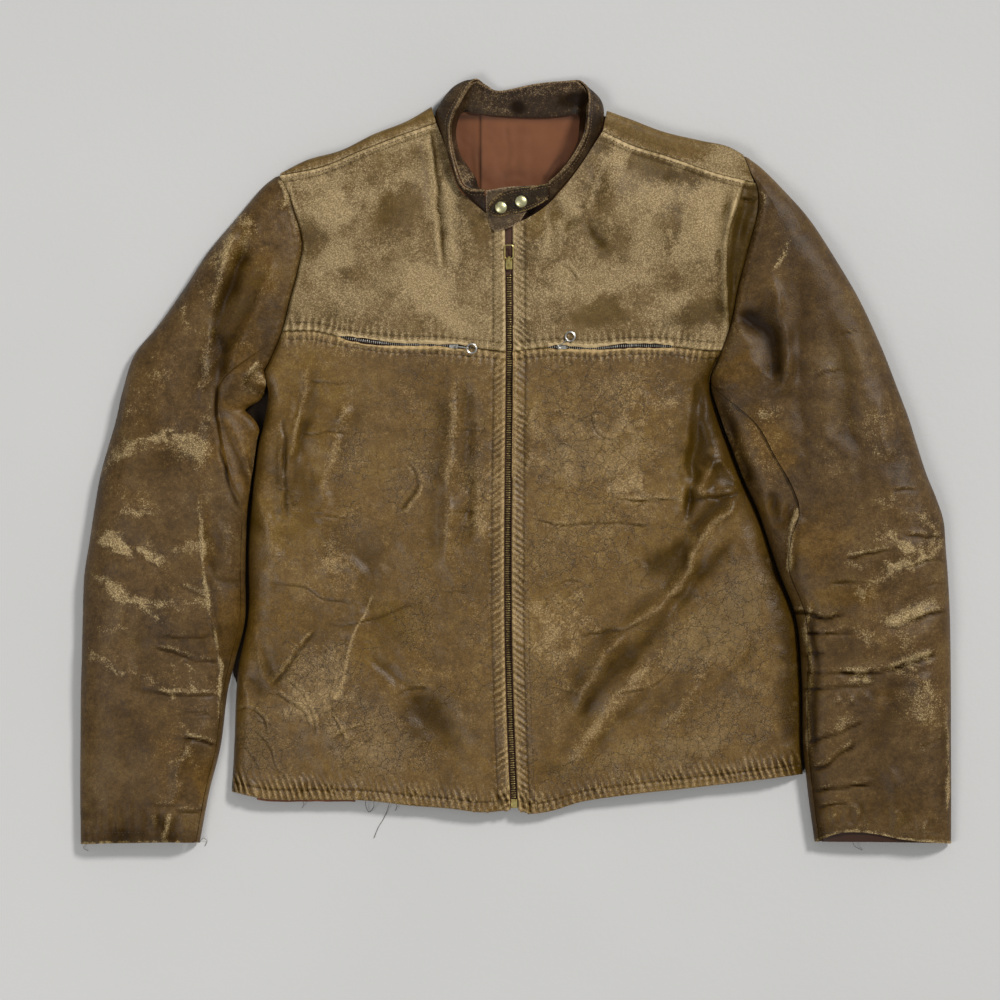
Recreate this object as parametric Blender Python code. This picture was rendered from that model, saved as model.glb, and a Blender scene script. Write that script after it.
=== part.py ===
"""A worn leather jacket, zipped up and laid flat on its back.

Metres, +Z up. The origin is on the floor under the middle of the jacket, +Y points to the collar and
+X to the wearer's left. Tables are in millimetres. Every leather panel is a thin wall: a grid of points
on its outer face, given its thickness inwards.
"""

import math

import bmesh
import bpy
import numpy as np
from mathutils import Matrix, Vector

MM = 0.001
LEATHER = 1.5  # wall of the outer panels
COLLAR_WALL = 1.3
LINING_WALL = 0.8
TAPE_WALL = 0.8
SEAM = 0.3  # gap between panels that are sewn together
REST = 0.4  # gap under a piece that lies on another

RIGHT, LEFT = -1, 1  # the wearer's sides, as the sign of x

# One row for each height up the body, hem first: the side edge, how high that edge lies, how wide the
# leather rolls there, and the height of the front between its edges.
BODY_COLUMNS = ("y", "edge_x", "edge_z", "roll", "crown")
FOLD_MARGIN = 24.0  # folds die out this near a free edge
BODY = {
    RIGHT: (
        (-320, -259.5, 2.6, 16, 15),
        (-255, -256.8, 2.6, 20, 18),
        (-186, -253.0, 2.6, 22, 20),
        (-144, -245.0, 2.6, 22, 22),
        (-78, -244.2, 2.6, 22, 24),
        (-41, -242.0, 2.6, 20, 25),
        (-11, -239.0, 2.6, 18, 25),
        (20, -234.6, 2.6, 16, 25),
        (41, -229.0, 4.0, 14, 25),
        (64, -225.5, 13.0, 12, 25),
        (82, -229.0, 17.0, 12, 26),
        (103, -218.9, 19.0, 14, 26),
        (124, -210.7, 19.0, 16, 27),
        (169, -200.6, 19.0, 20, 27),
        (216, -196.6, 18.5, 20, 27),
        (247, -206.4, 17.0, 20, 27),
        (264, -215.5, 16.0, 20, 27),
    ),
    LEFT: (
        (-320, 265.0, 2.6, 26, 15),
        (-256, 260.9, 2.6, 28, 19),
        (-204, 260.0, 2.6, 28, 22),
        (-144, 254.6, 2.6, 28, 24),
        (-99, 238.1, 2.6, 26, 25),
        (-42, 218.9, 2.6, 24, 26),
        (-19, 207.9, 2.6, 22, 26),
        (11, 196.1, 2.6, 22, 26),
        (34, 186.9, 5.0, 20, 26),
        (50, 181.0, 9.0, 18, 26),
        (73, 175.4, 15.0, 16, 26),
        (105, 188.0, 18.0, 18, 27),
        (155, 200.8, 18.0, 20, 27),
        (216, 217.1, 18.0, 20, 27),
        (240, 221.5, 17.0, 20, 27),
        (257, 213.5, 16.0, 20, 27),
    ),
}

# Seams of the front, from the side to the middle (x, y).
SHOULDER = {
    RIGHT: ((-214.5, 261.6), (-176.9, 269.2), (-139.4, 284.7), (-111.1, 295.7), (-72.5, 309.5)),
    LEFT: ((217.2, 255.2), (181.4, 264.1), (154.0, 273.7), (134.8, 280.1), (107.4, 288.4), (79.5, 302.0)),
}
CHEST = {
    RIGHT: ((-209.8, 119.6), (-180.5, 119.0), (-161.7, 114.6), (-122.4, 108.4), (-64.4, 106.2),
            (-27.9, 103.0), (-9.6, 100.6)),
    LEFT: ((188.7, 101.6), (172.3, 102.0), (142.1, 105.2), (97.3, 105.6), (73.6, 103.6),
           (34.3, 104.8), (-2.4, 101.0)),
}
HEM = {
    RIGHT: ((-259.5, -300.4), (-229.9, -306.7), (-182.3, -307.6), (-135.7, -308.5), (-95.5, -313.0),
            (-59.9, -315.8), (-28.8, -319.2), (-7.4, -317.4)),
    LEFT: ((262.6, -284.4), (209.8, -291.1), (154.0, -297.5), (97.3, -303.9), (57.1, -310.3),
           (29.7, -318.6), (11.4, -320.1), (4.6, -318.0)),
}
NECK = {
    RIGHT: ((-72.5, 309.5), (-64.6, 289.3), (-58.6, 268.0), (-51.0, 248.0), (-39.0, 236.5),
            (-26.5, 226.5), (-9.7, 216.0)),
    LEFT: ((79.5, 302.0), (69.5, 286.4), (58.5, 269.5), (43.5, 250.0), (28.0, 233.6),
           (14.0, 224.0), (-2.6, 216.0)),
}

# The zip, collar end first: (y, middle x). The fronts stand back from it on each side.
ZIP_LINE = ((-320, -0.8), (-255, -3.9), (-160, -6.6), (-80, -7.0), (0, -6.4), (75, -5.6), (216, -6.2))
ZIP_HALF_GAP = 3.5
ZIP_TOP, ZIP_FOOT = 228.0, -315.0
TAPE_GAP, POCKET_TAPE_GAP = 1.4, 1.6  # between the leather and the tape under it
CHAIN_HEIGHT, POCKET_CHAIN_HEIGHT = 1.9, 1.4  # over the tape

# The pocket openings in the chest seams: far end, slider end, half height.
POCKET = {RIGHT: (-163.0, -43.0, 2.6), LEFT: (143.5, 30.0, 2.6)}
POCKET_TAPER = 5.0

# Raised and sunken folds: (x, y) to (x, y), height, half width.
FOLDS = (
    (-84, 320, -66, 196, -3.0, 7),
    (-76, 312, -56, 200, 3.0, 9),
    (79, 278, 62, 210, -2.5, 10),
    (96, 270, 84, 205, 2.5, 12),
    (205, 262, 191, 190, 4.0, 7),
    (191, 205, 193, 112, 4.0, 7),
    (216, 262, 207, 190, -4.5, 7),
    (207, 200, 196, 110, -4.0, 7),
    (210, -20, 148, -140, 5.5, 11),
    (158, -118, 56, -232, 5.0, 13),
    (196, -44, 132, -150, -4.0, 9),
    (136, -152, 50, -262, -3.5, 12),
    (182, 8, 164, -38, 4.0, 9),
    (168, 40, 166, -20, -5.0, 9),
    (206, -28, 160, -34, 3.0, 8),
    (-206, 76, -210, -60, 3.0, 8),
    (-190, 84, -194, -70, -2.0, 9),
    (-59, 76, -60, -80, 2.5, 9),
    (-42, 76, -43, -80, -2.5, 9),
    (-131, -112, -160, -212, 2.0, 10),
    (-120, -70, -96, -130, -2.5, 14),
    (110, 40, 40, 10, 2.0, 14),
    (-160, 60, -110, 10, 2.0, 16),
    (-225, -190, -130, -270, 2.0, 14),
    (205, 134, 234, 86, -4.0, 9),
    (246, 104, 240, 60, 3.0, 8),
    (-268, 110, -240, 205, -4.0, 10),
    (-288, 60, -284, -120, 2.0, 8),
    (-330, 130, -290, 60, -2.0, 14),
    (255, -38, 250, -104, 3.5, 7),
    (262, -126, 262, -270, 3.0, 7),
    (-372, -66, -300, -100, -2.5, 12),
    (-378, -122, -290, -140, 2.5, 12),
    (-382, -160, -300, -178, -2.5, 12),
    (-376, -10, -290, 40, 2.5, 16),
    (300, -92, 388, -70, 2.5, 12),
    (290, -132, 392, -120, -2.5, 12),
    (300, -170, 390, -156, 2.5, 12),
    (285, -205, 380, -210, -2.0, 12),
    (300, 60, 340, -20, -2.5, 16),
)

# The sleeves, shoulder first: the inner end of each section (the armhole, then the edge beside the
# body), its outer end on the outer fold, the height of its middle, the share of the width taken by the
# under sleeve where it shows, the share that is folded in below a ledge, and how low the inner part lies.
SLEEVE_COLUMNS = ("inner_x", "inner_y", "outer_x", "outer_y", "crown", "strip", "shelf", "drop")
SLEEVE = {
    RIGHT: (
        (-215.5, 261.0, -219.5, 260.5, 17, 0, 0, 0),
        (-208.8, 250.0, -232.0, 250.2, 20, 0, 0, 0),
        (-202.4, 231.0, -254.0, 224.0, 23, 0, 0, 0),
        (-194.6, 200.0, -280.0, 193.0, 26, 0, 0, 0),
        (-199.0, 173.0, -300.0, 162.5, 28, 0, 0, 0),
        (-206.5, 145.0, -325.5, 126.0, 29, 0, 0, 0),
        (-214.0, 116.0, -347.8, 98.7, 30, 0, 0, 0),
        (-229.5, 82.0, -358.8, 65.4, 31, 0, 0.26, 3),
        (-247.0, 58.0, -365.0, 38.0, 31, 0.03, 0.20, 9),
        (-244.0, 36.0, -372.0, 14.0, 32, 0.03, 0.19, 9),
        (-238.0, 8.0, -379.0, -11.4, 32, 0.03, 0.18, 8),
        (-241.5, -20.0, -384.3, -40.7, 32, 0.03, 0.10, 5),
        (-245.0, -53.0, -389.0, -72.0, 32, 0.03, 0, 0),
        (-246.4, -100.0, -394.0, -105.0, 31, 0.03, 0, 0),
        (-247.0, -144.0, -395.3, -144.0, 30, 0.03, 0, 0),
        (-256.0, -181.0, -396.2, -181.0, 29, 0.03, 0, 0),
        (-263.1, -211.1, -397.0, -211.0, 28, 0.03, 0, 0),
        (-269.2, -258.7, -397.4, -258.7, 26, 0.03, 0, 0),
        (-279.5, -300.0, -397.6, -300.0, 23, 0.03, 0, 0),
        (-288.4, -346.9, -397.0, -348.5, 19, 0.03, 0, 0),
    ),
    LEFT: (
        (208.6, 279.2, 212.5, 278.0, 17, 0, 0, 0),
        (215.0, 262.5, 226.0, 267.5, 19, 0, 0, 0),
        (220.5, 249.0, 244.0, 249.5, 22, 0, 0, 0),
        (220.5, 228.0, 268.0, 222.5, 25, 0, 0, 0),
        (210.5, 190.0, 292.0, 186.0, 28, 0, 0, 0),
        (202.5, 158.0, 314.0, 148.5, 29, 0, 0, 0),
        (196.0, 126.0, 334.0, 105.5, 31, 0, 0, 0),
        (185.0, 95.0, 349.0, 67.0, 32, 0, 0, 0),
        (177.0, 73.0, 358.5, 42.0, 33, 0.004, 0, 0.5),
        (187.0, 40.0, 366.0, 18.0, 34, 0.17, 0, 1.5),
        (198.0, 10.5, 375.0, -10.0, 34, 0.21, 0, 2.0),
        (209.3, -18.7, 384.0, -32.0, 34, 0.24, 0, 2.5),
        (220.3, -42.5, 391.0, -54.0, 34, 0.22, 0, 2.5),
        (229.5, -68.6, 393.0, -80.0, 33, 0.13, 0, 2.0),
        (240.0, -99.2, 395.0, -106.0, 32, 0.06, 0, 1.0),
        (256.5, -144.0, 396.8, -144.0, 31, 0.06, 0, 1.0),
        (261.6, -204.3, 397.6, -204.0, 29, 0.03, 0, 0.5),
        (262.5, -256.4, 397.7, -256.0, 26, 0.03, 0, 0.5),
        (267.3, -304.0, 397.9, -304.0, 23, 0.03, 0, 0.5),
        (273.0, -346.0, 397.8, -348.0, 20, 0.03, 0, 0.5),
    ),
}
SLEEVE_SIDE_Z = 4.4  # height of the outer seam over the floor
OUTER_ROLL, INNER_ROLL = 1.3, 0.9  # how far the upper face rolls down at its edges, over its height
SLEEVE_SIDE_ROUND = 9.0  # how far the under sleeve's edges round up from the floor
UNDERARM_ROW = 8  # the first section that is closed all round
LEDGE = 3.0  # run of the slope down to the folded-in part
LEDGE_SHARE = 0.05  # and its most in a narrow section
# How far the top of each cuff lies back from its under side: (share of the width from inside, set back).
CUFF_BACK = {
    RIGHT: ((0, 0), (0.3, 1.0), (0.7, 1.2), (1, 0)),
    LEFT: ((0, 0), (0.16, 8), (0.42, 8.5), (0.62, 4), (1, 0)),
}

# The outer edge of the back on the floor, hem first (y, x).
BACK_SIDE = {
    RIGHT: ((-300, -259.3), (-255, -256.6), (-186, -252.8), (-144, -244.8), (-78, -244.0), (-20, -239.5),
            (8, -236.0), (36, -241.0), (58, -243.5), (82, -228.5)),
    LEFT: ((-284, 262.6), (-256, 260.7), (-204, 259.8), (-144, 254.4), (-99, 237.9), (-42, 218.7),
           (-19, 207.7), (11, 195.9), (40, 185.0), (73, 175.4), (95, 183.0)),
}
BACK_HEM = ((-259.3, -299.0), (-182.0, -304.6), (-95.0, -309.0), (-20.0, -313.5), (12.0, -315.0),
            (97.0, -300.0), (210.0, -288.0), (262.4, -282.6))
# The fold over each shoulder, armhole first, and the neckline of the back, right to left.
OUTLINE = {
    RIGHT: ((-214.0, 264.2), (-191.5, 275.6), (-159.0, 285.0), (-129.8, 299.5), (-98.3, 312.0),
            (-77.0, 324.5)),
    LEFT: ((207.5, 281.1), (196.1, 287.5), (168.6, 293.9), (134.8, 302.0), (103.0, 314.0),
           (83.5, 321.0)),
}
BACK_NECK = ((-66.0, 318.5), (-44.0, 316.0), (-15.0, 313.0), (18.0, 312.0), (45.0, 313.0), (74.0, 316.0))
SHOULDER_RADIUS = 8.0
SHOULDER_MOST = 0.6  # of the distance from the outline to the seam
SHOULDER_ANGLES = (180, 135, 90, 45)  # around the fold, from above
SHOULDER_CELLS = 6
BACK_ROWS = 15
SHOULDER_Z = 2 * SHOULDER_RADIUS
SHOULDER_SLOPE = 62.0  # how far below the seam the front reaches its full height

# The collar, right front to left front: its sewn edge, its top edge, and how far it bulges between.
COLLAR_COLUMNS = ("seam_x", "seam_y", "seam_z", "rim_x", "rim_y", "rim_z", "bulge")
NECK_MIDDLE = (2.0, 285.0, 0.0)
COLLAR = (
    (-27.2, 227.9, 26.0, -28.0, 247.6, 33.0, 1.5),
    (-38.4, 237.2, 26.0, -41.6, 247.6, 35.5, 1.5),
    (-49.0, 249.2, 25.6, -50.2, 252.8, 37.5, 2.0),
    (-57.0, 268.5, 23.6, -57.1, 272.8, 38.0, 2.0),
    (-63.7, 289.5, 18.0, -60.8, 294.8, 36.0, 2.0),
    (-71.3, 310.6, 15.0, -59.4, 313.0, 32.0, 2.0),
    (-72.4, 322.0, 12.0, -51.5, 329.5, 26.0, 4.0),
    (-61.5, 328.5, 3.5, -38.0, 349.6, 13.0, 7.0),
    (-45.0, 320.0, 0.8, -27.0, 344.8, 5.5, 2.0),
    (-15.0, 316.2, 0.8, -14.6, 339.6, 3.5, 0.6),
    (18.0, 315.2, 0.8, 17.8, 345.9, 3.0, 0.6),
    (44.0, 316.2, 0.8, 45.0, 348.6, 3.5, 0.6),
    (66.0, 322.0, 1.2, 60.0, 348.4, 7.0, 3.0),
    (79.6, 321.0, 7.0, 66.6, 337.0, 18.0, 5.0),
    (78.6, 306.0, 15.0, 66.4, 318.5, 28.0, 3.0),
    (69.0, 287.2, 17.2, 64.6, 299.0, 34.0, 2.0),
    (57.8, 270.2, 22.0, 55.3, 280.0, 37.0, 2.0),
    (42.8, 250.8, 25.8, 42.0, 263.6, 36.5, 2.0),
    (29.6, 236.4, 26.0, 30.0, 254.0, 34.5, 1.5),
)
# The collar's inner facing: the lower edge of what shows (x, y, z), station for station with the collar.
FACING_EDGE = (
    (-28.6, 243.0, 26.0), (-33.5, 250.0, 25.0), (-36.5, 259.0, 24.0), (-44.0, 270.5, 20.0), (-50.8, 282.0, 16.0),
    (-54.4, 300.0, 13.0), (-51.0, 316.0, 8.0), (-45.0, 322.0, 5.6), (-38.0, 319.0, 5.0), (-14.0, 316.6, 5.0),
    (18.0, 315.4, 5.0), (42.0, 316.4, 5.0), (53.0, 318.0, 5.4), (58.0, 316.0, 8.0), (58.0, 306.0, 13.0),
    (56.0, 292.0, 17.0), (48.0, 276.0, 21.0), (38.0, 263.5, 24.0), (30.6, 249.0, 26.0),
)
# Collar ends over the throat, from their outer end inwards: top edge and bottom edge (x, y).
UNDER_END = (
    ((-26.9, 247.2), (-26.9, 229.0)),
    ((-18.0, 248.6), (-21.5, 213.0)),
    ((-8.0, 250.4), (-15.0, 210.6)),
    ((2.0, 251.0), (-3.0, 214.6)),
    ((10.0, 251.4), (4.0, 219.5)),
    ((18.0, 251.8), (9.5, 227.5)),
)
STRAP = (
    ((-25.4, 231.0), (-24.4, 226.6)),
    ((-22.6, 236.8), (-19.0, 223.6)),
    ((-16.5, 243.0), (-12.0, 223.8)),
    ((-8.0, 247.0), (-4.0, 226.2)),
    ((4.0, 249.6), (6.0, 227.8)),
    ((16.0, 251.0), (17.0, 231.8)),
    ((29.6, 253.4), (29.6, 239.2)),
)
UNDER_END_Z = (29.2, 32.6)  # at its bottom edge and at its top edge
STRAP_Z = (32.6, 36.0)
STRAP_RISE = 21.0  # its width, bottom edge to top edge
SNAPS = ((-13.3, 231.6), (5.0, 236.9))
SNAP_RADIUS, SNAP_HEIGHT = 5.6, 2.4

LINING_BOX = (-78.0, 84.0, 196.0)  # x from, x to, y from
LINING_TOP = ((-78.0, 312.0), (-44.0, 317.6), (-14.0, 314.6), (18.0, 313.4), (44.0, 314.6), (84.0, 312.0))
LINING_Z = 2.8  # its upper face
LINING_PLEAT = (-32.4, 1.2, 5.0)  # x, height, half width
HEM_LINING = (-236.0, -146.0, 14.0, 1.6)  # x from, x to, depth, how far it shows below the hem
CUFF_LINING_ROWS = 0.42  # its depth, in rows of the sleeve's table

RING_RADIUS, RING_WIRE = 4.2, 0.8
LINK_LENGTH, LINK_RADIUS, LINK_WIRE = 9.5, 1.65, 0.45
PIN_RADIUS = 0.6
# Each pocket slider: where its link hinges, and the heading of the link in degrees from +X.
POCKET_PIN = {RIGHT: (-53.4, 105.4, -8.0), LEFT: (39.5, 105.2, 42.0)}
LINK_CLEARANCE = 2.6  # link axis over the leather
SLIDER_Y = 180.5  # middle of the main slider
PULL_LENGTH, PULL_WIDTH, PULL_WIRE = 12.0, 7.6, 0.65

COLOURS = {
    "leather_body": ((0.160, 0.088, 0.032), 0.45, 0.0),
    "leather_yoke": ((0.175, 0.120, 0.058), 0.55, 0.0),
    "leather_sleeve": ((0.105, 0.063, 0.026), 0.45, 0.0),
    "leather_collar": ((0.048, 0.028, 0.018), 0.5, 0.0),
    "lining_satin": ((0.195, 0.068, 0.026), 0.4, 0.0),
    "zip_tape": ((0.030, 0.020, 0.012), 0.9, 0.0),
    "brass": ((0.560, 0.430, 0.160), 0.3, 1.0),
    "nickel": ((0.620, 0.600, 0.560), 0.25, 1.0),
}


def smooth(at, knots, values):
    """The values at these places on a smooth curve through the knots."""
    knots = np.asarray(knots, float)
    values = np.asarray(values, float)
    at = np.clip(at, knots[0], knots[-1])
    slope = np.gradient(values, knots)
    i = np.clip(np.searchsorted(knots, at) - 1, 0, len(knots) - 2)
    step = knots[i + 1] - knots[i]
    t = (at - knots[i]) / step
    held = (1 + 2 * t) * (1 - t) ** 2 * values[i] + t * t * (3 - 2 * t) * values[i + 1]
    return held + step * (t * (1 - t) ** 2 * slope[i] + t * t * (t - 1) * slope[i + 1])


def along(points, shares):
    """Points at these shares of the length of a smooth line through the given ones."""
    points = np.asarray(points, float)
    steps = np.linalg.norm(np.diff(points, axis=0), axis=1)
    reach = np.concatenate([[0], np.cumsum(steps)]) / steps.sum()
    return np.stack([smooth(shares, reach, column) for column in points.T], axis=-1)


def read_rows(table, rows):
    """Rows of a table at fractional row numbers, as a dictionary of columns would be read."""
    count = np.arange(len(table))
    return np.stack([smooth(rows, count, column) for column in np.asarray(table, float).T], axis=-1)


def roll(share):
    """Height on a quarter circle, from 0 at its foot to 1."""
    return np.sqrt(1 - (1 - np.clip(share, 0, 1)) ** 2)


def ease(share):
    share = np.clip(share, 0, 1)
    return share * share * (3 - 2 * share)


def fold_height(x, y):
    """What the folds add at a place."""
    total = np.zeros(np.shape(x))
    for x0, y0, x1, y1, height, width in FOLDS:
        run = np.array([x1 - x0, y1 - y0], float)
        t = ((x - x0) * run[0] + (y - y0) * run[1]) / (run @ run)
        off = ((x - x0) * run[1] - (y - y0) * run[0]) / math.hypot(*run)
        total += height * ease(4 * t * (1 - t)) * (t > 0) * (t < 1) * np.exp(-((off / width) ** 2))
    return total


def body_column(side, y, column):
    rows = dict(zip(BODY_COLUMNS, np.asarray(BODY[side], float).T))
    return smooth(y, rows["y"], rows[column])


def body_height(side, x, y):
    """Outer face of the front at a place: it rolls down to its side edge, or to the armhole."""
    edge_z, reach, crown = (body_column(side, y, column) for column in ("edge_z", "roll", "crown"))
    (x0, y0), (x1, y1) = SHOULDER[side][0], SHOULDER[side][-1]
    drop = np.abs((x - x0) * (y1 - y0) - (y - y0) * (x1 - x0)) / math.hypot(x1 - x0, y1 - y0)
    crown = np.minimum(crown, SHOULDER_Z + (crown - SHOULDER_Z) * ease(drop / SHOULDER_SLOPE))
    inward = np.maximum((body_side(side, y) - x) * side, 0)
    folds = fold_height(x, y) * ease(inward / FOLD_MARGIN)
    return edge_z + (crown - edge_z) * roll(inward / reach) + folds


def zip_x(y):
    line = np.asarray(ZIP_LINE, float).T
    return smooth(y, line[0], line[1])


def body_side(side, y, gap=SEAM / 2):
    """The front's side edge: straight from point to point of the armhole, and smooth below it."""
    armhole = np.asarray(SLEEVE[side][:UNDERARM_ROW], float)[::-1, :2].T
    above = np.interp(y, armhole[1], armhole[0]) - side * gap
    return np.where(np.asarray(y) >= armhole[1][0], above, body_column(side, y, "edge_x"))


def patch(top, bottom, left, right):
    """A plan grid filled in between four edges (rows run from top to bottom)."""
    left[0], left[-1], right[0], right[-1] = top[0], bottom[0], top[-1], bottom[-1]
    v = np.linspace(0, 1, len(left))[:, None, None]
    u = np.linspace(0, 1, len(top))[None, :, None]
    sheet = (1 - v) * top[None] + v * bottom[None] + (1 - u) * left[:, None] + u * right[:, None]
    corners = (1 - u) * (1 - v) * top[0] + u * (1 - v) * top[-1] + (1 - u) * v * bottom[0] + u * v * bottom[-1]
    return sheet - corners


def spread_rows(knots, count):
    """These values, with more put in their widest gaps until there are enough; largest first."""
    rows = sorted(knots, reverse=True)
    while len(rows) < count:
        gaps = [a - b for a, b in zip(rows, rows[1:])]
        widest = gaps.index(max(gaps))
        rows.insert(widest + 1, (rows[widest] + rows[widest + 1]) / 2)
    return np.array(rows)


def armhole_rows(side, high, low, count):
    """Heights for a panel's rows between two ends: every corner of the armhole that it meets is one."""
    corners = [row[1] for row in SLEEVE[side][:UNDERARM_ROW] if low + 1 < row[1] < high - 1]
    return spread_rows([high, low, *corners], count)


def chest_line(side, shares):
    """The chest seam in plan, ending on the side edge and beside the zip."""
    line = along(CHEST[side], shares)
    line[0, 0] = body_side(side, line[0, 1], 0)
    line[-1, 0] = zip_x(line[-1, 1]) + side * ZIP_HALF_GAP
    return line


def faceted(points, cells, shares):
    """Points on the straight facets of a seam that a neighbour meets with this many cells."""
    knots = np.linspace(0, 1, cells + 1)
    corners = along(points, knots)
    return np.stack([np.interp(shares, knots, column) for column in corners.T], axis=-1)


def pull_in(grid, rows=(0, 0), columns=(0, 0)):
    """Moves a grid's four edges inwards by these widths: first row, last row, first and last column."""
    grid = grid.copy()
    for axis, widths in ((0, rows), (1, columns)):
        lines = np.moveaxis(grid, axis, 0)
        for edge, inner, width in ((0, 1, widths[0]), (-1, -2, widths[1])):
            step = lines[inner] - lines[edge]
            length = np.linalg.norm(step, axis=-1, keepdims=True)
            lines[edge] += step / np.maximum(length, 1e-6) * np.asarray(width, float).reshape(-1, 1)
    return grid


def material(name):
    made = bpy.data.materials.get(name)
    if made is None:
        colour, roughness, metallic = COLOURS[name]
        made = bpy.data.materials.new(name)
        made.use_nodes = True
        shader = made.node_tree.nodes["Principled BSDF"]
        shader.inputs["Base Color"].default_value = (*colour, 1)
        shader.inputs["Roughness"].default_value = roughness
        shader.inputs["Metallic"].default_value = metallic
    return made


def put(name, bm, finish, origin=(0, 0, 0)):
    """An object from a bmesh in millimetres, with its origin at the given place."""
    bmesh.ops.recalc_face_normals(bm, faces=bm.faces)
    bm.transform(Matrix.Translation(-Vector(origin)))
    bm.transform(Matrix.Scale(MM, 4))
    mesh = bpy.data.meshes.new(name)
    bm.to_mesh(mesh)
    bm.free()
    mesh.materials.append(material(finish))
    mesh.shade_smooth()
    mesh.set_sharp_from_angle(angle=math.radians(50))
    thing = bpy.data.objects.new(name, mesh)
    thing.location = Vector(origin) * MM
    bpy.context.scene.collection.objects.link(thing)
    return thing


def add_grid(bm, grid, closed=False):
    """Faces over a grid of points; a cell with a missing corner stays open."""
    made = [[bm.verts.new(point) if np.isfinite(point).all() else None for point in row] for row in grid]
    rows, columns = len(made), len(made[0])
    for i in range(rows - 1):
        for j in range(columns if closed else columns - 1):
            k = (j + 1) % columns
            corners = (made[i][j], made[i][k], made[i + 1][k], made[i + 1][j])
            if None not in corners:
                bm.faces.new(corners)
    return made


def normals_of(grid):
    """Unit normals at a grid's points, from its rows and columns; missing points are skipped."""
    def slope(axis):
        ahead = np.roll(grid, -1, axis)
        behind = np.roll(grid, 1, axis)
        edge = [slice(None)] * 3
        edge[axis] = -1
        ahead[tuple(edge)] = np.nan
        edge[axis] = 0
        behind[tuple(edge)] = np.nan
        ahead = np.where(np.isfinite(ahead), ahead, grid)
        behind = np.where(np.isfinite(behind), behind, grid)
        return ahead - behind
    across = np.cross(slope(0), slope(1))
    return across / np.maximum(np.linalg.norm(across, axis=-1, keepdims=True), 1e-9)


def wall(name, grid, thickness, finish, inward, closed=False, level=None):
    """A closed wall: the grid is its outer face, and its inner face is moved in along the normals.

    The inner points of the level column stay at the height of the outer ones.
    """
    if closed:
        wrapped = np.concatenate([grid[:, -1:], grid, grid[:, :1]], axis=1)
        normal = normals_of(wrapped)[:, 1:-1]
    else:
        normal = normals_of(grid)
    inner = grid + inward * thickness * normal
    if level is not None:
        inner[:, level, 2] = grid[:, level, 2]
    bm = bmesh.new()
    outside = add_grid(bm, grid, closed)
    inside = add_grid(bm, inner, closed)
    pair = {a: b for rows in zip(outside, inside) for a, b in zip(*rows) if a is not None}
    rims = [edge for edge in bm.edges if edge.is_boundary and edge.verts[0] in pair and edge.verts[1] in pair]
    for edge in rims:
        a, b = edge.verts
        bm.faces.new((a, b, pair[b], pair[a]))
    return put(name, bm, finish)


def side_name(side):
    return "right" if side == RIGHT else "left"


def chest_gap(side, x):
    """Half the gap in the chest seam: a seam's width, and wider along the pocket zip."""
    far, near, half = POCKET[side]
    low, high = sorted((far, near))
    inside = np.minimum(ease((x - low) / POCKET_TAPER), ease((high - x) / POCKET_TAPER))
    return SEAM / 2 + (half - SEAM / 2) * inside


def front_shares(count, edge):
    """Column places from the side to the zip, close together where the leather rolls down."""
    rim = edge * (1 - np.cos(np.linspace(0, math.pi / 2, 4)))[:-1]
    return np.concatenate([rim, np.linspace(edge, 1, count - 3)])


def build_fronts():
    for side in (RIGHT, LEFT):
        shares = front_shares(13, 0.10)
        neck_rows, zip_rows = 6, 5
        chest = chest_line(side, shares)
        edge_y = armhole_rows(side, SHOULDER[side][0][1], CHEST[side][0][1], neck_rows + zip_rows)
        armhole = np.stack([body_side(side, edge_y, 0), edge_y], axis=-1)
        neck = along(NECK[side], np.linspace(0, 1, neck_rows))
        front_y = np.linspace(NECK[side][-1][1], CHEST[side][-1][1], zip_rows + 1)[1:]
        front_edge = np.stack([zip_x(front_y) + side * ZIP_HALF_GAP, front_y], axis=-1)
        shoulder = faceted(SHOULDER[side], SHOULDER_CELLS, shares)
        plan = patch(shoulder, chest, armhole, np.vstack([neck, front_edge]))
        plan = pull_in(plan, (SEAM / 2, chest_gap(side, chest[:, 0])), (SEAM / 2, 0))
        grid = np.dstack([plan, body_height(side, plan[..., 0], plan[..., 1])])
        wall("yoke_" + side_name(side), grid, LEATHER, "leather_yoke", side)

        down = np.linspace(0, 1, 18)
        edge_y = armhole_rows(side, CHEST[side][0][1], HEM[side][0][1], len(down))
        edge = np.stack([body_side(side, edge_y, 0), edge_y], axis=-1)
        waist, foot = CHEST[side][-1][1], HEM[side][-1][1]
        middle_y = waist + down * (foot - waist)
        middle = np.stack([zip_x(middle_y) + side * ZIP_HALF_GAP, middle_y], axis=-1)
        plan = patch(chest, along(HEM[side], shares), edge, middle)
        armhole_seam = np.where(edge_y > SLEEVE[side][UNDERARM_ROW][1], SEAM / 2, 0)
        plan = pull_in(plan, (chest_gap(side, chest[:, 0]), 0), (armhole_seam, 0))
        grid = np.dstack([plan, body_height(side, plan[..., 0], plan[..., 1])])
        wall("front_" + side_name(side), grid, LEATHER, "leather_body", side)


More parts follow.
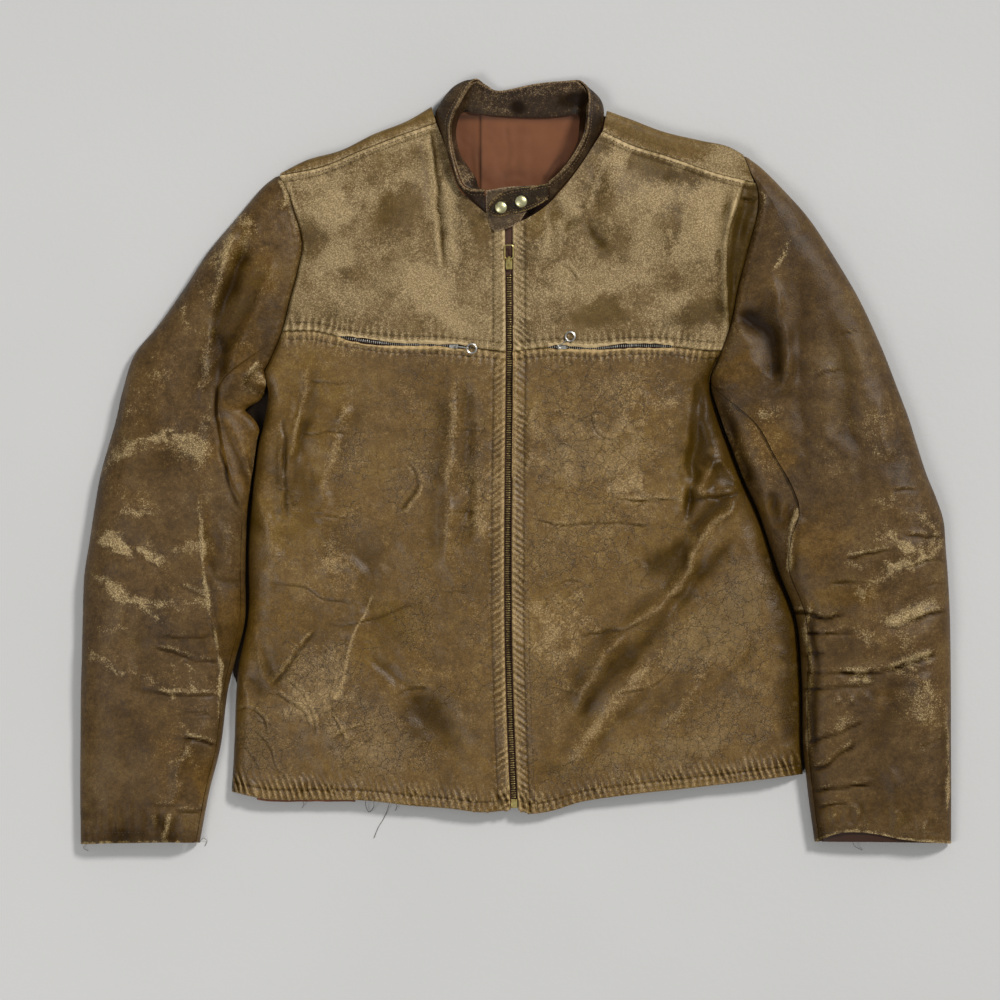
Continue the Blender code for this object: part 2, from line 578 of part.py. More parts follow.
def sleeve_section(row, shares, side, closed):
    """Upper face of a sleeve section: points at these shares of its width from the inner end."""
    x = row["inner_x"] + (row["outer_x"] - row["inner_x"]) * shares
    y = row["inner_y"] + (row["outer_y"] - row["inner_y"]) * shares
    width, crown = sleeve_width(row), row["crown"]
    outer = SLEEVE_SIDE_Z + (crown - SLEEVE_SIDE_Z) * roll((1 - shares) * width / (crown * OUTER_ROLL))
    start = SLEEVE_SIDE_Z if closed else body_column(side, row["inner_y"], "edge_z")
    inner = start + (crown - start) * roll(shares * width / (crown * INNER_ROLL))
    folds = fold_height(x, y) * ease(np.minimum(1 - shares, shares * 1.5) * width / FOLD_MARGIN)
    if row["shelf"]:
        ledge = min(LEDGE / width, LEDGE_SHARE)
        sunk = 1 - ease((shares - row["shelf"]) / ledge)
        folds -= row["drop"] * sunk * (1 if closed else ease(shares / 0.1))
    return np.stack([x, y, np.minimum(inner, outer) + folds], axis=-1)


def sleeve_width(row):
    return math.hypot(row["outer_x"] - row["inner_x"], row["outer_y"] - row["inner_y"])


def build_sleeves():
    strip_cells = 3
    spread = 0.5 - 0.5 * np.cos(np.linspace(0, math.pi, 8))
    rounding = SLEEVE_SIDE_ROUND * np.array((0, 0.06, 0.33, 1))
    for side in (RIGHT, LEFT):
        top, under = [], []
        for number, values in enumerate(SLEEVE[side]):
            row = dict(zip(SLEEVE_COLUMNS, values))
            closed = number >= UNDERARM_ROW
            width, strip, drop = sleeve_width(row), row["strip"], row["drop"]
            start = strip + SEAM / width
            shelf = max(row["shelf"], start + 0.07)
            beyond = shelf + min(LEDGE / width, LEDGE_SHARE)
            shares = np.concatenate([[start, (start + shelf) / 2, shelf], beyond + (1 - beyond) * spread])
            line = sleeve_section(row, shares, side, closed)
            line[-1, 2] += SEAM
            top.append(line)

            # the under sleeve, from the outer fold along the floor and up the inner side
            rounded = rounding * min(1, width / 30)
            away = np.concatenate([rounded, [width / 3, width * 2 / 3], width - rounded[::-1]])
            lift = SLEEVE_SIDE_Z * (1 - roll(np.minimum(away, width - away if closed else width) / rounded[-1]))
            place = 1 - np.minimum(away, width if closed else width - SEAM) / width
            base = np.stack([row["inner_x"] + (row["outer_x"] - row["inner_x"]) * place,
                             row["inner_y"] + (row["outer_y"] - row["inner_y"]) * place, lift], axis=-1)
            shown = np.full((strip_cells, 3), np.nan)
            if closed:
                shares = np.linspace(0, 1, strip_cells + 1)[1:] ** 1.6 * (strip - SEAM / width)
                shown = sleeve_section({**row, "shelf": 0}, shares, side, closed)
                lowered = shown[:, 2] - drop * ease(shares / strip)
                shown[:, 2] = np.maximum(lowered, SLEEVE_SIDE_Z + 0.4)
            under.append(np.vstack([base, shown]))
        top, under = np.array(top), np.array(under)
        set_back = np.asarray(CUFF_BACK[side], float).T
        across = np.linspace(0, 1, top.shape[1])
        top[-1, :, 1] += smooth(across, set_back[0], set_back[1])
        wall("top_sleeve_" + side_name(side), top, LEATHER, "leather_sleeve", -side, level=-1)
        wall("under_sleeve_" + side_name(side), under, LEATHER, "leather_sleeve", -side, level=0)


def build_back():
    """The back lies on the floor and folds over each shoulder to the front."""
    shoulder_cells, neck_cells = SHOULDER_CELLS, 4
    shares = np.linspace(0, 1, shoulder_cells + 1)
    fold = {}
    for side in (RIGHT, LEFT):
        out, seam = along(OUTLINE[side], shares), along(SHOULDER[side], shares)
        span = np.linalg.norm(seam - out, axis=-1, keepdims=True)
        reach = (seam - out) / span * np.minimum(SHOULDER_RADIUS, SHOULDER_MOST * span)
        fold[side] = (seam, out + reach, reach)
    neck = along(BACK_NECK, np.linspace(0, 1, neck_cells + 1))[1:-1]
    top = np.vstack([fold[RIGHT][1], neck, fold[LEFT][1][::-1]])
    sides = {}
    for side in (RIGHT, LEFT):
        columns = np.asarray(BACK_SIDE[side], float).T
        high = fold[side][1][0]
        low = [row[1] for row in SLEEVE[side][UNDERARM_ROW:UNDERARM_ROW + 3]]
        corners = [row[1] for row in SLEEVE[side][:UNDERARM_ROW] if row[1] < high[1] - 1]
        y = spread_rows([high[1], columns[0][0], *corners, *low], BACK_ROWS)
        armhole = np.asarray(SLEEVE[side][:UNDERARM_ROW], float)[::-1, :2].T
        above = np.interp(y, armhole[1], armhole[0]) - side * SEAM
        x = np.where(y > armhole[1][0], above, smooth(y, columns[0], columns[1]))
        x[0] = high[0]
        sides[side] = np.stack([x, y], axis=-1)
    hem = along(BACK_HEM, np.linspace(0, 1, len(top)))
    plan = patch(top, hem, sides[RIGHT], sides[LEFT])
    floor = np.dstack([plan, np.zeros(plan.shape[:2])])
    places = {RIGHT: slice(0, shoulder_cells + 1), LEFT: slice(len(top) - shoulder_cells - 1, None)}
    seam_row = np.full((len(top), 3), np.nan)
    over = [np.full((len(top), 3), np.nan) for _ in SHOULDER_ANGLES]
    for side, at in places.items():
        seam, foot, reach = fold[side]
        gap = SEAM * reach / np.linalg.norm(reach, axis=-1, keepdims=True)
        lines = [np.column_stack([seam - gap, np.full(len(seam), SHOULDER_Z)])]
        for angle in np.radians(SHOULDER_ANGLES):
            height = SHOULDER_RADIUS * (1 - math.cos(angle))
            lines.append(np.column_stack([foot - reach * math.sin(angle), np.full(len(foot), height)]))
        for row, line in zip((seam_row, *over), lines):
            row[at] = line if side == RIGHT else line[::-1]
    wall("back", np.array([seam_row, *over, *floor]), LEATHER, "leather_body", 1)


def build_collar():
    rows = np.linspace(0, len(COLLAR) - 1, 28)
    read = dict(zip(COLLAR_COLUMNS, read_rows(COLLAR, rows).T))
    seam, rim = (np.stack([read[f"{edge}_{axis}"] for axis in "xyz"], axis=-1) for edge in ("seam", "rim"))
    bulge = read["bulge"][:, None]
    away = (seam + rim) / 2 - NECK_MIDDLE
    away[:, 2] = 0
    away /= np.linalg.norm(away, axis=-1, keepdims=True)
    lines = [seam + (rim - seam) * t + away * bulge * math.sin(math.pi * t) for t in np.linspace(0, 1, 4)]
    lines = np.array(lines)
    wall("collar", lines, COLLAR_WALL, "leather_collar", -1)
    edge = read_rows(FACING_EDGE, rows)
    upper = rim - normals_of(lines)[-1] * (2 * COLLAR_WALL + REST)
    lift = np.array((0, 0, 1.0))
    lines = [upper + (edge - upper) * t + lift * math.sin(math.pi * t) for t in np.linspace(0, 1, 4)]
    wall("collar_facing", np.array(lines), COLLAR_WALL, "leather_collar", -1)


def strip_patch(table, heights, cells):
    """A patch between a table's top and bottom edges, sloping from one height to the other."""
    count = np.arange(len(table))
    places = np.linspace(0, len(table) - 1, cells)
    edges = np.asarray(table, float)
    lines = []
    for t in np.linspace(0, 1, 4):
        plan = [smooth(places, count, (edges[:, 0] * (1 - t) + edges[:, 1] * t)[:, axis]) for axis in (0, 1)]
        z = np.full(cells, heights[1] * (1 - t) + heights[0] * t)
        lines.append(np.stack([*plan, z], axis=-1))
    return np.array(lines)


def build_collar_ends():
    wall("collar_under_end", strip_patch(UNDER_END, UNDER_END_Z, 9), COLLAR_WALL, "leather_collar", -1)
    wall("collar_strap", strip_patch(STRAP, STRAP_Z, 13), COLLAR_WALL, "leather_collar", -1)
    for number, (x, y) in enumerate(SNAPS):
        bm = bmesh.new()
        turns, rings = 20, 5
        slope = (STRAP_Z[1] - STRAP_Z[0]) / STRAP_RISE
        z = STRAP_Z[0] + slope * (y + SNAP_RADIUS - STRAP[3][1][1]) + 2 * REST
        foot = [bm.verts.new((x + SNAP_RADIUS * math.cos(a), y + SNAP_RADIUS * math.sin(a), z))
                for a in np.linspace(0, 2 * math.pi, turns, endpoint=False)]
        bm.faces.new(foot)
        last = foot
        for ring in range(1, rings):
            lift = ring / rings * math.pi / 2
            radius, height = SNAP_RADIUS * math.cos(lift), SNAP_HEIGHT * math.sin(lift)
            now = [bm.verts.new((x + radius * math.cos(a), y + radius * math.sin(a), z + height))
                   for a in np.linspace(0, 2 * math.pi, turns, endpoint=False)]
            for i in range(turns):
                j = (i + 1) % turns
                bm.faces.new((last[i], last[j], now[j], now[i]))
            last = now
        bm.faces.new(last)
        put(f"snap_{number + 1}", bm, "brass")


def build_linings():
    low_x, high_x, low_y = LINING_BOX
    pleat_x, pleat_height, pleat_half = LINING_PLEAT
    x = np.unique(np.concatenate([np.linspace(low_x, high_x, 9), pleat_x + pleat_half * np.array((-1, -0.3, 0.3, 1))]))
    top = np.asarray(LINING_TOP, float).T
    y_top = smooth(x, top[0], top[1])
    lines = []
    for t in np.linspace(0, 1, 4):
        y = y_top + (low_y - y_top) * t
        z = LINING_Z + pleat_height * np.exp(-(((x - pleat_x) / pleat_half) ** 2)) * (0.2 + 0.8 * t)
        lines.append(np.stack([x, y, z], axis=-1))
    wall("lining_back", np.array(lines), LINING_WALL, "lining_satin", -1)

    low_x, high_x, depth, shown = HEM_LINING
    x = np.linspace(low_x, high_x, 8)
    hem = np.asarray(HEM[RIGHT], float).T
    hem_y = smooth(x, hem[0], hem[1])
    lines = []
    for t in (0, 0.5, 1):
        y = hem_y - shown + depth * (1 - t)
        z = body_height(RIGHT, x, y) - LEATHER - REST - 0.6
        lines.append(np.stack([x, y, z], axis=-1))
    wall("lining_hem", np.array(lines), LINING_WALL, "lining_satin", -1)

    lines = []
    last = len(SLEEVE[LEFT]) - 1
    for number in np.linspace(last - CUFF_LINING_ROWS, last, 3):
        row = dict(zip(SLEEVE_COLUMNS, read_rows(SLEEVE[LEFT], number)))
        half = sleeve_width(row) / 2 - LEATHER - 5.0
        high = row["crown"] / 2 - LEATHER - 1.6
        angles = np.linspace(0, 2 * math.pi, 20, endpoint=False)
        across, up = np.cos(angles), np.sin(angles)
        lines.append(np.stack([(row["inner_x"] + row["outer_x"]) / 2 + half * across,
                               np.full(20, (row["inner_y"] + row["outer_y"]) / 2 + 1.0),
                               row["crown"] / 2 + high * np.sign(up) * np.abs(up) ** 0.7], axis=-1))
    wall("lining_cuff", np.array(lines), LINING_WALL, "lining_satin", 1, closed=True)


def zip_strip(name, centre, heading, tape_half, chain_half, chain_height):
    """A tape with its chain as one bar: centre is a line of points, heading its sideways directions."""
    outline = ((-tape_half, 0), (-chain_half, 0), (-chain_half, chain_height), (chain_half, chain_height),
               (chain_half, 0), (tape_half, 0), (tape_half, -TAPE_WALL), (-tape_half, -TAPE_WALL))
    bm = bmesh.new()
    rows = [[bm.verts.new(Vector(point) + Vector(side) * a + Vector((0, 0, b))) for a, b in outline]
            for point, side in zip(centre, heading)]
    for here, there in zip(rows, rows[1:]):
        for i in range(len(outline)):
            j = (i + 1) % len(outline)
            bm.faces.new((here[i], here[j], there[j], there[i]))
    bm.faces.new(rows[0])
    bm.faces.new(rows[-1][::-1])
    return put(name, bm, "zip_tape")


def chest_y(side, x):
    """The chest seam's place up the body."""
    line = np.asarray(CHEST[side] if side == RIGHT else CHEST[side][::-1], float).T
    return smooth(x, line[0], line[1])


def zip_height(side, x, y, tape_gap):
    """Upper face of a zip's tape under the front."""
    return body_height(side, x, y) - LEATHER - tape_gap


def build_zips():
    y = np.linspace(ZIP_TOP, ZIP_FOOT, 25)
    x = zip_x(y)
    z = np.minimum(*(zip_height(side, x + side * ZIP_HALF_GAP, y, TAPE_GAP) for side in (RIGHT, LEFT)))
    zip_strip("main_zip", np.stack([x, y, z], axis=-1), [(1, 0, 0)] * len(y), 12.0, 2.4, CHAIN_HEIGHT)
    for side in (RIGHT, LEFT):
        far, near, _ = POCKET[side]
        x = np.linspace(far + side * 6, near - side * 2, 9)
        y = chest_y(side, x)
        z = zip_height(side, x, y, POCKET_TAPE_GAP)
        run = np.gradient(np.stack([x, y], axis=-1), axis=0)
        across = np.column_stack([-run[:, 1], run[:, 0], np.zeros(len(x))])
        across /= np.linalg.norm(across, axis=-1, keepdims=True)
        centre = np.stack([x, y, z], axis=-1)
        zip_strip("pocket_zip_" + side_name(side), centre, across, 7.0, 1.6, POCKET_CHAIN_HEIGHT)


def box(size, centre, bevel):
    bm = bmesh.new()
    bmesh.ops.create_cube(bm, size=1)
    bm.transform(Matrix.Diagonal((*size, 1)))
    bmesh.ops.bevel(bm, geom=bm.edges[:], offset=bevel, segments=2, affect="EDGES", profile=0.5)
    bm.transform(Matrix.Translation(centre))
    return bm


def rod(start, end, radius, sides=12):
    bm = bmesh.new()
    start, end = Vector(start), Vector(end)
    depth = (end - start).length
    bmesh.ops.create_cone(bm, cap_ends=True, segments=sides, radius1=radius, radius2=radius, depth=depth)
    turn = (end - start).to_track_quat("Z", "Y").to_matrix().to_4x4()
    bm.transform(Matrix.Translation((start + end) / 2) @ turn)
    return bm


def looped_wire(path, radius, sides=8):
    """A closed wire of round section along a closed path."""
    path = np.asarray(path, float)
    ahead = np.roll(path, -1, 0) - np.roll(path, 1, 0)
    ahead /= np.linalg.norm(ahead, axis=1, keepdims=True)
    flat = np.cross(ahead[0], ahead[len(path) // 4])
    flat /= np.linalg.norm(flat)
    bm = bmesh.new()
    rings = []
    for point, direction in zip(path, ahead):
        side = np.cross(direction, flat)
        ring = [bm.verts.new(point + radius * (math.cos(a) * side + math.sin(a) * flat))
                for a in np.linspace(0, 2 * math.pi, sides, endpoint=False)]
        rings.append(ring)
    for here, there in zip(rings, rings[1:] + rings[:1]):
        for i in range(sides):
            j = (i + 1) % sides
            bm.faces.new((here[i], here[j], there[j], there[i]))
    return bm


def unite(thing, helpers, cut=()):
    """Boolean joins and cuts from helper meshes, which stay out of the model."""
    steps = [(helper, "UNION") for helper in helpers] + [(cutter, "DIFFERENCE") for cutter in cut]
    for number, (bm, operation) in enumerate(steps):
        helper = put(f"{thing.name}_helper_{number}", bm, "brass")
        helper.hide_render = True
        helper.display_type = "WIRE"
        join = thing.modifiers.new(operation.lower(), "BOOLEAN")
        join.operation = operation
        join.object = helper
        join.solver = "EXACT"


def build_main_slider():
    y = SLIDER_Y
    x = float(zip_x(np.array([y + 6.0]))[0])
    leather = float(body_height(LEFT, np.array([x + 6.0]), np.array([y]))[0])
    base_low, base_high = leather - LEATHER - TAPE_GAP + CHAIN_HEIGHT + 0.7, leather + 1.0
    size = (6.0, 10.0, base_high - base_low)
    body = put("zip_slider", box(size, (x, y, (base_low + base_high) / 2), 0.5), "brass")
    pin_y, pin_z = y + 5.0, base_high + 1.3
    rib = box((2.0, 6.0, 4.0), (x, pin_y - 1.5, base_high + 0.8), 0.3)
    hole = rod((x - 3, pin_y, pin_z), (x + 3, pin_y, pin_z), PULL_WIRE + 0.35, 16)
    unite(body, [rib], [hole])
    half, length, corner = PULL_WIDTH / 2, PULL_LENGTH, 1.6
    path = []
    for cx, cy, start in ((half - corner, length - corner, 0), (corner - half, length - corner, 90),
                          (corner - half, corner, 180), (half - corner, corner, 270)):
        for angle in np.radians(np.linspace(start, start + 90, 4)):
            path.append((x + cx + corner * math.cos(angle), pin_y + cy + corner * math.sin(angle), pin_z))
    put("zip_pull", looped_wire(path, PULL_WIRE), "brass", (x, pin_y, pin_z))
    foot_y = ZIP_FOOT + 4.0
    foot_x = float(zip_x(np.array([foot_y]))[0])
    tape = float(zip_height(LEFT, np.array([foot_x + ZIP_HALF_GAP]), np.array([foot_y]), TAPE_GAP)[0])
    chain_top = tape + CHAIN_HEIGHT
    depth = 1.6
    put("zip_box", box((5.6, 8.0, depth), (foot_x, foot_y, chain_top + SEAM + depth / 2), 0.4), "brass")


def build_pocket_pulls():
    for side in (RIGHT, LEFT):
        x, y, heading = POCKET_PIN[side]
        heading = math.radians(heading)
        ahead = np.array([math.cos(heading), math.sin(heading), 0.0])
        beside, up = np.array([-ahead[1], ahead[0], 0.0]), np.array([0.0, 0.0, 1.0])
        spots = np.array([[x, y]]) + np.outer((0, 9, 14, 18), ahead[:2])
        leather = float(max(body_height(side, spots[:, 0], spots[:, 1])))
        pin = np.array([x, y, leather + LINK_CLEARANCE])
        name = side_name(side)
        reach = -side  # the slider's body trails from the pin towards the pocket's far end
        body_x = x - reach * 2.8
        tape = float(zip_height(side, np.array([body_x]), np.array([y]), POCKET_TAPE_GAP)[0])
        low, high = tape + POCKET_CHAIN_HEIGHT + REST, leather + 0.1
        body_y = float(chest_y(side, np.array([body_x]))[0])
        size = (8.0, 3.6, high - low)
        body = put("pocket_slider_" + name, box(size, (body_x, body_y, (low + high) / 2), 0.4), "nickel")
        cheeks = [rod(pin - beside * 1.9, pin + beside * 1.9, PIN_RADIUS, 12)]
        for away in (-1.5, 1.5):
            spot = pin + beside * away
            cheeks.append(rod((spot[0], spot[1], high - 0.3), spot, 0.5, 8))
        unite(body, cheeks)
        path = []
        far = pin + ahead * LINK_LENGTH
        for centre, start in ((far, -90), (pin, 90)):
            for angle in np.radians(np.linspace(start, start + 180, 7)):
                path.append(centre + LINK_RADIUS * (math.cos(angle) * ahead + math.sin(angle) * up))
        put("pocket_link_" + name, looped_wire(path, LINK_WIRE, 6), "nickel", pin)
        hub = far + ahead * RING_RADIUS
        path = [hub + RING_RADIUS * (math.cos(a) * ahead + math.sin(a) * beside)
                for a in np.linspace(0, 2 * math.pi, 24, endpoint=False)]
        put("pocket_ring_" + name, looped_wire(path, RING_WIRE, 8), "nickel", far)


for leftover in list(bpy.data.objects):
    bpy.data.objects.remove(leftover)
build_back()
build_fronts()
build_sleeves()
build_collar()
build_collar_ends()
build_linings()
build_zips()
build_main_slider()
build_pocket_pulls()
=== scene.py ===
"""A worn leather jacket, zipped up and laid flat on its back on a studio floor.

Metres, +Z up: +Y points to the collar and +X to the wearer's left. The tables are in millimetres.
"""

import math

import bpy
import numpy as np
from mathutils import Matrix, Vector
from mathutils.bvhtree import BVHTree


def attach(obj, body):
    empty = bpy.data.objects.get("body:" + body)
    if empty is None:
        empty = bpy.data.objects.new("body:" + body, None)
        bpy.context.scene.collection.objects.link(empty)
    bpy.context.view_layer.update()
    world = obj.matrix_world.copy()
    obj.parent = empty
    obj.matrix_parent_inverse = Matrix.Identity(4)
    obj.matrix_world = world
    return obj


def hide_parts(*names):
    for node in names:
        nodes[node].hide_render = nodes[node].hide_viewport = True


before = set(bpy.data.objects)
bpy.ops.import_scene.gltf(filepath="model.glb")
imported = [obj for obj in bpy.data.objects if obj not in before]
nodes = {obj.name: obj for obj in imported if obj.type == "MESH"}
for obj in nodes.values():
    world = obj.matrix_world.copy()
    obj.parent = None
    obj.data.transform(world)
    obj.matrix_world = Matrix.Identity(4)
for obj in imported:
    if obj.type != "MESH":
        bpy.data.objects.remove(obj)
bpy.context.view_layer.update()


# The floor is smooth painted concrete, cool pale grey with a dull gloss. The light is one broad soft
# lamp high on the upper right, a weaker one opposite and an even room, and the camera looks straight
# down from far off.
MM = 0.001
VIEW_MIDDLE = (-14.2, -34.3)
VIEW_WIDTH = 914.0
CAMERA_HEIGHT = 6000.0
FLOOR_HALF = 4000.0
FLOOR_DROP = 0.2  # the floor lies this far under the leather
ROOM_COLOUR, ROOM_STRENGTH = (0.93, 0.97, 1.0, 1), 0.36
LAMPS = (  # name, place and diameter in metres, watts
    ("key_lamp", (6.9, 6.5, 8.6), 2.4, 1275),
    ("fill_lamp", (-2.2, -1.6, 3.6), 2.0, 60),
)


def linear(code):
    """A linear RGBA colour from an sRGB hex value."""
    parts = [int(code[i:i + 2], 16) / 255 for i in (1, 3, 5)]
    return (*(c / 12.92 if c <= 0.04045 else ((c + 0.055) / 1.055) ** 2.4 for c in parts), 1)


def add(tree, kind, inputs=(), **settings):
    """Adds a node; its inputs are given by name or number, as a value or as another node's socket."""
    node = tree.nodes.new(kind)
    for key, value in settings.items():
        setattr(node, key, value)
    for key, value in dict(inputs).items():
        if isinstance(value, bpy.types.NodeSocket):
            tree.links.new(value, node.inputs[key])
        else:
            node.inputs[key].default_value = value
    return node


def new_material(name):
    """An empty node material and its tree."""
    made = bpy.data.materials.new(name)
    made.use_nodes = True
    made.node_tree.nodes.clear()
    return made, made.node_tree


def clouds(tree, place, scale, detail):
    """Soft noise from 0 to 1, this many cells to the metre."""
    return add(tree, "ShaderNodeTexNoise", {"Vector": place, "Scale": scale, "Detail": detail}).outputs["Fac"]


def blend(tree, share, a, b):
    """The colour between two, each a hex value, a linear colour or a socket."""
    a, b = (linear(colour) if isinstance(colour, str) else colour for colour in (a, b))
    return add(tree, "ShaderNodeMix", {0: share, 6: a, 7: b}, data_type="RGBA").outputs[2]


def bumped(tree, height, strength, distance):
    inputs = {"Height": height, "Strength": strength, "Distance": distance}
    return add(tree, "ShaderNodeBump", inputs).outputs[0]


def surface(tree, colour, gloss, **more):
    """Ends a material: its shader, with further inputs by name (underscores for spaces)."""
    inputs = {"Base Color": colour, "Roughness": gloss}
    inputs.update({key.replace("_", " "): value for key, value in more.items()})
    shader = add(tree, "ShaderNodeBsdfPrincipled", inputs)
    add(tree, "ShaderNodeOutputMaterial", {"Surface": shader.outputs[0]})


def new_object(name, data):
    """An object of this mesh, lamp or camera, in the scene."""
    thing = bpy.data.objects.new(name, data)
    bpy.context.scene.collection.objects.link(thing)
    return thing


def painted_floor():
    """Sealed floor paint: one even colour, with a gloss that breaks up a little."""
    made, tree = new_material("floor_paint")
    place = add(tree, "ShaderNodeTexCoord").outputs["Object"]
    cloud = clouds(tree, place, 3.0, 4.0)
    tint = blend(tree, cloud, "#C0BEBB", "#C8C6C3")
    gloss = add(tree, "ShaderNodeMapRange", {0: cloud, 3: 0.38, 4: 0.55}).outputs[0]
    ripple = clouds(tree, place, 160.0, 2.0)
    surface(tree, tint, gloss, Normal=bumped(tree, ripple, 0.15, 1.0 * MM))
    return made


def build_floor():
    mesh = bpy.data.meshes.new("floor")
    reach, z = FLOOR_HALF * MM, -FLOOR_DROP * MM
    mesh.from_pydata([(-reach, -reach, z), (reach, -reach, z), (reach, reach, z), (-reach, reach, z)], [],
                     [(0, 1, 2, 3)])
    mesh.materials.append(painted_floor())
    new_object("floor", mesh)


def build_room():
    world = bpy.data.worlds.new("room")
    world.use_nodes = True
    inputs = world.node_tree.nodes["Background"].inputs
    inputs["Color"].default_value, inputs["Strength"].default_value = ROOM_COLOUR, ROOM_STRENGTH
    bpy.context.scene.world = world
    for name, place, size, power in LAMPS:
        lamp = bpy.data.lights.new(name, "AREA")
        lamp.shape, lamp.size, lamp.energy = "DISK", size, power
        thing = new_object(name, lamp)
        thing.location = place
        thing.rotation_euler = Vector(place).to_track_quat("Z", "Y").to_euler()
    bpy.context.scene.view_settings.view_transform = "Standard"


def build_camera():
    data = bpy.data.cameras.new("camera")
    data.angle = 2 * math.atan(VIEW_WIDTH / 2 / CAMERA_HEIGHT)
    camera = new_object("camera", data)
    camera.location = (VIEW_MIDDLE[0] * MM, VIEW_MIDDLE[1] * MM, CAMERA_HEIGHT * MM)
    bpy.context.scene.camera = camera


build_floor()
build_room()
build_camera()


# The back is one large panel of waxed cowhide, 1.3 mm thick. It lies on the floor, and folds over each
# shoulder to a lapped seam on the front, so its edge shows as a band along the shoulders and the neck.
RIGHT, LEFT = -1, 1  # the wearer's sides, as the sign of x
LEATHER = 1.3
SHARP_ANGLE = math.radians(70)
FOLD_COLUMNS, NECK_COLUMNS, BACK_LINES = 112, 42, 70  # grid lines of the back
FOLD_TURN = (180, 12)  # degrees over which the fold at the shoulder turns up, from its crest
# One row for each height up the body, hem first: the side edge, how high that edge lies, how wide the
# leather rolls there, and the height of the front between its edges.
BODY_COLUMNS = ("y", "edge_x", "edge_z", "roll", "crown")
BODY = {
    RIGHT: (
        (-320, -259.5, 2.6, 16, 15), (-255, -256.8, 2.6, 20, 18), (-186, -253, 2.6, 22, 20),
        (-144, -245, 2.6, 22, 22), (-78, -244.2, 2.6, 22, 24), (-41, -242, 2.6, 20, 25),
        (-11, -239, 2.6, 18, 25), (20, -234.6, 2.6, 16, 25), (41, -229, 4, 14, 25),
        (64, -225.5, 13, 12, 25), (82, -229, 17, 12, 26), (103, -218.9, 19, 14, 26),
        (124, -210.7, 19, 16, 27), (169, -200.6, 19, 20, 27), (216, -196.6, 18.5, 20, 27),
        (247, -206.4, 17, 20, 27), (264, -215.5, 16, 20, 27),
    ),
    LEFT: (
        (-320, 265, 2.6, 26, 15), (-256, 260.9, 2.6, 28, 19), (-204, 260, 2.6, 28, 22),
        (-144, 254.6, 2.6, 28, 24), (-99, 238.1, 2.6, 26, 25), (-42, 218.9, 2.6, 24, 26),
        (-19, 207.9, 2.6, 22, 26), (11, 196.1, 2.6, 22, 26), (34, 186.9, 5, 20, 26), (50, 181, 9, 18, 26),
        (73, 175.4, 15, 16, 26), (105, 188, 18, 18, 27), (155, 200.8, 18, 20, 27), (216, 217.1, 18, 20, 27),
        (240, 221.5, 17, 20, 27), (257, 213.5, 16, 20, 27),
    ),
}
# The armhole and then the sleeve's edge beside the body, shoulder first, with the sleeve's outer fold.
SLEEVE_COLUMNS = ("inner_x", "inner_y", "outer_x", "outer_y", "crown", "strip", "shelf", "drop")
SLEEVE = {
    RIGHT: (
        (-215.5, 261, -219.5, 260.5, 17, 0, 0, 0), (-208.8, 250, -232, 250.2, 20, 0, 0, 0),
        (-202.4, 231, -254, 224, 23, 0, 0, 0), (-194.6, 200, -280, 193, 26, 0, 0, 0),
        (-199, 173, -300, 162.5, 28, 0, 0, 0), (-206.5, 145, -325.5, 126, 29, 0, 0, 0),
        (-214, 116, -347.8, 98.7, 30, 0, 0, 0), (-229.5, 82, -358.8, 65.4, 31, 0, 0.26, 3),
        (-247, 58, -365, 38, 31, 0.03, 0.2, 9), (-244, 36, -372, 14, 32, 0.03, 0.19, 9),
        (-238, 8, -379, -11.4, 32, 0.03, 0.18, 8), (-241.5, -20, -384.3, -40.7, 32, 0.03, 0.1, 5),
        (-245, -53, -389, -72, 32, 0.03, 0, 0), (-246.4, -100, -394, -105, 31, 0.03, 0, 0),
        (-247, -144, -395.3, -144, 30, 0.03, 0, 0), (-256, -181, -396.2, -181, 29, 0.03, 0, 0),
        (-263.1, -211.1, -397, -211, 28, 0.03, 0, 0), (-269.2, -258.7, -397.4, -258.7, 26, 0.03, 0, 0),
        (-279.5, -300, -397.6, -300, 23, 0.03, 0, 0), (-288.4, -346.9, -397, -348.5, 19, 0.03, 0, 0),
    ),
    LEFT: (
        (208.6, 279.2, 212.5, 278, 17, 0, 0, 0), (215, 262.5, 226, 267.5, 19, 0, 0, 0),
        (220.5, 249, 244, 249.5, 22, 0, 0, 0), (220.5, 228, 268, 222.5, 25, 0, 0, 0),
        (210.5, 190, 292, 186, 28, 0, 0, 0), (202.5, 158, 314, 148.5, 29, 0, 0, 0),
        (196, 126, 334, 105.5, 31, 0, 0, 0), (185, 95, 349, 67, 32, 0, 0, 0),
        (177, 73, 358.5, 42, 33, 0.004, 0, 0.5), (187, 40, 366, 18, 34, 0.17, 0, 1.5),
        (198, 10.5, 375, -10, 34, 0.21, 0, 2), (209.3, -18.7, 384, -32, 34, 0.24, 0, 2.5),
        (220.3, -42.5, 391, -54, 34, 0.22, 0, 2.5), (229.5, -68.6, 393, -80, 33, 0.13, 0, 2),
        (240, -99.2, 395, -106, 32, 0.06, 0, 1), (256.5, -144, 396.8, -144, 31, 0.06, 0, 1),
        (261.6, -204.3, 397.6, -204, 29, 0.03, 0, 0.5), (262.5, -256.4, 397.7, -256, 26, 0.03, 0, 0.5),
        (267.3, -304, 397.9, -304, 23, 0.03, 0, 0.5), (273, -346, 397.8, -348, 20, 0.03, 0, 0.5),
    ),
}
UNDERARM_ROW = 8  # the first section that is closed all round
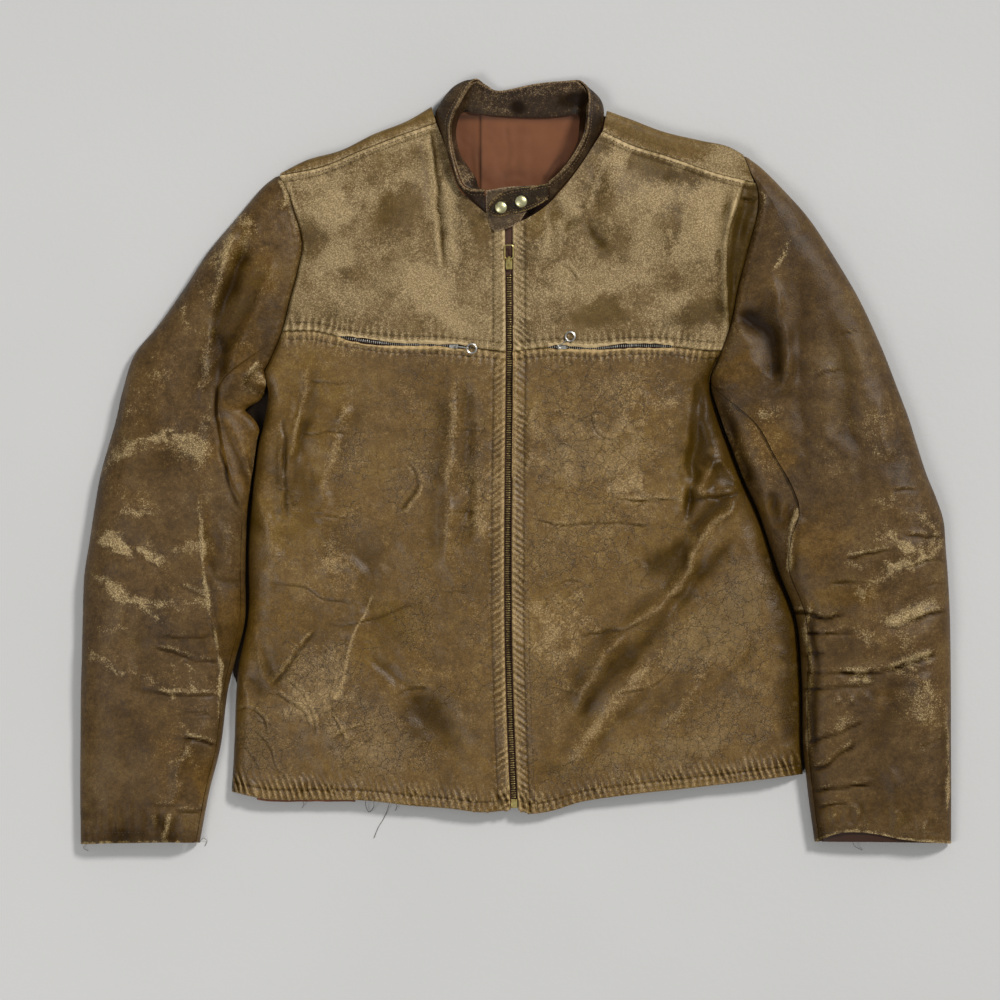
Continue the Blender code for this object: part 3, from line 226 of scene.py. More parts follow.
# The outer edge of the back on the floor, hem first (y, x), and its hem, right to left.
BACK_SIDE = {
    RIGHT: (
        (-300, -259.3), (-255, -256.6), (-186, -252.8), (-144, -244.8), (-78, -244), (-20, -239.5),
        (8, -236), (36, -241), (58, -243.5), (82, -228.5),
    ),
    LEFT: (
        (-284, 262.6), (-256, 260.7), (-204, 259.8), (-144, 254.4), (-99, 237.9), (-42, 218.7),
        (-19, 207.7), (11, 195.9), (40, 185), (73, 175.4), (95, 183),
    ),
}
BACK_HEM = (
    (-259.3, -299), (-182, -304.6), (-95, -309), (-20, -313.5), (12, -315), (97, -300), (210, -288),
    (262.4, -282.6),
)
# The fold over each shoulder, armhole first, the seam in front of it, and the neckline, right to left.
OUTLINE = {
    RIGHT: ((-214, 264.2), (-191.5, 275.6), (-159, 285), (-129.8, 299.5), (-98.3, 312), (-77, 324.5)),
    LEFT: ((207.5, 281.1), (196.1, 287.5), (168.6, 293.9), (134.8, 302), (103, 314), (83.5, 321)),
}
SHOULDER = {
    RIGHT: ((-214.5, 261.6), (-176.9, 269.2), (-139.4, 284.7), (-111.1, 295.7), (-72.5, 309.5)),
    LEFT: ((217.2, 255.2), (181.4, 264.1), (154, 273.7), (134.8, 280.1), (107.4, 288.4), (79.5, 302)),
}
BACK_NECK = ((-66, 318.5), (-44, 316), (-15, 313), (18, 312), (45, 313), (74, 316))
SHOULDER_RADIUS = 8.0
SHOULDER_MOST = 0.6  # of the distance from the outline to the seam
SHOULDER_Z = 2 * SHOULDER_RADIUS
SHOULDER_SLOPE = 62.0  # how far below the seam the front reaches its full height
SEAM = 0.3  # gap between panels that are sewn together
REST = 0.4  # gap under a piece that lies on another


def smooth(at, knots, values):
    """The values at these places on a smooth curve through the knots."""
    knots = np.asarray(knots, float)
    values = np.asarray(values, float)
    at = np.clip(at, knots[0], knots[-1])
    slope = np.gradient(values, knots)
    i = np.clip(np.searchsorted(knots, at) - 1, 0, len(knots) - 2)
    step = knots[i + 1] - knots[i]
    t = (at - knots[i]) / step
    held = (1 + 2 * t) * (1 - t) ** 2 * values[i] + t * t * (3 - 2 * t) * values[i + 1]
    return held + step * (t * (1 - t) ** 2 * slope[i] + t * t * (t - 1) * slope[i + 1])


def along(points, shares):
    """Points at these shares of the length of a smooth line through the given ones."""
    points = np.asarray(points, float)
    steps = np.linalg.norm(np.diff(points, axis=0), axis=1)
    reach = np.concatenate([[0], np.cumsum(steps)]) / steps.sum()
    return np.stack([smooth(shares, reach, column) for column in points.T], axis=-1)


def read_rows(table, rows):
    """Rows of a table at fractional row numbers."""
    count = np.arange(len(table))
    return np.stack([smooth(rows, count, column) for column in np.asarray(table, float).T], axis=-1)


def roll(share):
    """Height on a quarter circle, from 0 at its foot to 1."""
    return np.sqrt(1 - (1 - np.clip(share, 0, 1)) ** 2)


def ease(share):
    """From 0 to 1, starting and ending gently."""
    share = np.clip(share, 0, 1)
    return share * share * (3 - 2 * share)


def bell(off, width):
    """1 on a line, dying out on both sides of it over about this width."""
    return np.exp(-((off / width) ** 2))


def noise(x, y, cell, seed):
    """Smooth value noise from -1 to 1 with this spacing in millimetres."""
    lattice = np.random.default_rng(seed).uniform(-1, 1, (128, 128))
    x, y = np.asarray(x, float) / cell + 1000, np.asarray(y, float) / cell + 1000
    i, j = np.floor(x).astype(int), np.floor(y).astype(int)
    u, v = ease(x - i), ease(y - j)
    i, j, k, m = i % 128, j % 128, (i + 1) % 128, (j + 1) % 128
    low = lattice[i, j] * (1 - u) + lattice[k, j] * u
    return low * (1 - v) + (lattice[i, m] * (1 - u) + lattice[k, m] * u) * v


def offsets(line, x, y, reach):
    """How far each place is off a line, positive on its left, and how far along it.
    Places further than the reach from the line's box are skipped."""
    shape = np.shape(x)
    line = np.asarray(line, float)
    x, y = np.ravel(x), np.ravel(y)
    off, run = np.full(x.shape, 1e3), np.zeros(x.shape)
    near = np.flatnonzero((x > line[:, 0].min() - reach) & (x < line[:, 0].max() + reach)
                          & (y > line[:, 1].min() - reach) & (y < line[:, 1].max() + reach))
    if len(near):
        px, py = x[near], y[near]
        best, side, place = np.full(px.shape, 1e3), np.ones(px.shape), np.zeros(px.shape)
        start = 0.0
        for a, b in zip(line, line[1:]):
            step = b - a
            size = max(float(np.hypot(*step)), 1e-6)
            t = np.clip(((px - a[0]) * step[0] + (py - a[1]) * step[1]) / size ** 2, 0, 1)
            dx, dy = px - a[0] - t * step[0], py - a[1] - t * step[1]
            far = np.hypot(dx, dy)
            closer = far < best
            best = np.where(closer, far, best)
            side = np.where(closer, np.sign(step[0] * dy - step[1] * dx), side)
            place = np.where(closer, start + t * size, place)
            start += size
        off[near], run[near] = best * side, place
    return off.reshape(shape), run.reshape(shape)


def fine_line(points, spacing=4.0):
    """A smooth line through the points, cut into short steps."""
    points = np.asarray(points, float)
    length = np.linalg.norm(np.diff(points, axis=0), axis=1).sum()
    return along(points, np.linspace(0, 1, max(3, int(length / spacing) + 1))), length


def body_column(side, y, column):
    """One of the body's columns at these heights."""
    rows = dict(zip(BODY_COLUMNS, np.asarray(BODY[side], float).T))
    return smooth(y, rows["y"], rows[column])


def armhole(side, gap=0.0):
    """A dense line along the armhole seam, underarm first."""
    rows = read_rows(SLEEVE[side], np.linspace(UNDERARM_ROW - 1, 0, 160))
    return rows[:, 0] - side * gap, rows[:, 1]


def body_side(side, y, gap=SEAM / 2):
    """The front's side edge: along the armhole, and smooth below it."""
    seam_x, seam_y = armhole(side, gap)
    return np.where(np.asarray(y) >= seam_y[0], np.interp(y, seam_y, seam_x), body_column(side, y, "edge_x"))


def patch(top, bottom, left, right, levels=None):
    """A plan grid filled in between four edges (rows run from top to bottom)."""
    left[0], left[-1], right[0], right[-1] = top[0], bottom[0], top[-1], bottom[-1]
    v = (np.linspace(0, 1, len(left)) if levels is None else levels)[:, None, None]
    u = np.linspace(0, 1, len(top))[None, :, None]
    sheet = (1 - v) * top[None] + v * bottom[None] + (1 - u) * left[:, None] + u * right[:, None]
    corners = (1 - u) * (1 - v) * top[0] + u * (1 - v) * top[-1]
    return sheet - (corners + (1 - u) * v * bottom[0] + u * v * bottom[-1])


def normals_of(grid):
    """Unit normals at a grid's points, from its rows and columns; missing points are skipped."""
    def slope(axis):
        ahead = np.roll(grid, -1, axis)
        behind = np.roll(grid, 1, axis)
        edge = [slice(None)] * 3
        edge[axis] = -1
        ahead[tuple(edge)] = np.nan
        edge[axis] = 0
        behind[tuple(edge)] = np.nan
        ahead = np.where(np.isfinite(ahead), ahead, grid)
        behind = np.where(np.isfinite(behind), behind, grid)
        return ahead - behind
    across = np.cross(slope(0), slope(1))
    return across / np.maximum(np.linalg.norm(across, axis=-1, keepdims=True), 1e-9)


def shell(name, grid, thickness, inward, finish, marks=None, closed=False, skip=1):
    """A thin closed sheet in millimetres: the grid is its outer face. Marks are attributes of its points,
    and a pair of them gives the outer face and the inner one, which can skip lines of a full grid."""
    shape = grid.shape[:2]
    wrapped = np.concatenate([grid[:, -1:], grid, grid[:, :1]], axis=1) if closed else grid
    normal = normals_of(wrapped)[:, 1:-1] if closed else normals_of(grid)
    inner = grid + inward * thickness * normal
    number = np.arange(shape[0] * shape[1]).reshape(shape)
    ahead = np.roll(number, -1, 1) if closed else number[:, 1:]
    here = number if closed else number[:, :-1]
    outer = np.stack([here[:-1], ahead[:-1], ahead[1:], here[1:]], axis=-1).reshape(-1, 4)
    points = np.concatenate([grid.reshape(-1, 3), inner.reshape(-1, 3)])
    outer = outer[np.isfinite(points[outer]).all(axis=(1, 2))]
    edges = np.concatenate([outer[:, [0, 1]], outer[:, [1, 2]], outer[:, [2, 3]], outer[:, [3, 0]]])
    key = np.sort(edges, axis=1)
    key = key[:, 0] * len(points) + key[:, 1]
    _, first, count = np.unique(key, return_index=True, return_counts=True)
    rim = edges[first[count == 1]]
    half = shape[0] * shape[1]
    sides = list(np.column_stack([rim[:, 1], rim[:, 0], rim[:, 0] + half, rim[:, 1] + half]))
    below = outer + half
    if skip > 1:
        kept = [np.unique(np.append(np.arange(0, size, skip), size - 1)) for size in shape]
        low = number[np.ix_(*kept)] + half
        below = np.stack([low[:-1, :-1], low[:-1, 1:], low[1:, 1:], low[1:, :-1]], axis=-1).reshape(-1, 4)
        sides = []
        for line, at, way in ((number[0], kept[1], -1), (number[:, -1], kept[0], -1),
                              (number[-1], kept[1], 1), (number[:, 0], kept[0], 1)):
            for a, b in zip(at, at[1:]):
                run = line[a:b + 1][::way]
                sides.append([*run, run[-1] + half, run[0] + half])
    faces = [*outer, *below[:, ::-1], *sides]
    sizes = np.array([len(face) for face in faces])
    faces = np.concatenate([face[::-1] if inward > 0 else face for face in faces])
    used, faces = np.unique(faces, return_inverse=True)
    mesh = bpy.data.meshes.new(name)
    mesh.vertices.add(len(used))
    mesh.vertices.foreach_set("co", (points[used] * MM).astype(np.float32).ravel())
    mesh.loops.add(faces.size)
    mesh.loops.foreach_set("vertex_index", faces.astype(np.int32).ravel())
    mesh.polygons.add(len(sizes))
    mesh.polygons.foreach_set("loop_start", (np.cumsum(sizes) - sizes).astype(np.int32))
    mesh.update(calc_edges=True)
    mesh.validate()
    for mark, values in (marks or {}).items():
        layer = mesh.attributes.new(mark, "FLOAT", "POINT")
        faced = values if isinstance(values, tuple) else (values, values)
        both = np.concatenate([np.ravel(part) for part in faced])
        layer.data.foreach_set("value", both[used].astype(np.float32))
    mesh.materials.append(finish)
    mesh.shade_smooth()
    mesh.set_sharp_from_angle(angle=SHARP_ANGLE)
    return new_object(name, mesh)


def declare(thing, nodes_replaced):
    """What every sheet of the jacket says: its body, and the solids it stands for, which are hidden."""
    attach(thing, "root")
    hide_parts(*nodes_replaced)


def leather(name, low, middle, high, scuff, shine, gleam=0.3, glow=1.05):
    """Drum-dyed cowhide under old wax: cloudy colour, a fine grain, dark cracks, and bare pale fibre
    where the wear_and_highlight attribute is high, almost white on rubbed edges; in places that pale
    colour stands in for a painted highlight. The stain_and_shade attribute darkens it, as real stain and
    as painted shade in creases, troughs and gaps, near black where that painted shade is deepest. The
    gold_and_highlight attribute warms it, as golden wax and in places as a painted highlight."""
    made, tree = new_material(name)
    place = add(tree, "ShaderNodeTexCoord").outputs["Object"]

    def field(mark):
        return add(tree, "ShaderNodeAttribute", attribute_name=mark).outputs["Fac"]

    def pattern(size, detail, rough, output="Fac"):
        return add(tree, "ShaderNodeTexNoise", {"Vector": place, "Scale": 1 / (size * MM), "Detail": detail,
                                                "Roughness": rough}).outputs[output]

    def maths(operation, a, b=0.0, c=0.0):
        return add(tree, "ShaderNodeMath", {0: a, 1: b, 2: c}, operation=operation).outputs[0]

    def fma(a, b, c):
        return maths("MULTIPLY_ADD", a, b, c)

    def times(a, b):
        return maths("MULTIPLY", a, b)

    def vector(operation, inputs):
        return add(tree, "ShaderNodeVectorMath", inputs, operation=operation).outputs[0]

    def ramp(value, low_at, high_at):
        return add(tree, "ShaderNodeMapRange", {0: value, 1: low_at, 2: high_at},
                   interpolation_type="SMOOTHSTEP", clamp=True).outputs[0]

    def toned(colour, **settings):
        return add(tree, "ShaderNodeHueSaturation", {**settings, "Color": colour}).outputs[0]

    wear_and_highlight, stain_and_shade, crackle, gold_and_highlight = (field(mark) for mark in ("wear_and_highlight", "stain_and_shade", "crackle", "gold_and_highlight"))
    cloud = pattern(48, 3, 0.55)
    mottle = pattern(11, 4, 0.6)
    speck = pattern(3.4, 3, 0.65)
    grit = pattern(1.25, 2, 0.75)
    tone = fma(cloud, 0.4, fma(mottle, 0.3, times(speck, 0.3)))
    colour = blend(tree, ramp(tone, 0.38, 0.52), low, middle)
    colour = blend(tree, ramp(tone, 0.48, 0.62), colour, high)
    colour = blend(tree, gold_and_highlight, colour, toned(colour, Hue=0.501, Saturation=1.1, Value=glow))
    grain = fma(ramp(grit, 0.36, 0.64), 0.4, 0.8)
    colour = toned(colour, Value=grain)

    smear = times(ramp(fma(speck, 0.5, wear_and_highlight), 0.5, 1.4), 0.55)
    colour = blend(tree, smear, colour, scuff)
    patchy = fma(mottle, 0.75, fma(speck, 0.8, wear_and_highlight))
    bare = ramp(fma(grit, 1.7, patchy), 1.86, 2.5)
    rubbed = blend(tree, ramp(grit, 0.4, 0.64), high, scuff)
    colour = blend(tree, times(bare, 0.86), colour, rubbed)
    frayed = [min(1.3 * part, 1.0) for part in linear(scuff)[:3]] + [1.0]
    edges = ramp(fma(grit, 0.8, wear_and_highlight), 1.5, 2.2)
    colour = blend(tree, times(edges, 0.75), colour, frayed)
    # Stain and painted shade: the stain_and_shade mark darkens the colour, as real stain and as painted shade
    # in creases, troughs and gaps.
    soot_and_shade = times(stain_and_shade, fma(mottle, 0.7, fma(speck, 0.7, 0.1)))
    soot_and_shade = add(tree, "ShaderNodeClamp", {0: soot_and_shade}).outputs[0]
    dark = toned(colour, Saturation=1.3, Value=0.3)
    colour = blend(tree, times(soot_and_shade, 0.9), colour, dark)
    # Painted shade: where the mark is deepest, in holes and gaps, the colour goes to near black.
    colour = blend(tree, times(ramp(stain_and_shade, 0.9, 2.2), 0.9), colour, "#190D04")

    shake = pattern(7, 3, 0.6, "Color")
    shake = vector("SUBTRACT", {0: shake, 1: (0.5, 0.5, 0.5)})
    warped = vector("ADD", {0: place, 1: vector("SCALE", {0: shake, "Scale": 9 * MM})})

    def cells(size, **settings):
        return add(tree, "ShaderNodeTexVoronoi", {"Vector": warped, "Scale": 1 / (size * MM)},
                   **settings).outputs["Distance"]

    nets = []
    for size, width, low_at, high_at in ((14, 0.03, 0.78, 1.0), (5.5, 0.06, 0.85, 1.15)):
        net = cells(size, feature="DISTANCE_TO_EDGE")
        broken = ramp(fma(pattern(size * 1.7, 2, 0.5), 0.9, crackle), low_at, high_at)
        nets.append(times(ramp(net, width, 0.0), broken))
    cracks = maths("MAXIMUM", nets[0], times(nets[1], 0.7))
    flake = times(ramp(fma(grit, 0.9, crackle), 0.95, 1.5), 0.2)
    colour = blend(tree, flake, colour, scuff)
    colour = blend(tree, times(cracks, 0.75), colour, dark)

    gloss = fma(speck, 0.16, shine - 0.08)
    gloss = fma(bare, 0.2, gloss)
    gloss = fma(gold_and_highlight, -0.04, gloss)
    relief = fma(cells(1.9), 0.2, times(grit, 0.4))
    relief = fma(mottle, 0.9, relief)
    relief = fma(cracks, -0.6, relief)
    bump = bumped(tree, relief, 0.55, 1.1 * MM)
    sheen = fma(soot_and_shade, -0.6 * gleam, gleam)
    surface(tree, colour, gloss, Normal=bump, Specular_IOR_Level=sheen)
    return made


def build_back(finish):
    """The floor part is coarse; the fold over each shoulder is fine and has a lapped, puckered edge."""
    shares = np.linspace(0, 1, FOLD_COLUMNS)
    fold = {}
    for side in (RIGHT, LEFT):
        out, seam = along(OUTLINE[side], shares), along(SHOULDER[side], shares)
        span = np.linalg.norm(seam - out, axis=-1, keepdims=True)
        reach = (seam - out) / span * np.minimum(SHOULDER_RADIUS, SHOULDER_MOST * span)
        fold[side] = (seam, out + reach, reach)
    neck = along(BACK_NECK, np.linspace(0, 1, NECK_COLUMNS))[1:-1]
    top = np.vstack([fold[RIGHT][1], neck, fold[LEFT][1][::-1]])
    sides = {}
    for side in (RIGHT, LEFT):
        columns = np.asarray(BACK_SIDE[side], float).T
        y = np.linspace(fold[side][1][0][1], columns[0][0], BACK_LINES)
        seam_x, seam_y = armhole(side, SEAM)
        x = np.where(y > seam_y[0], np.interp(y, seam_y, seam_x), smooth(y, columns[0], columns[1]))
        sleeve = np.array([row[:2] for row in SLEEVE[side][UNDERARM_ROW:]])
        beside = np.interp(y, sleeve[::-1, 1], sleeve[::-1, 0]) + side * 2.2
        near = ease((9 - np.abs(beside - x)) / 3) * ease((seam_y[0] - y) / 20)
        x = x + (beside - x) * near
        x[0] = fold[side][1][0][0]
        sides[side] = np.stack([x, y], axis=-1)
    plan = patch(top, along(BACK_HEM, np.linspace(0, 1, len(top))), sides[RIGHT], sides[LEFT])
    floor = np.dstack([plan, np.zeros(plan.shape[:2])])
    places = {RIGHT: slice(0, FOLD_COLUMNS), LEFT: slice(len(top) - FOLD_COLUMNS, None)}
    angles = np.radians(np.linspace(*FOLD_TURN, 11))
    flats = np.linspace(0, 1, 10)[:-1]
    over = [np.full((len(top), 3), np.nan) for _ in range(len(angles) + len(flats))]
    for side, at in places.items():
        seam, foot, reach = fold[side]
        gap = SEAM * reach / np.linalg.norm(reach, axis=-1, keepdims=True)
        lines = []
        for t in flats:
            plan_line = (seam - gap) * (1 - t) + foot * t
            turned = 0.9 * (1 - roll(t * 9 / 2.2))
            lines.append(np.column_stack([plan_line, np.full(FOLD_COLUMNS, SHOULDER_Z) - turned]))
        for angle in angles:
            height = SHOULDER_RADIUS * (1 - math.cos(angle))
            lines.append(np.column_stack([foot - reach * math.sin(angle), np.full(len(foot), height)]))
        for row, line in zip(over, lines):
            row[at] = line if side == RIGHT else line[::-1]
    grid = np.array([*over, *floor])
    z = grid[..., 2]
    x, y = np.nan_to_num(grid[..., 0]), np.nan_to_num(grid[..., 1])
    upper = np.nan_to_num(ease((z - 6) / 8))
    pucker = np.zeros(x.shape)
    seam_off = np.full(x.shape, 1e3)
    for side in (RIGHT, LEFT):
        off, run = offsets(fine_line(SHOULDER[side])[0], x, y, 30)
        seam_off = np.where(np.abs(off) < np.abs(seam_off), off, seam_off)
        pucker += 0.5 * np.sin(run * 2 * math.pi / 6.5 + 2 * noise(run, off, 14, 3)) * bell(off, 6)
    bumps = 0.9 * noise(x, y, 22, 4) + 0.4 * noise(x, y, 8, 5)
    grid[..., 2] = z + upper * (pucker + 0.5 * bumps) * ease(np.abs(seam_off) / 3)
    edge_rub = np.exp(-(np.abs(seam_off) - 1) ** 2 / 8)
    # Painted shade: the inner face of the back's flat part is darkened almost to black, so where it shows in
    # the gaps beside the sleeves and in the armpit hole it reads as deep shadow.
    shaded_flat_part = np.nan_to_num(ease((6 - z) / 4)) * (y < 230)
    stain_and_shade = 0.12 + 0.25 * noise(x, y, 30, 7)
    band_off = np.nan_to_num(np.abs(seam_off), nan=1e3)
    puckered = np.nan_to_num(ease((z - 6) / 8))
    # The shoulder fold's puckers are paler on their crests, as wear and painted highlight.
    marks = {
        "wear_and_highlight": 0.04 + 0.42 * edge_rub + 0.45 * np.maximum(pucker, 0)
        + 0.3 * noise(x, y, 16, 6) + 0.8 * bell(x - 188, 18) * puckered,
        "stain_and_shade": (stain_and_shade + 0.4 * bell(band_off - 7.5, 1.2), stain_and_shade + 2.2 * shaded_flat_part),
        "crackle": np.full(x.shape, 0.3),
        "gold_and_highlight": np.full(x.shape, 0.7),
    }
    thing = shell("back_leather", grid, LEATHER, 1, finish, marks)
    declare(thing, ["back"])


body_leather = leather("waxed_cowhide_body", "#543E1E", "#654C28", "#735A32", "#AC9062", 0.4, 0.38)
yoke_leather = leather("waxed_cowhide_yoke", "#56421F", "#6B5430", "#77613B", "#B69E75", 0.52)
build_back(yoke_leather)


# The fronts: two yokes and two lower panels of the same hide. The yokes are rubbed pale and gritty, the
# lower panels have kept their golden wax, and years of wear have creased, cracked and puckered them all.
CHEST = {
    RIGHT: (
        (-209.8, 119.6), (-180.5, 119), (-161.7, 114.6), (-122.4, 108.4), (-64.4, 106.2), (-27.9, 103),
        (-9.6, 100.6),
    ),
    LEFT: (
        (188.7, 101.6), (172.3, 102), (142.1, 105.2), (97.3, 105.6), (73.6, 103.6), (34.3, 104.8),
        (-2.4, 101),
    ),
}
HEM = {
    RIGHT: (
        (-259.5, -300.4), (-229.9, -306.7), (-182.3, -307.6), (-135.7, -308.5), (-95.5, -313),
        (-59.9, -315.8), (-28.8, -319.2), (-7.4, -317.4),
    ),
    LEFT: (
        (262.6, -284.4), (209.8, -291.1), (154, -297.5), (97.3, -303.9), (57.1, -310.3), (29.7, -318.6),
        (11.4, -320.1), (4.6, -318),
    ),
}
NECK = {
    RIGHT: (
        (-72.5, 309.5), (-64.6, 289.3), (-58.6, 268), (-51, 248), (-39, 236.5), (-26.5, 226.5), (-9.7, 216),
    ),
    LEFT: ((79.5, 302), (69.5, 286.4), (58.5, 269.5), (43.5, 250), (28, 233.6), (14, 224), (-2.6, 216)),
}
# The zip, collar end first: (y, middle x). The fronts stand back from it on each side.
ZIP_LINE = ((-320, -0.8), (-255, -3.9), (-160, -6.6), (-80, -7), (0, -6.4), (75, -5.6), (216, -6.2))
ZIP_HALF_GAP = 3.5
# The pocket openings in the chest seams: far end and slider end (x), and how far the lips part (x, half gap).
POCKET = {RIGHT: (-163, -43), LEFT: (143.5, 30)}
LIPS = {
    RIGHT: (
        (-163, 0.3), (-150, 1.9), (-125, 2.1), (-104, 1.3), (-88, 0.9), (-66, 1), (-50, 1.7), (-43, 0.4),
    ),
    LEFT: ((30, 0.4), (38, 1.8), (52, 0.9), (72, 0.9), (88, 1.9), (120, 2.1), (134, 1.7), (143.5, 0.3)),
}
FOLD_MARGIN = 24.0  # folds die out this near a free edge
# Broad folds, as in the solids: (x, y) to (x, y), height, half width.
FOLDS = (
    (-84, 320, -66, 196, -3, 7), (-76, 312, -56, 200, 3, 9), (79, 278, 62, 210, -2.5, 10),
    (96, 270, 84, 205, 2.5, 12), (205, 262, 191, 190, 4, 7), (191, 205, 193, 112, 4, 7),
    (216, 262, 207, 190, -4.5, 7), (207, 200, 196, 110, -4, 7), (210, -20, 148, -140, 5.5, 11),
    (158, -118, 56, -232, 5, 13), (196, -44, 132, -150, -4, 9), (136, -152, 50, -262, -3.5, 12),
    (182, 8, 164, -38, 4, 9), (168, 40, 166, -20, -5, 9), (206, -28, 160, -34, 3, 8),
    (-206, 76, -210, -60, 3, 8), (-190, 84, -194, -70, -2, 9), (-59, 76, -60, -80, 2.5, 9),
    (-42, 76, -43, -80, -2.5, 9), (-131, -112, -160, -212, 2, 10), (-120, -70, -96, -130, -2.5, 14),
    (110, 40, 40, 10, 2, 14), (-160, 60, -110, 10, 2, 16), (-225, -190, -130, -270, 2, 14),
    (205, 134, 234, 86, -4, 9), (246, 104, 240, 60, 3, 8), (-268, 110, -240, 205, -4, 10),
    (-288, 60, -284, -120, 2, 8), (-330, 130, -290, 60, -2, 14), (255, -38, 250, -104, 3.5, 7),
    (262, -126, 262, -270, 3, 7), (-372, -66, -300, -100, -2.5, 12), (-378, -122, -290, -140, 2.5, 12),
    (-382, -160, -300, -178, -2.5, 12), (-376, -10, -290, 40, 2.5, 16), (300, -92, 388, -70, 2.5, 12),
    (290, -132, 392, -120, -2.5, 12), (300, -170, 390, -156, 2.5, 12), (285, -205, 380, -210, -2, 12),
    (300, 60, 340, -20, -2.5, 16),
)
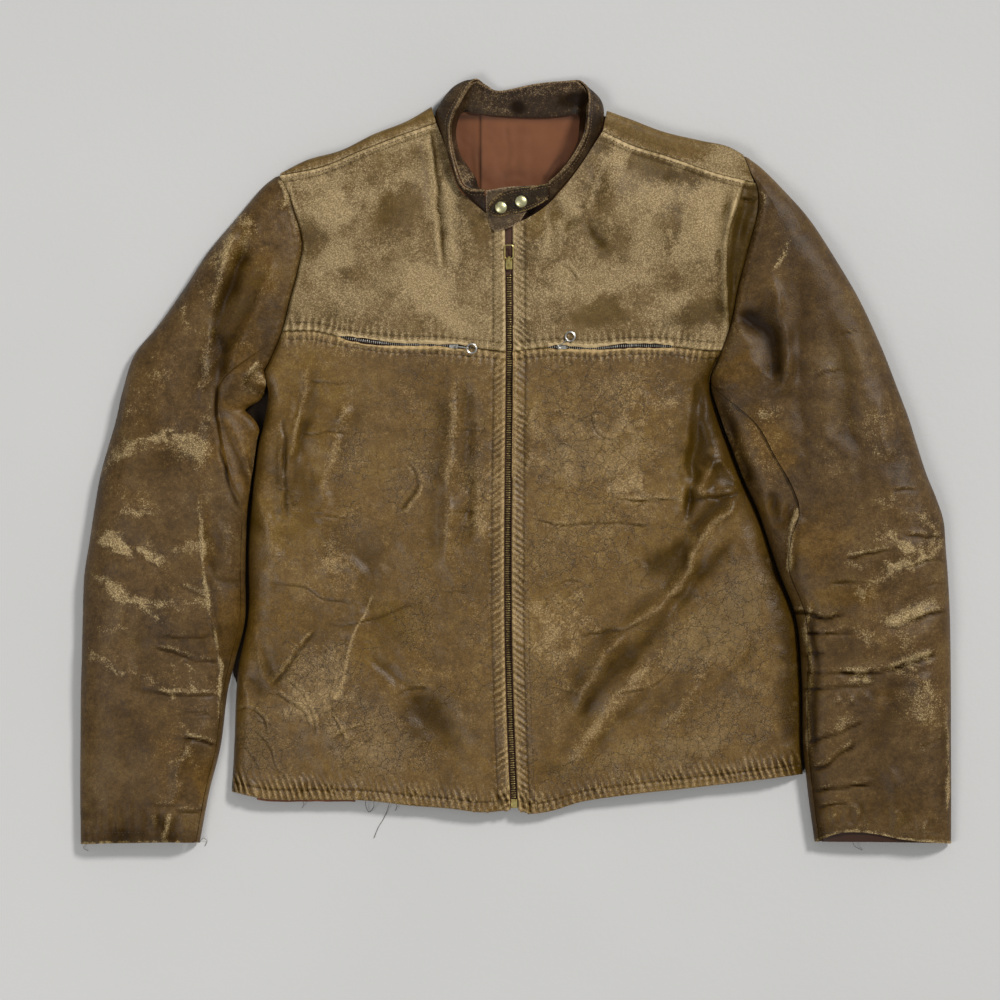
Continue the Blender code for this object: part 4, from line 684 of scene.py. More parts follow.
# Creases and ridges. Height, half width, side of the flank (+1 left of the line, -1 right), paleness
# on what stands up (wear and painted highlight), darkening in what sinks (stain and painted shade),
# and the line.
FRONT_CREASES = (
    (-2, 1.9, -1, 0.8, 1.2, ((-78, 320), (-75, 284), (-71, 250), (-68, 211), (-66, 189), (-68, 171))),
    (1.8, 4, 1, 0.5, 0.4, ((-65, 248), (-60, 222), (-57, 200), (-56, 172))),
    (1, 4, 1, 0.3, 0.3, ((-21, 197), (-15, 183), (-16, 155))),
    (2.4, 5.5, -1, 0.45, 0.55, ((-55, 77), (-58, 32), (-61, -10), (-62, -52), (-63, -91))),
    (-2, 5, 1, 0.1, 0.55, ((-43, 74), (-43, 4), (-45, -52), (-47, -91))),
    (1.6, 6, 1, 0.42, 0.35, ((-147.6, 72.7), (-154.9, 48), (-163.1, 20.6), (-171.4, -6.9), (-175, -34.3),
        (-172.3, -63.5))),
    (1.8, 3.4, 1, 0.6, 0.6, ((-191, 94), (-192, 60), (-201, 24), (-207, -4))),
    (-1.8, 2.4, -1, 0.3, 0.8, ((-211, 46), (-210, 4), (-209, -24), (-209, -57))),
    (-1.3, 1.8, 1, 0.5, 1.1, ((-99, 1), (-91, -10), (-89, -21), (-97, -34), (-110, -49))),
    (-0.6, 1.2, 1, 0.1, 0.6, ((-197, 27), (-183, 25), (-166, 28), (-151, 25))),
    (-0.6, 1.2, 1, 0.1, 0.5, ((-144, -3), (-121, -6), (-104, -3))),
    (-0.5, 1.2, 1, 0.1, 0.5, ((-191, 74), (-166, 71), (-141, 74))),
    (-0.6, 1.2, 1, 0.1, 0.5, ((-54, 28), (-37, 29), (-23, 27))),
    (-0.7, 1.3, 1, 0.1, 0.6, ((-234, -108), (-213, -111), (-194, -114), (-175, -124), (-148, -126),
        (-135, -119))),
    (1.6, 9, 1, 0.3, 0.35, ((-178, -95), (-164, -92), (-148, -97), (-137, -108))),
    (-1.5, 7, -1, 0, 0.5, ((-146, -84), (-137, -95), (-132, -108), (-132, -122), (-137, -138))),
    (-0.6, 1.1, 1, 0.1, 0.7, ((-174, -151), (-154, -148), (-127, -143), (-108, -135), (-78, -126))),
    (-0.5, 1.1, 1, 0.1, 0.5, ((-188, -46), (-162, -50), (-143, -50))),
    (-0.5, 1.1, 1, 0.1, 0.5, ((-100, -122), (-81, -119), (-60, -118), (-41, -119))),
    (-0.5, 1.1, 1, 0.1, 0.5, ((-68, -45), (-49, -46), (-30, -45), (-22, -46))),
    (-1.1, 1.8, 1, 0.55, 0.85, ((-223, -207), (-213, -194), (-202, -180), (-191, -164), (-177, -151))),
    (0.8, 3, 1, 0.3, 0.5, ((-239, -148), (-237, -167), (-231, -189), (-223, -207))),
    (-0.7, 1.4, 1, 0.4, 0.7, ((-222, -207), (-209, -217), (-194, -227), (-186, -245))),
    (-0.6, 1.3, 1, 0.4, 0.6, ((-168, -213), (-167, -231), (-158, -248), (-152, -261))),
    (-0.6, 1.2, 1, 0.3, 0.6, ((-152, -265), (-137, -256), (-125, -246))),
    (-0.6, 1.2, 1, 0.3, 0.6, ((-241, -242), (-229, -253), (-218, -277), (-213, -288))),
    (-1.2, 12, 1, 0.1, 0.45, ((-97, -202), (-78, -223), (-62, -244), (-54, -264))),
    (1.2, 9, 1, 0.15, 0.25, ((-119, -215), (-100, -237), (-78, -258), (-62, -277))),
    (-0.8, 1.5, 1, 0.2, 0.7, ((-113, -215), (-95, -207), (-78, -206))),
    (1.8, 6, -1, 0.18, 0.4, ((-238, -25), (-229, -52), (-222, -79), (-219, -97))),
    (1.3, 5, 1, 0.2, 0.5, ((-250, -191), (-243, -221), (-245, -248), (-245, -269))),
    (-1.4, 6, -1, 0.1, 0.5, ((-132, -178), (-111, -194), (-89, -207))),
    (-0.9, 3, -1, 0.1, 0.35, ((-188, -52), (-166, -60), (-144, -59))),
    (3.4, 4.6, -1, 0.45, 0.8, ((205, -33), (190, -46), (175, -63), (160, -84), (153, -108), (140, -124),
        (120, -138), (101, -153))),
    (2.4, 5, -1, 0.35, 0.7, ((101, -153), (80, -179), (64, -206), (56, -231))),
    (-2.8, 7, -1, 0.1, 0.75, ((200, -68), (179, -92), (164, -105), (148, -132), (125, -155), (101, -174),
        (80, -194), (64, -218), (58, -237))),
    (-1, 12, 1, 0, 0.6, ((115, -95), (131, -89), (147, -83), (160, -72))),
    (2.2, 6, -1, 0.45, 0.6, ((157, -151), (139, -167), (115, -191), (93, -213), (72, -242), (50, -277))),
    (-1.5, 6, -1, 0.2, 0.5, ((136, -202), (115, -218), (93, -237), (77, -258), (69, -280))),
    (1.2, 6, -1, 0.3, 0.3, ((190, -140), (184, -167), (168, -194), (152, -221), (136, -245))),
    (-1, 3, -1, 0.2, 0.4, ((216, -151), (214, -172), (195, -194), (174, -213))),
    (-0.7, 1.3, 1, 0.2, 0.7, ((96, -34), (115, -36), (132, -33), (152, -36))),
    (-0.8, 1.3, 1, 0.2, 0.75, ((9, -50), (39, -57), (66, -56), (93, -55), (117, -58), (136, -55))),
    (-0.9, 1.5, 1, 0.2, 0.8, ((58, -159), (85, -154), (104, -151), (120, -140))),
    (-0.6, 1.2, 1, 0.3, 0.6, ((88, -212), (106, -209), (125, -204), (140, -191), (147, -178))),
    (-0.6, 1.2, 1, 0.2, 0.6, ((10, -203), (39, -207), (58, -211))),
    (-0.6, 1.2, 1, 0.3, 0.6, ((7, -108), (29, -114), (50, -108), (66, -111))),
    (-0.6, 1.2, -1, 0.3, 0.6, ((163, -245), (174, -258), (179, -272))),
    (-0.6, 1.2, -1, 0.3, 0.6, ((219, -237), (216, -253), (210, -269))),
    (-0.6, 1.2, 1, 0.3, 0.6, ((69, 51), (72, 30), (88, 19), (104, 17))),
    (-0.6, 1.1, 1, 0.3, 0.5, ((29, 46), (50, 43), (69, 35))),
    (-0.7, 1.2, 1, 0.3, 0.6, ((85, -34), (104, -34), (120, -36), (147, -33))),
    (1, 5, -1, 0.35, 0.2, ((41, 35), (46, 19), (48, -8), (46, -32))),
    (0.9, 4, -1, 0.3, 0.2, ((17, 68), (15, 30), (13, -8))),
    (2.4, 5, 1, 0.3, 0.5, ((182, 5), (174, -9), (163, -30))),
    (2.2, 4, -1, 0.3, 0.5, ((182, 5), (194, -8), (204, -20))),
    (-2, 2.6, 1, 0.3, 0.85, ((161, -36), (179, -33), (195, -30), (206, -27))),
    (-3, 5, -1, 0.1, 0.9, ((167, 68), (166, 38), (163, 9), (160, -21), (157, -50))),
    (-1.5, 3, -1, 0.1, 0.6, ((157, -20), (157, -41), (156, -55))),
    (1, 3, 1, 0.35, 0.35, ((80, 278), (74, 261), (69, 242), (66, 223))),
    (-1.4, 5, 1, 0.3, 0.65, ((66, 223), (72, 207), (80, 194))),
    (1.2, 4, -1, 0.4, 0.4, ((37, 246), (48, 230), (60, 221))),
    (1, 3, 1, 0.4, 0.4, ((26, 234), (30, 210), (26, 186))),
    (-1, 3, 1, 0.3, 0.5, ((41, 207), (53, 218), (62, 220))),
    (-0.6, 1.3, 1, 0.3, 0.5, ((37, 183), (50, 175), (58, 164))),
    (2.4, 3.5, -1, 0.5, 0.75, ((208, 257), (201, 239), (196, 218), (193, 180), (194, 140), (196, 117))),
    (-2.2, 5, 1, 0.1, 0.9, ((214, 239), (204, 215), (200, 180), (199, 145), (200, 127))),
    (-1.2, 2, 1, 0.3, 0.8, ((204, 241), (214, 239), (224, 242))),
    (-1.2, 1.3, 1, 0.4, 0.9, ((204.3, 240.8), (210.7, 239), (218.9, 237.2))),
    (-0.7, 1.3, 1, 0.4, 0.7, ((-255.5, -228), (-242.7, -224.4), (-231.7, -231.7), (-226.2, -248.2))),
    (-0.6, 1.2, 1, 0.4, 0.7, ((-213.4, -195.1), (-197, -207.9), (-186, -228), (-180.5, -251.8))),
    (-0.6, 1.2, 1, 0.4, 0.6, ((-169.5, -255.5), (-153.1, -244.5), (-136.6, -239), (-120.2, -231.7))),
    (-0.6, 1.2, 1, 0.3, 0.6, ((-250, -257.3), (-237.2, -271.9), (-231.7, -288.4))),
)
# The edge of the fold beside the left armhole: past it the yoke turns down into a valley, unrubbed and
# darkened with painted shade.
FOLD_EDGE = (
    (208.8, 258.2), (201.5, 234.4), (193.3, 209.8), (191.5, 182.3), (192.4, 144.9), (193.3, 116.5),
    (188.7, 100.1),
)
SCRATCHES = (
    (-131, -122), (-137, -138), (-145, -151), (-151, -168), (-155, -189), (-160, -207), (-165, -215),
)
# Larger stains and rubbed places, painted shade in hollows and painted highlight on bulges: centre,
# half sizes, turn in degrees, then what each adds to wear and highlight, stain and shade, crackle,
# and gold and highlight.
FRONT_PATCHES = (
    (-177, 234, 30, 26, 60, 0.3, -0.05, 0, -0.2), (-116, 248, 34, 20, 30, 0.22, 0, 0, 0),
    (-188, 203, 16, 24, 20, -0.3, 0.42, 0, -0.2), (-121, 228, 22, 12, 70, -0.15, 0.32, 0, 0.3),
    (-104, 200, 16, 10, 60, 0.1, 0.25, 0, 0.2), (-88, 161, 36, 16, -55, 0.38, 0, 0, 0),
    (-62, 150, 30, 14, -60, 0.32, 0, 0, 0), (-166, 186, 26, 14, 30, 0.26, 0, 0, 0),
    (-183, 138, 30, 14, 0, 0.05, 0.3, 0, -0.1), (-138, 155, 30, 14, 10, 0.12, 0.12, 0, 0),
    (-29, 144, 30, 16, 80, 0.2, 0.05, 0, 0), (-62, 236, 22, 9, 80, 0.45, 0, 0, 0),
    (-90, 276, 20, 12, 30, -0.1, 0.3, 0, 0.1), (-99, 295, 40, 7, 22, 0.35, 0.1, 0, 0.3),
    (125, 271, 22, 13, -10, -0.3, 0.5, 0, -0.3), (157, 261, 20, 10, 10, -0.2, 0.45, 0, -0.3),
    (120, 228, 34, 22, 50, 0.28, 0, 0, -0.1), (141, 218, 24, 16, 30, -0.1, 0.32, 0, -0.2),
    (174, 223, 32, 26, 70, 0.42, 0, 0, -0.1), (163, 196, 30, 22, 60, 0.34, 0, 0, -0.1),
    (93, 202, 22, 20, 50, -0.2, 0.36, 0, -0.3), (152, 169, 26, 14, 30, -0.1, 0.34, 0, -0.2),
    (109, 180, 40, 18, 30, 0.26, 0, 0, 0), (136, 140, 30, 14, 20, 0.24, 0, 0, 0),
    (160, 132, 36, 12, 0, -0.1, 0.3, 0, -0.2), (77, 135, 34, 14, 10, -0.2, 0.34, 0, 0),
    (31, 196, 24, 16, 60, 0.2, 0, 0, 0.1), (31, 159, 26, 20, 40, 0.26, 0, 0, 0),
    (93, 279, 24, 10, 60, 0.36, 0, 0, 0), (77, 207, 16, 20, 0, -0.1, 0.16, 0, -0.1),
    (-188, 46, 40, 60, 0, 0, 0.1, -0.1, 0.5), (-152, 7, 34, 14, 60, 0.22, -0.1, 0.25, -0.2),
    (-99, -18, 30, 22, 60, 0.1, 0, 0.3, -0.3), (-71, 46, 60, 50, 80, 0.05, 0.08, 0.1, -0.1),
    (-205, -38, 30, 60, 0, 0, 0.1, 0, 0.5), (-162, -105, 30, 18, 0, 0.1, -0.05, 0, 0.2),
    (-159, -65, 16, 30, -15, 0.22, -0.1, 0.2, 0), (-218, -151, 46, 40, 0, -0.05, 0.14, 0, 0.5),
    (-223, -191, 22, 22, 0, 0, 0.34, 0, 0.4), (-180, -199, 34, 40, 20, 0.28, -0.05, 0.45, -0.5),
    (-148, -237, 60, 30, -20, 0.14, 0, 0.4, -0.4), (-223, -258, 40, 34, 0, 0.05, 0.08, 0.3, -0.4),
    (-108, -269, 60, 20, 0, 0.12, 0, 0.4, -0.1), (-76, -231, 40, 24, 50, -0.1, 0.35, 0.1, 0.3),
    (-87, -151, 60, 18, 85, 0.16, 0, 0.3, 0.1), (-41, -87, 18, 80, 0, 0.1, 0.05, 0.2, 0),
    (-121, -167, 40, 40, 0, -0.05, 0.14, 0.1, 0.4), (66, 38, 60, 60, 0, 0.14, -0.05, 0.35, 0),
    (115, 9, 50, 26, 60, 0.16, 0, 0.3, 0), (66, -20, 60, 60, 0, 0.1, -0.05, 0.3, 0),
    (50, -92, 60, 40, 20, 0.08, 0, 0.3, 0.1), (26, -183, 26, 60, 0, 0.14, 0, 0.2, 0.1),
    (131, -92, 30, 14, 30, -0.1, 0.42, 0, 0.1), (160, -164, 40, 24, 40, 0.12, 0, 0.6, -0.2),
    (206, -114, 34, 26, 40, 0, 0.1, 0.5, -0.2), (190, -146, 40, 26, 50, 0, 0.05, 0.45, 0),
    (211, -172, 26, 40, 10, 0, 0.05, 0.4, 0.3), (174, -237, 70, 34, 20, 0.05, 0, 0.4, 0),
    (98, -183, 30, 14, 45, -0.1, 0.3, 0, 0.3), (174, -97, 26, 10, 50, -0.1, 0.35, 0, 0.3),
    (157, -49, 14, 22, -60, -0.1, 0.3, 0, 0), (171, 30, 14, 40, -8, -0.3, 0.6, -0.2, -0.2),
    (241, -140, 9, 60, 12, -0.2, 0.45, 0.2, 0), (247, -221, 10, 50, 4, -0.2, 0.55, 0.2, -0.2),
    (39, -282, 26, 10, -10, -0.1, 0.4, 0.1, 0.1), (115, -269, 90, 16, 12, 0.04, 0.05, 0.4, 0),
    (-169.5, 229, 26, 16, 30, 0.22, 0, 0, 0), (-105.6, 229, 24, 16, 60, -0.3, 0.34, 0, 0),
    (-103.7, 183.3, 20, 12, 40, -0.12, 0.14, 0, 0), (113.8, 201.5, 22, 14, 20, 0.2, -0.05, 0, 0),
    (170.5, 137.6, 26, 16, 30, -0.3, 0.36, 0, 0), (79.1, 137.6, 28, 14, 10, -0.22, 0.28, 0, 0),
    (-103.7, -145.8, 30, 22, 30, -0.2, 0.3, 0, 0.3), (-195.1, -34.3, 18, 34, 10, -0.2, 0.26, 0, 0.4),
    (-213.4, -6.9, 8, 50, 4, -0.1, 0.3, 0, 0.3), (-32.4, -34.3, 16, 40, 0, 0.2, -0.1, 0.1, 0),
    (-32.4, -148.5, 16, 40, 0, 0.16, -0.1, 0.1, 0), (113.8, 57.1, 40, 30, 20, 0.2, -0.1, 0.1, 0),
    (113.8, -34.3, 40, 26, 0, 0.22, -0.12, 0.1, 0), (42.5, -148.5, 34, 34, 0, 0.26, -0.12, 0.1, 0),
    (161.3, 20.6, 16, 40, -10, -0.2, 0.55, 0, 0.3), (190.6, -145.8, 30, 24, 50, -0.1, 0.16, 0, 0),
    (24.2, 218, 12, 24, -50, -0.3, 0.16, 0, 0.9), (209.8, 210.7, 9, 34, -10, -0.55, 0.4, 0, 0.3),
    (200.6, 148.5, 7, 34, 2, -0.55, 0.45, 0, 0.3), (-198.8, 11.4, 18, 60, 0, -0.1, 0.22, 0, 0.3),
    (-76.3, -244.5, 50, 24, -40, -0.05, 0.16, -0.2, 0), (-231.7, -235.4, 18, 44, 0, -0.05, 0.18, 0.1, -0.1),
    (186.9, -17.8, 18, 18, 0, -0.05, 0.14, 0, 0.4), (174.1, 9.6, 10, 28, 16, -0.1, 0.3, -0.2, 0),
    (-197, -38.8, 20, 30, 0, -0.05, 0.14, 0, 0.2), (-103.7, -145.8, 30, 22, 30, -0.1, 0.16, 0, 0.2),
    (-32.4, 214.3, 10, 16, 30, -0.35, 0.3, 0, 0.4), (40.7, -148.5, 30, 30, 0, 0.12, -0.05, 0, 0),
    (-105.6, 52.6, 30, 24, 0, 0.1, -0.06, 0, 0),
)
# Seam stitching: how far the rows lie from the seam's edge, and the puckers that it pulls.
CHEST_ROW, FRONT_ROW, HEM_ROW, SHOULDER_ROW = 7.6, 11.0, 9.2, 6.6
PUCKER_PITCH = 6.1
FRONT_COLUMNS, NECK_LINES, YOKE_LINES, FRONT_LINES = 196, 50, 120, 310  # grid lines of the fronts
FOLD_GAIN = 1.5  # how much deeper than in their table the creases are cut


def fold_height(x, y):
    """What the broad folds add at a place."""
    total = np.zeros(np.shape(x))
    for x0, y0, x1, y1, height, width in FOLDS:
        run = np.array([x1 - x0, y1 - y0], float)
        t = ((x - x0) * run[0] + (y - y0) * run[1]) / (run @ run)
        off = ((x - x0) * run[1] - (y - y0) * run[0]) / math.hypot(*run)
        total += height * ease(4 * t * (1 - t)) * (t > 0) * (t < 1) * bell(off, width)
    return total


def body_height(side, x, y):
    """Outer face of the front at a place: it rolls down to its side edge, or to the armhole."""
    edge_z, reach, crown = (body_column(side, y, column) for column in ("edge_z", "roll", "crown"))
    (x0, y0), (x1, y1) = SHOULDER[side][0], SHOULDER[side][-1]
    drop = np.abs((x - x0) * (y1 - y0) - (y - y0) * (x1 - x0)) / math.hypot(x1 - x0, y1 - y0)
    crown = np.minimum(crown, SHOULDER_Z + (crown - SHOULDER_Z) * ease(drop / SHOULDER_SLOPE))
    inward = np.maximum((body_side(side, y) - x) * side, 0)
    folds = fold_height(x, y) * ease(inward / FOLD_MARGIN)
    return edge_z + (crown - edge_z) * roll(inward / reach) + folds


def zip_x(y):
    """The zip's middle at this height."""
    return smooth(y, *np.asarray(ZIP_LINE, float).T)


def creased(table, x, y, seed):
    """Relief and marks from a table of creases, each uneven along its line and across it: paler on what
    stands up, as wear and painted highlight, and darker in what sinks, as painted shade.
    """
    relief, wear_and_highlight, stain_and_shade = (np.zeros(x.shape) for _ in range(3))
    for number, (height, half, flank_side, pale, dark, points) in enumerate(table):
        line, length = fine_line(points)
        off, run = offsets(line, x, y, 6 * half + 4)
        near = np.abs(off) < 900
        if not near.any():
            continue
        o, r = off[near], run[near]
        o = o + 0.5 * half * noise(r, o, 7 + 2 * half, seed + number) + 0.5 * noise(x[near], y[near], 5, seed)
        ends = ease(np.minimum(r, length - r) / (0.16 * length + 2) + 0.25 * (half > 4))
        ends *= np.abs(off[near]) < 6 * half + 3
        ends = ends * (0.78 + 0.36 * noise(r, 0 * r, 15, seed + 50 + number))
        core = bell(o, half) * ends
        flank = bell(o - flank_side * 2.1 * half, 1.3 * half) * ends
        relief[near] += height * core - 0.42 * height * flank
        thin = 1.35 * bell(o, 0.68 * half) * ends if half < 2.7 else core
        up, down = (core, flank) if height > 0 else (flank, thin)
        # Pale on the raised part, as wear and painted highlight; painted shade in the sunk part.
        wear_and_highlight[near] += pale * up
        stain_and_shade[near] += dark * down
    return relief, wear_and_highlight, stain_and_shade


def patched(table, x, y, seed):
    """What the soft-edged patches add to wear and highlight, stain and shade, crackle, and gold and
    highlight.
    """
    totals = [np.zeros(x.shape) for _ in range(4)]
    ragged = 0.34 * noise(x, y, 11, seed) + 0.22 * noise(x, y, 5, seed + 1)
    for px, py, long, short, turn, *added in table:
        c, s = math.cos(math.radians(turn)), math.sin(math.radians(turn))
        u, v = ((x - px) * c + (y - py) * s) / long, ((y - py) * c - (x - px) * s) / short
        share = ease((1.25 - np.hypot(u, v) + ragged) / 0.8)
        for total, value in zip(totals, added):
            total += value * share
    return totals


def puckers(off, run, reach, seed, pitch=PUCKER_PITCH):
    """Short gathers across a seam, from -1 to 1, dying out with the distance off it."""
    phase = run * 2 * math.pi / pitch + 2.2 * noise(run, 0 * run, 19, seed)
    phase = phase + 1.2 * noise(run, off, 8, seed + 1)
    return np.sin(phase) * (0.72 + 0.4 * noise(run, off, 13, seed + 2)) * bell(off, reach)


def turned_edge(distance, depth=0.9, radius=2.0):
    """How far a turned edge rounds down within its radius."""
    return -depth * (1 - roll(distance / radius))


def line_y(table, side, x):
    """The y of one side's seam or hem at these x."""
    return smooth(x, *np.asarray(table[side][::-side], float).T)


def chest_gap(side, x):
    """Half the gap in the chest seam: a seam's width, and wider where the pocket's lips part."""
    lips = np.asarray(LIPS[side], float).T
    low, high = lips[0][0], lips[0][-1]
    parted = smooth(x, lips[0], lips[1]) + 0.5 * noise(x, 0 * x, 4.5, 61 + side)
    return np.where((x > low) & (x < high), np.maximum(parted, SEAM / 2), SEAM / 2)


def chest_line(side, shares):
    """The chest seam from the body's side to the zip."""
    line = along(CHEST[side], shares)
    line[0, 0] = body_side(side, line[0, 1], 0)
    line[-1, 0] = zip_x(line[-1, 1]) + side * ZIP_HALF_GAP
    return line


def crowded(count, first, last, width=0.05):
    """Shares from 0 to 1 whose steps shrink near the two ends, this many times more for each."""
    t = np.linspace(0, 1, 400)
    dense = 1 + first * bell(t, width) + last * bell(1 - t, width)
    reach = np.concatenate([[0], np.cumsum((dense[1:] + dense[:-1]) / 2)])
    return np.interp(np.linspace(0, 1, count), reach / reach[-1], t)


def pull_in(grid, rows=(0, 0), columns=(0, 0)):
    """Moves a grid's four edges inwards by these widths, and eases the rows and columns next to them."""
    grid = grid.copy()
    for axis, widths in ((0, rows), (1, columns)):
        lines = np.moveaxis(grid, axis, 0)
        for way, width in ((1, widths[0]), (-1, widths[1])):
            width = np.asarray(width, float).reshape(-1, 1)
            if not width.any():
                continue
            ordered = lines[::way]
            step = ordered[4] - ordered[0]
            step = step / np.maximum(np.linalg.norm(step, axis=-1, keepdims=True), 1e-6)
            for number in range(9):
                ordered[number] += step * width * (1 - ease(number / 9))
    return grid


def side_name(side):
    return "right" if side == RIGHT else "left"


def dress_front(side, plan, lower, seed):
    """Height and marks for a plan grid of a yoke or of a lower front."""
    x, y = plan[..., 0], plan[..., 1]
    z = body_height(side, x, y)
    inward = np.maximum((body_side(side, y) - x) * side, 0)
    zip_off = np.abs(x - zip_x(y)) - ZIP_HALF_GAP
    chest_off, chest_run = offsets(fine_line(CHEST[side])[0], x, y, 45)
    chest_far = np.abs(chest_off)
    open_share = ((x > min(POCKET[side])) & (x < max(POCKET[side]))).astype(float)
    wear_and_highlight = np.full(x.shape, 0.0 if lower else 0.36) + (0.10 if lower else 0.2) * noise(x, y, 24, seed)
    wear_and_highlight += 0.10 * noise(x, y, 9, seed + 1)
    stain_and_shade = 0.10 + 0.08 * noise(x, y, 33, seed + 2) + 0.04 * noise(x, y, 12, seed + 3)
    crackle = np.full(x.shape, 0.30 if lower else 0.24) + 0.16 * noise(x, y, 30, seed + 4)
    gold_and_highlight = np.full(x.shape, 0.55 if lower else 0.02) + 0.2 * noise(x, y, 40, seed + 5)

    relief = 1.15 * noise(x, y, 26, seed + 6) + 0.5 * noise(x, y, 11, seed + 7)
    relief += 0.2 * noise(x, y, 5, seed + 8)
    folds, ridge_wear_and_highlight, crease_shade = creased(FRONT_CREASES, x, y, seed + 10)
    margin = ease(np.minimum(inward / 6, zip_off / 6 + 0.15))
    relief += FOLD_GAIN * folds * margin
    wear_and_highlight += 1.15 * ridge_wear_and_highlight
    stain_and_shade += 1.25 * crease_shade
    added = patched(FRONT_PATCHES, x, y, 21)
    wear_and_highlight, stain_and_shade, crackle, gold_and_highlight = wear_and_highlight + added[0], stain_and_shade + added[1], crackle + added[2], gold_and_highlight + added[3]

    # Puckers along the chest seam: crests paler, as wear and painted highlight, and troughs darker, as
    # painted shade.
    pleats = puckers(chest_off, chest_run, 11.0, seed + 20)
    scallop = 1 + 0.6 * noise(chest_run, 2 * chest_off, 3.2, seed + 22)
    relief += 1.1 * pleats * ease(chest_far / 4)
    lips = bell(chest_far - 2.4, 1.8) * (0.5 + 1.4 * scallop * open_share)
    wear_and_highlight += 1.15 * np.maximum(pleats, 0) + lips
    stain_and_shade += 0.7 * np.maximum(-pleats, 0) * (1 - 0.7 * open_share * bell(chest_far - 2.4, 2))
    stain_and_shade += 0.4 * bell(chest_far - CHEST_ROW, 1.1)
    stain_and_shade += 0.9 * (1 - open_share) * bell(chest_far, 1.1)
    if lower:
        wear_and_highlight += 0.3 * bell(chest_far, 11)
        gold_and_highlight -= 0.4 * bell(chest_far, 16)
    relief += -0.5 * bell(chest_far - CHEST_ROW, 1.1)
    lip = 1.1 + 0.8 * noise(chest_run, 0 * chest_run, 5, seed + 23)
    relief += lip * open_share * bell(chest_far - 3.2, 1.6)

    # Gathers beside the zip: pale crests (wear and painted highlight) and painted shade in the troughs.
    gathers = puckers(zip_off - 5, y + 0.7 * side * x, 8, seed + 24, 6.0)
    relief += 1.1 * gathers * ease(zip_off / 2.5)
    relief += 0.9 * bell(zip_off - 2.4, 2.2) - 1.1 * bell(zip_off - FRONT_ROW, 1.4)
    wear_and_highlight += 0.85 * np.maximum(gathers, 0) + 1.2 * bell(zip_off - 0.9, 2.0)
    wear_and_highlight += 0.2 * bell(zip_off - 6, 5)
    stain_and_shade += 0.6 * np.maximum(-gathers, 0) + 0.7 * bell(zip_off - FRONT_ROW, 1.0)
    relief += turned_edge(zip_off, 1.1, 1.8) * (zip_off < 1.8)

    if lower:
        hem_off = y - line_y(HEM, side, x)
        # Gathers above the hem, the same: pale crests and painted shade in the troughs.
        gathers = puckers(hem_off - HEM_ROW, x + 0.35 * hem_off, 12, seed + 30, 5.8)
        relief += 1.5 * gathers * ease((30 - hem_off) / 12) - 0.9 * bell(hem_off - HEM_ROW, 1.1)
        relief += turned_edge(hem_off, 1.4, 2.6)
        wear_and_highlight += 1.0 * np.maximum(gathers, 0) + 0.2 * bell(hem_off - 5, 5)
        wear_and_highlight += 0.4 * bell(hem_off, 1.8)
        stain_and_shade += 0.95 * np.maximum(-gathers, 0) + 0.6 * bell(hem_off - HEM_ROW, 1.0)
        if side == LEFT:
            stain_and_shade += 0.45 * bell(hem_off - HEM_ROW + 4.2, 0.9)
        gold_and_highlight += 0.4 * bell(hem_off, 9)
        # Painted shade along the side edge, where the body turns down beside the sleeve; broad on the left.
        shade, reach = (0.5, 6) if side == RIGHT else (0.95, 17)
        stain_and_shade += shade * bell(inward, reach)
    else:
        # Gathers below the shoulder seam, the same: pale crests and painted shade in the troughs.
        off, run = offsets(fine_line(SHOULDER[side])[0], x, y, 30)
        gathers = puckers(off, run, 7, seed + 32, 7.0)
        relief += 0.5 * gathers * ease(np.abs(off) / 3) + turned_edge(np.abs(off), 0.8, 2.4)
        relief += 0.8 * bell(np.abs(off) - 3.2, 1.8) - 0.5 * bell(np.abs(off) - SHOULDER_ROW, 1.1)
        rubbed = (0.9 if side == RIGHT else 1.6) * bell(np.abs(off) - 1.4, 1.7)
        wear_and_highlight += rubbed + 0.5 * np.maximum(gathers, 0)
        stain_and_shade += 0.4 * np.maximum(-gathers, 0) + 0.5 * bell(np.abs(off) - SHOULDER_ROW, 1.2)
        off, run = offsets(np.column_stack(armhole(side)), x, y, 25)
        relief += turned_edge(np.abs(off), 1.3, 3.2)
        relief += 0.5 * puckers(off, run, 6, seed + 34, 7.5) * ease(np.abs(off) / 3)
        if side == LEFT:
            # Past the fold edge the yoke turns down: painted shade and less wear there, and a paler rim on
            # the edge.
            off, run = offsets(fine_line(FOLD_EDGE)[0], x, y, 40)
            turned = ease(off / 1.6) * (off < 900)
            wear_and_highlight += 0.45 * bell(off + 1.4, 1.5) - 0.7 * turned
            stain_and_shade += 0.7 * turned
            relief += 0.9 * bell(off + 1.6, 1.8) - 0.8 * turned
        wear_and_highlight += 0.35 * bell(np.abs(off) - 3.0, 1.8)
        stain_and_shade += 0.55 * bell(off, 1.5)
    relief *= ease(inward / 5 + 0.1)
    if lower and side == RIGHT:
        off, _ = offsets(fine_line(SCRATCHES)[0], x, y, 6)
        wear_and_highlight += 1.2 * bell(off, 1.1)
    marks = {"wear_and_highlight": wear_and_highlight, "stain_and_shade": np.clip(stain_and_shade, 0, 1.2), "crackle": crackle, "gold_and_highlight": np.clip(gold_and_highlight, 0, 1)}
    return np.dstack([plan, z + relief]), marks


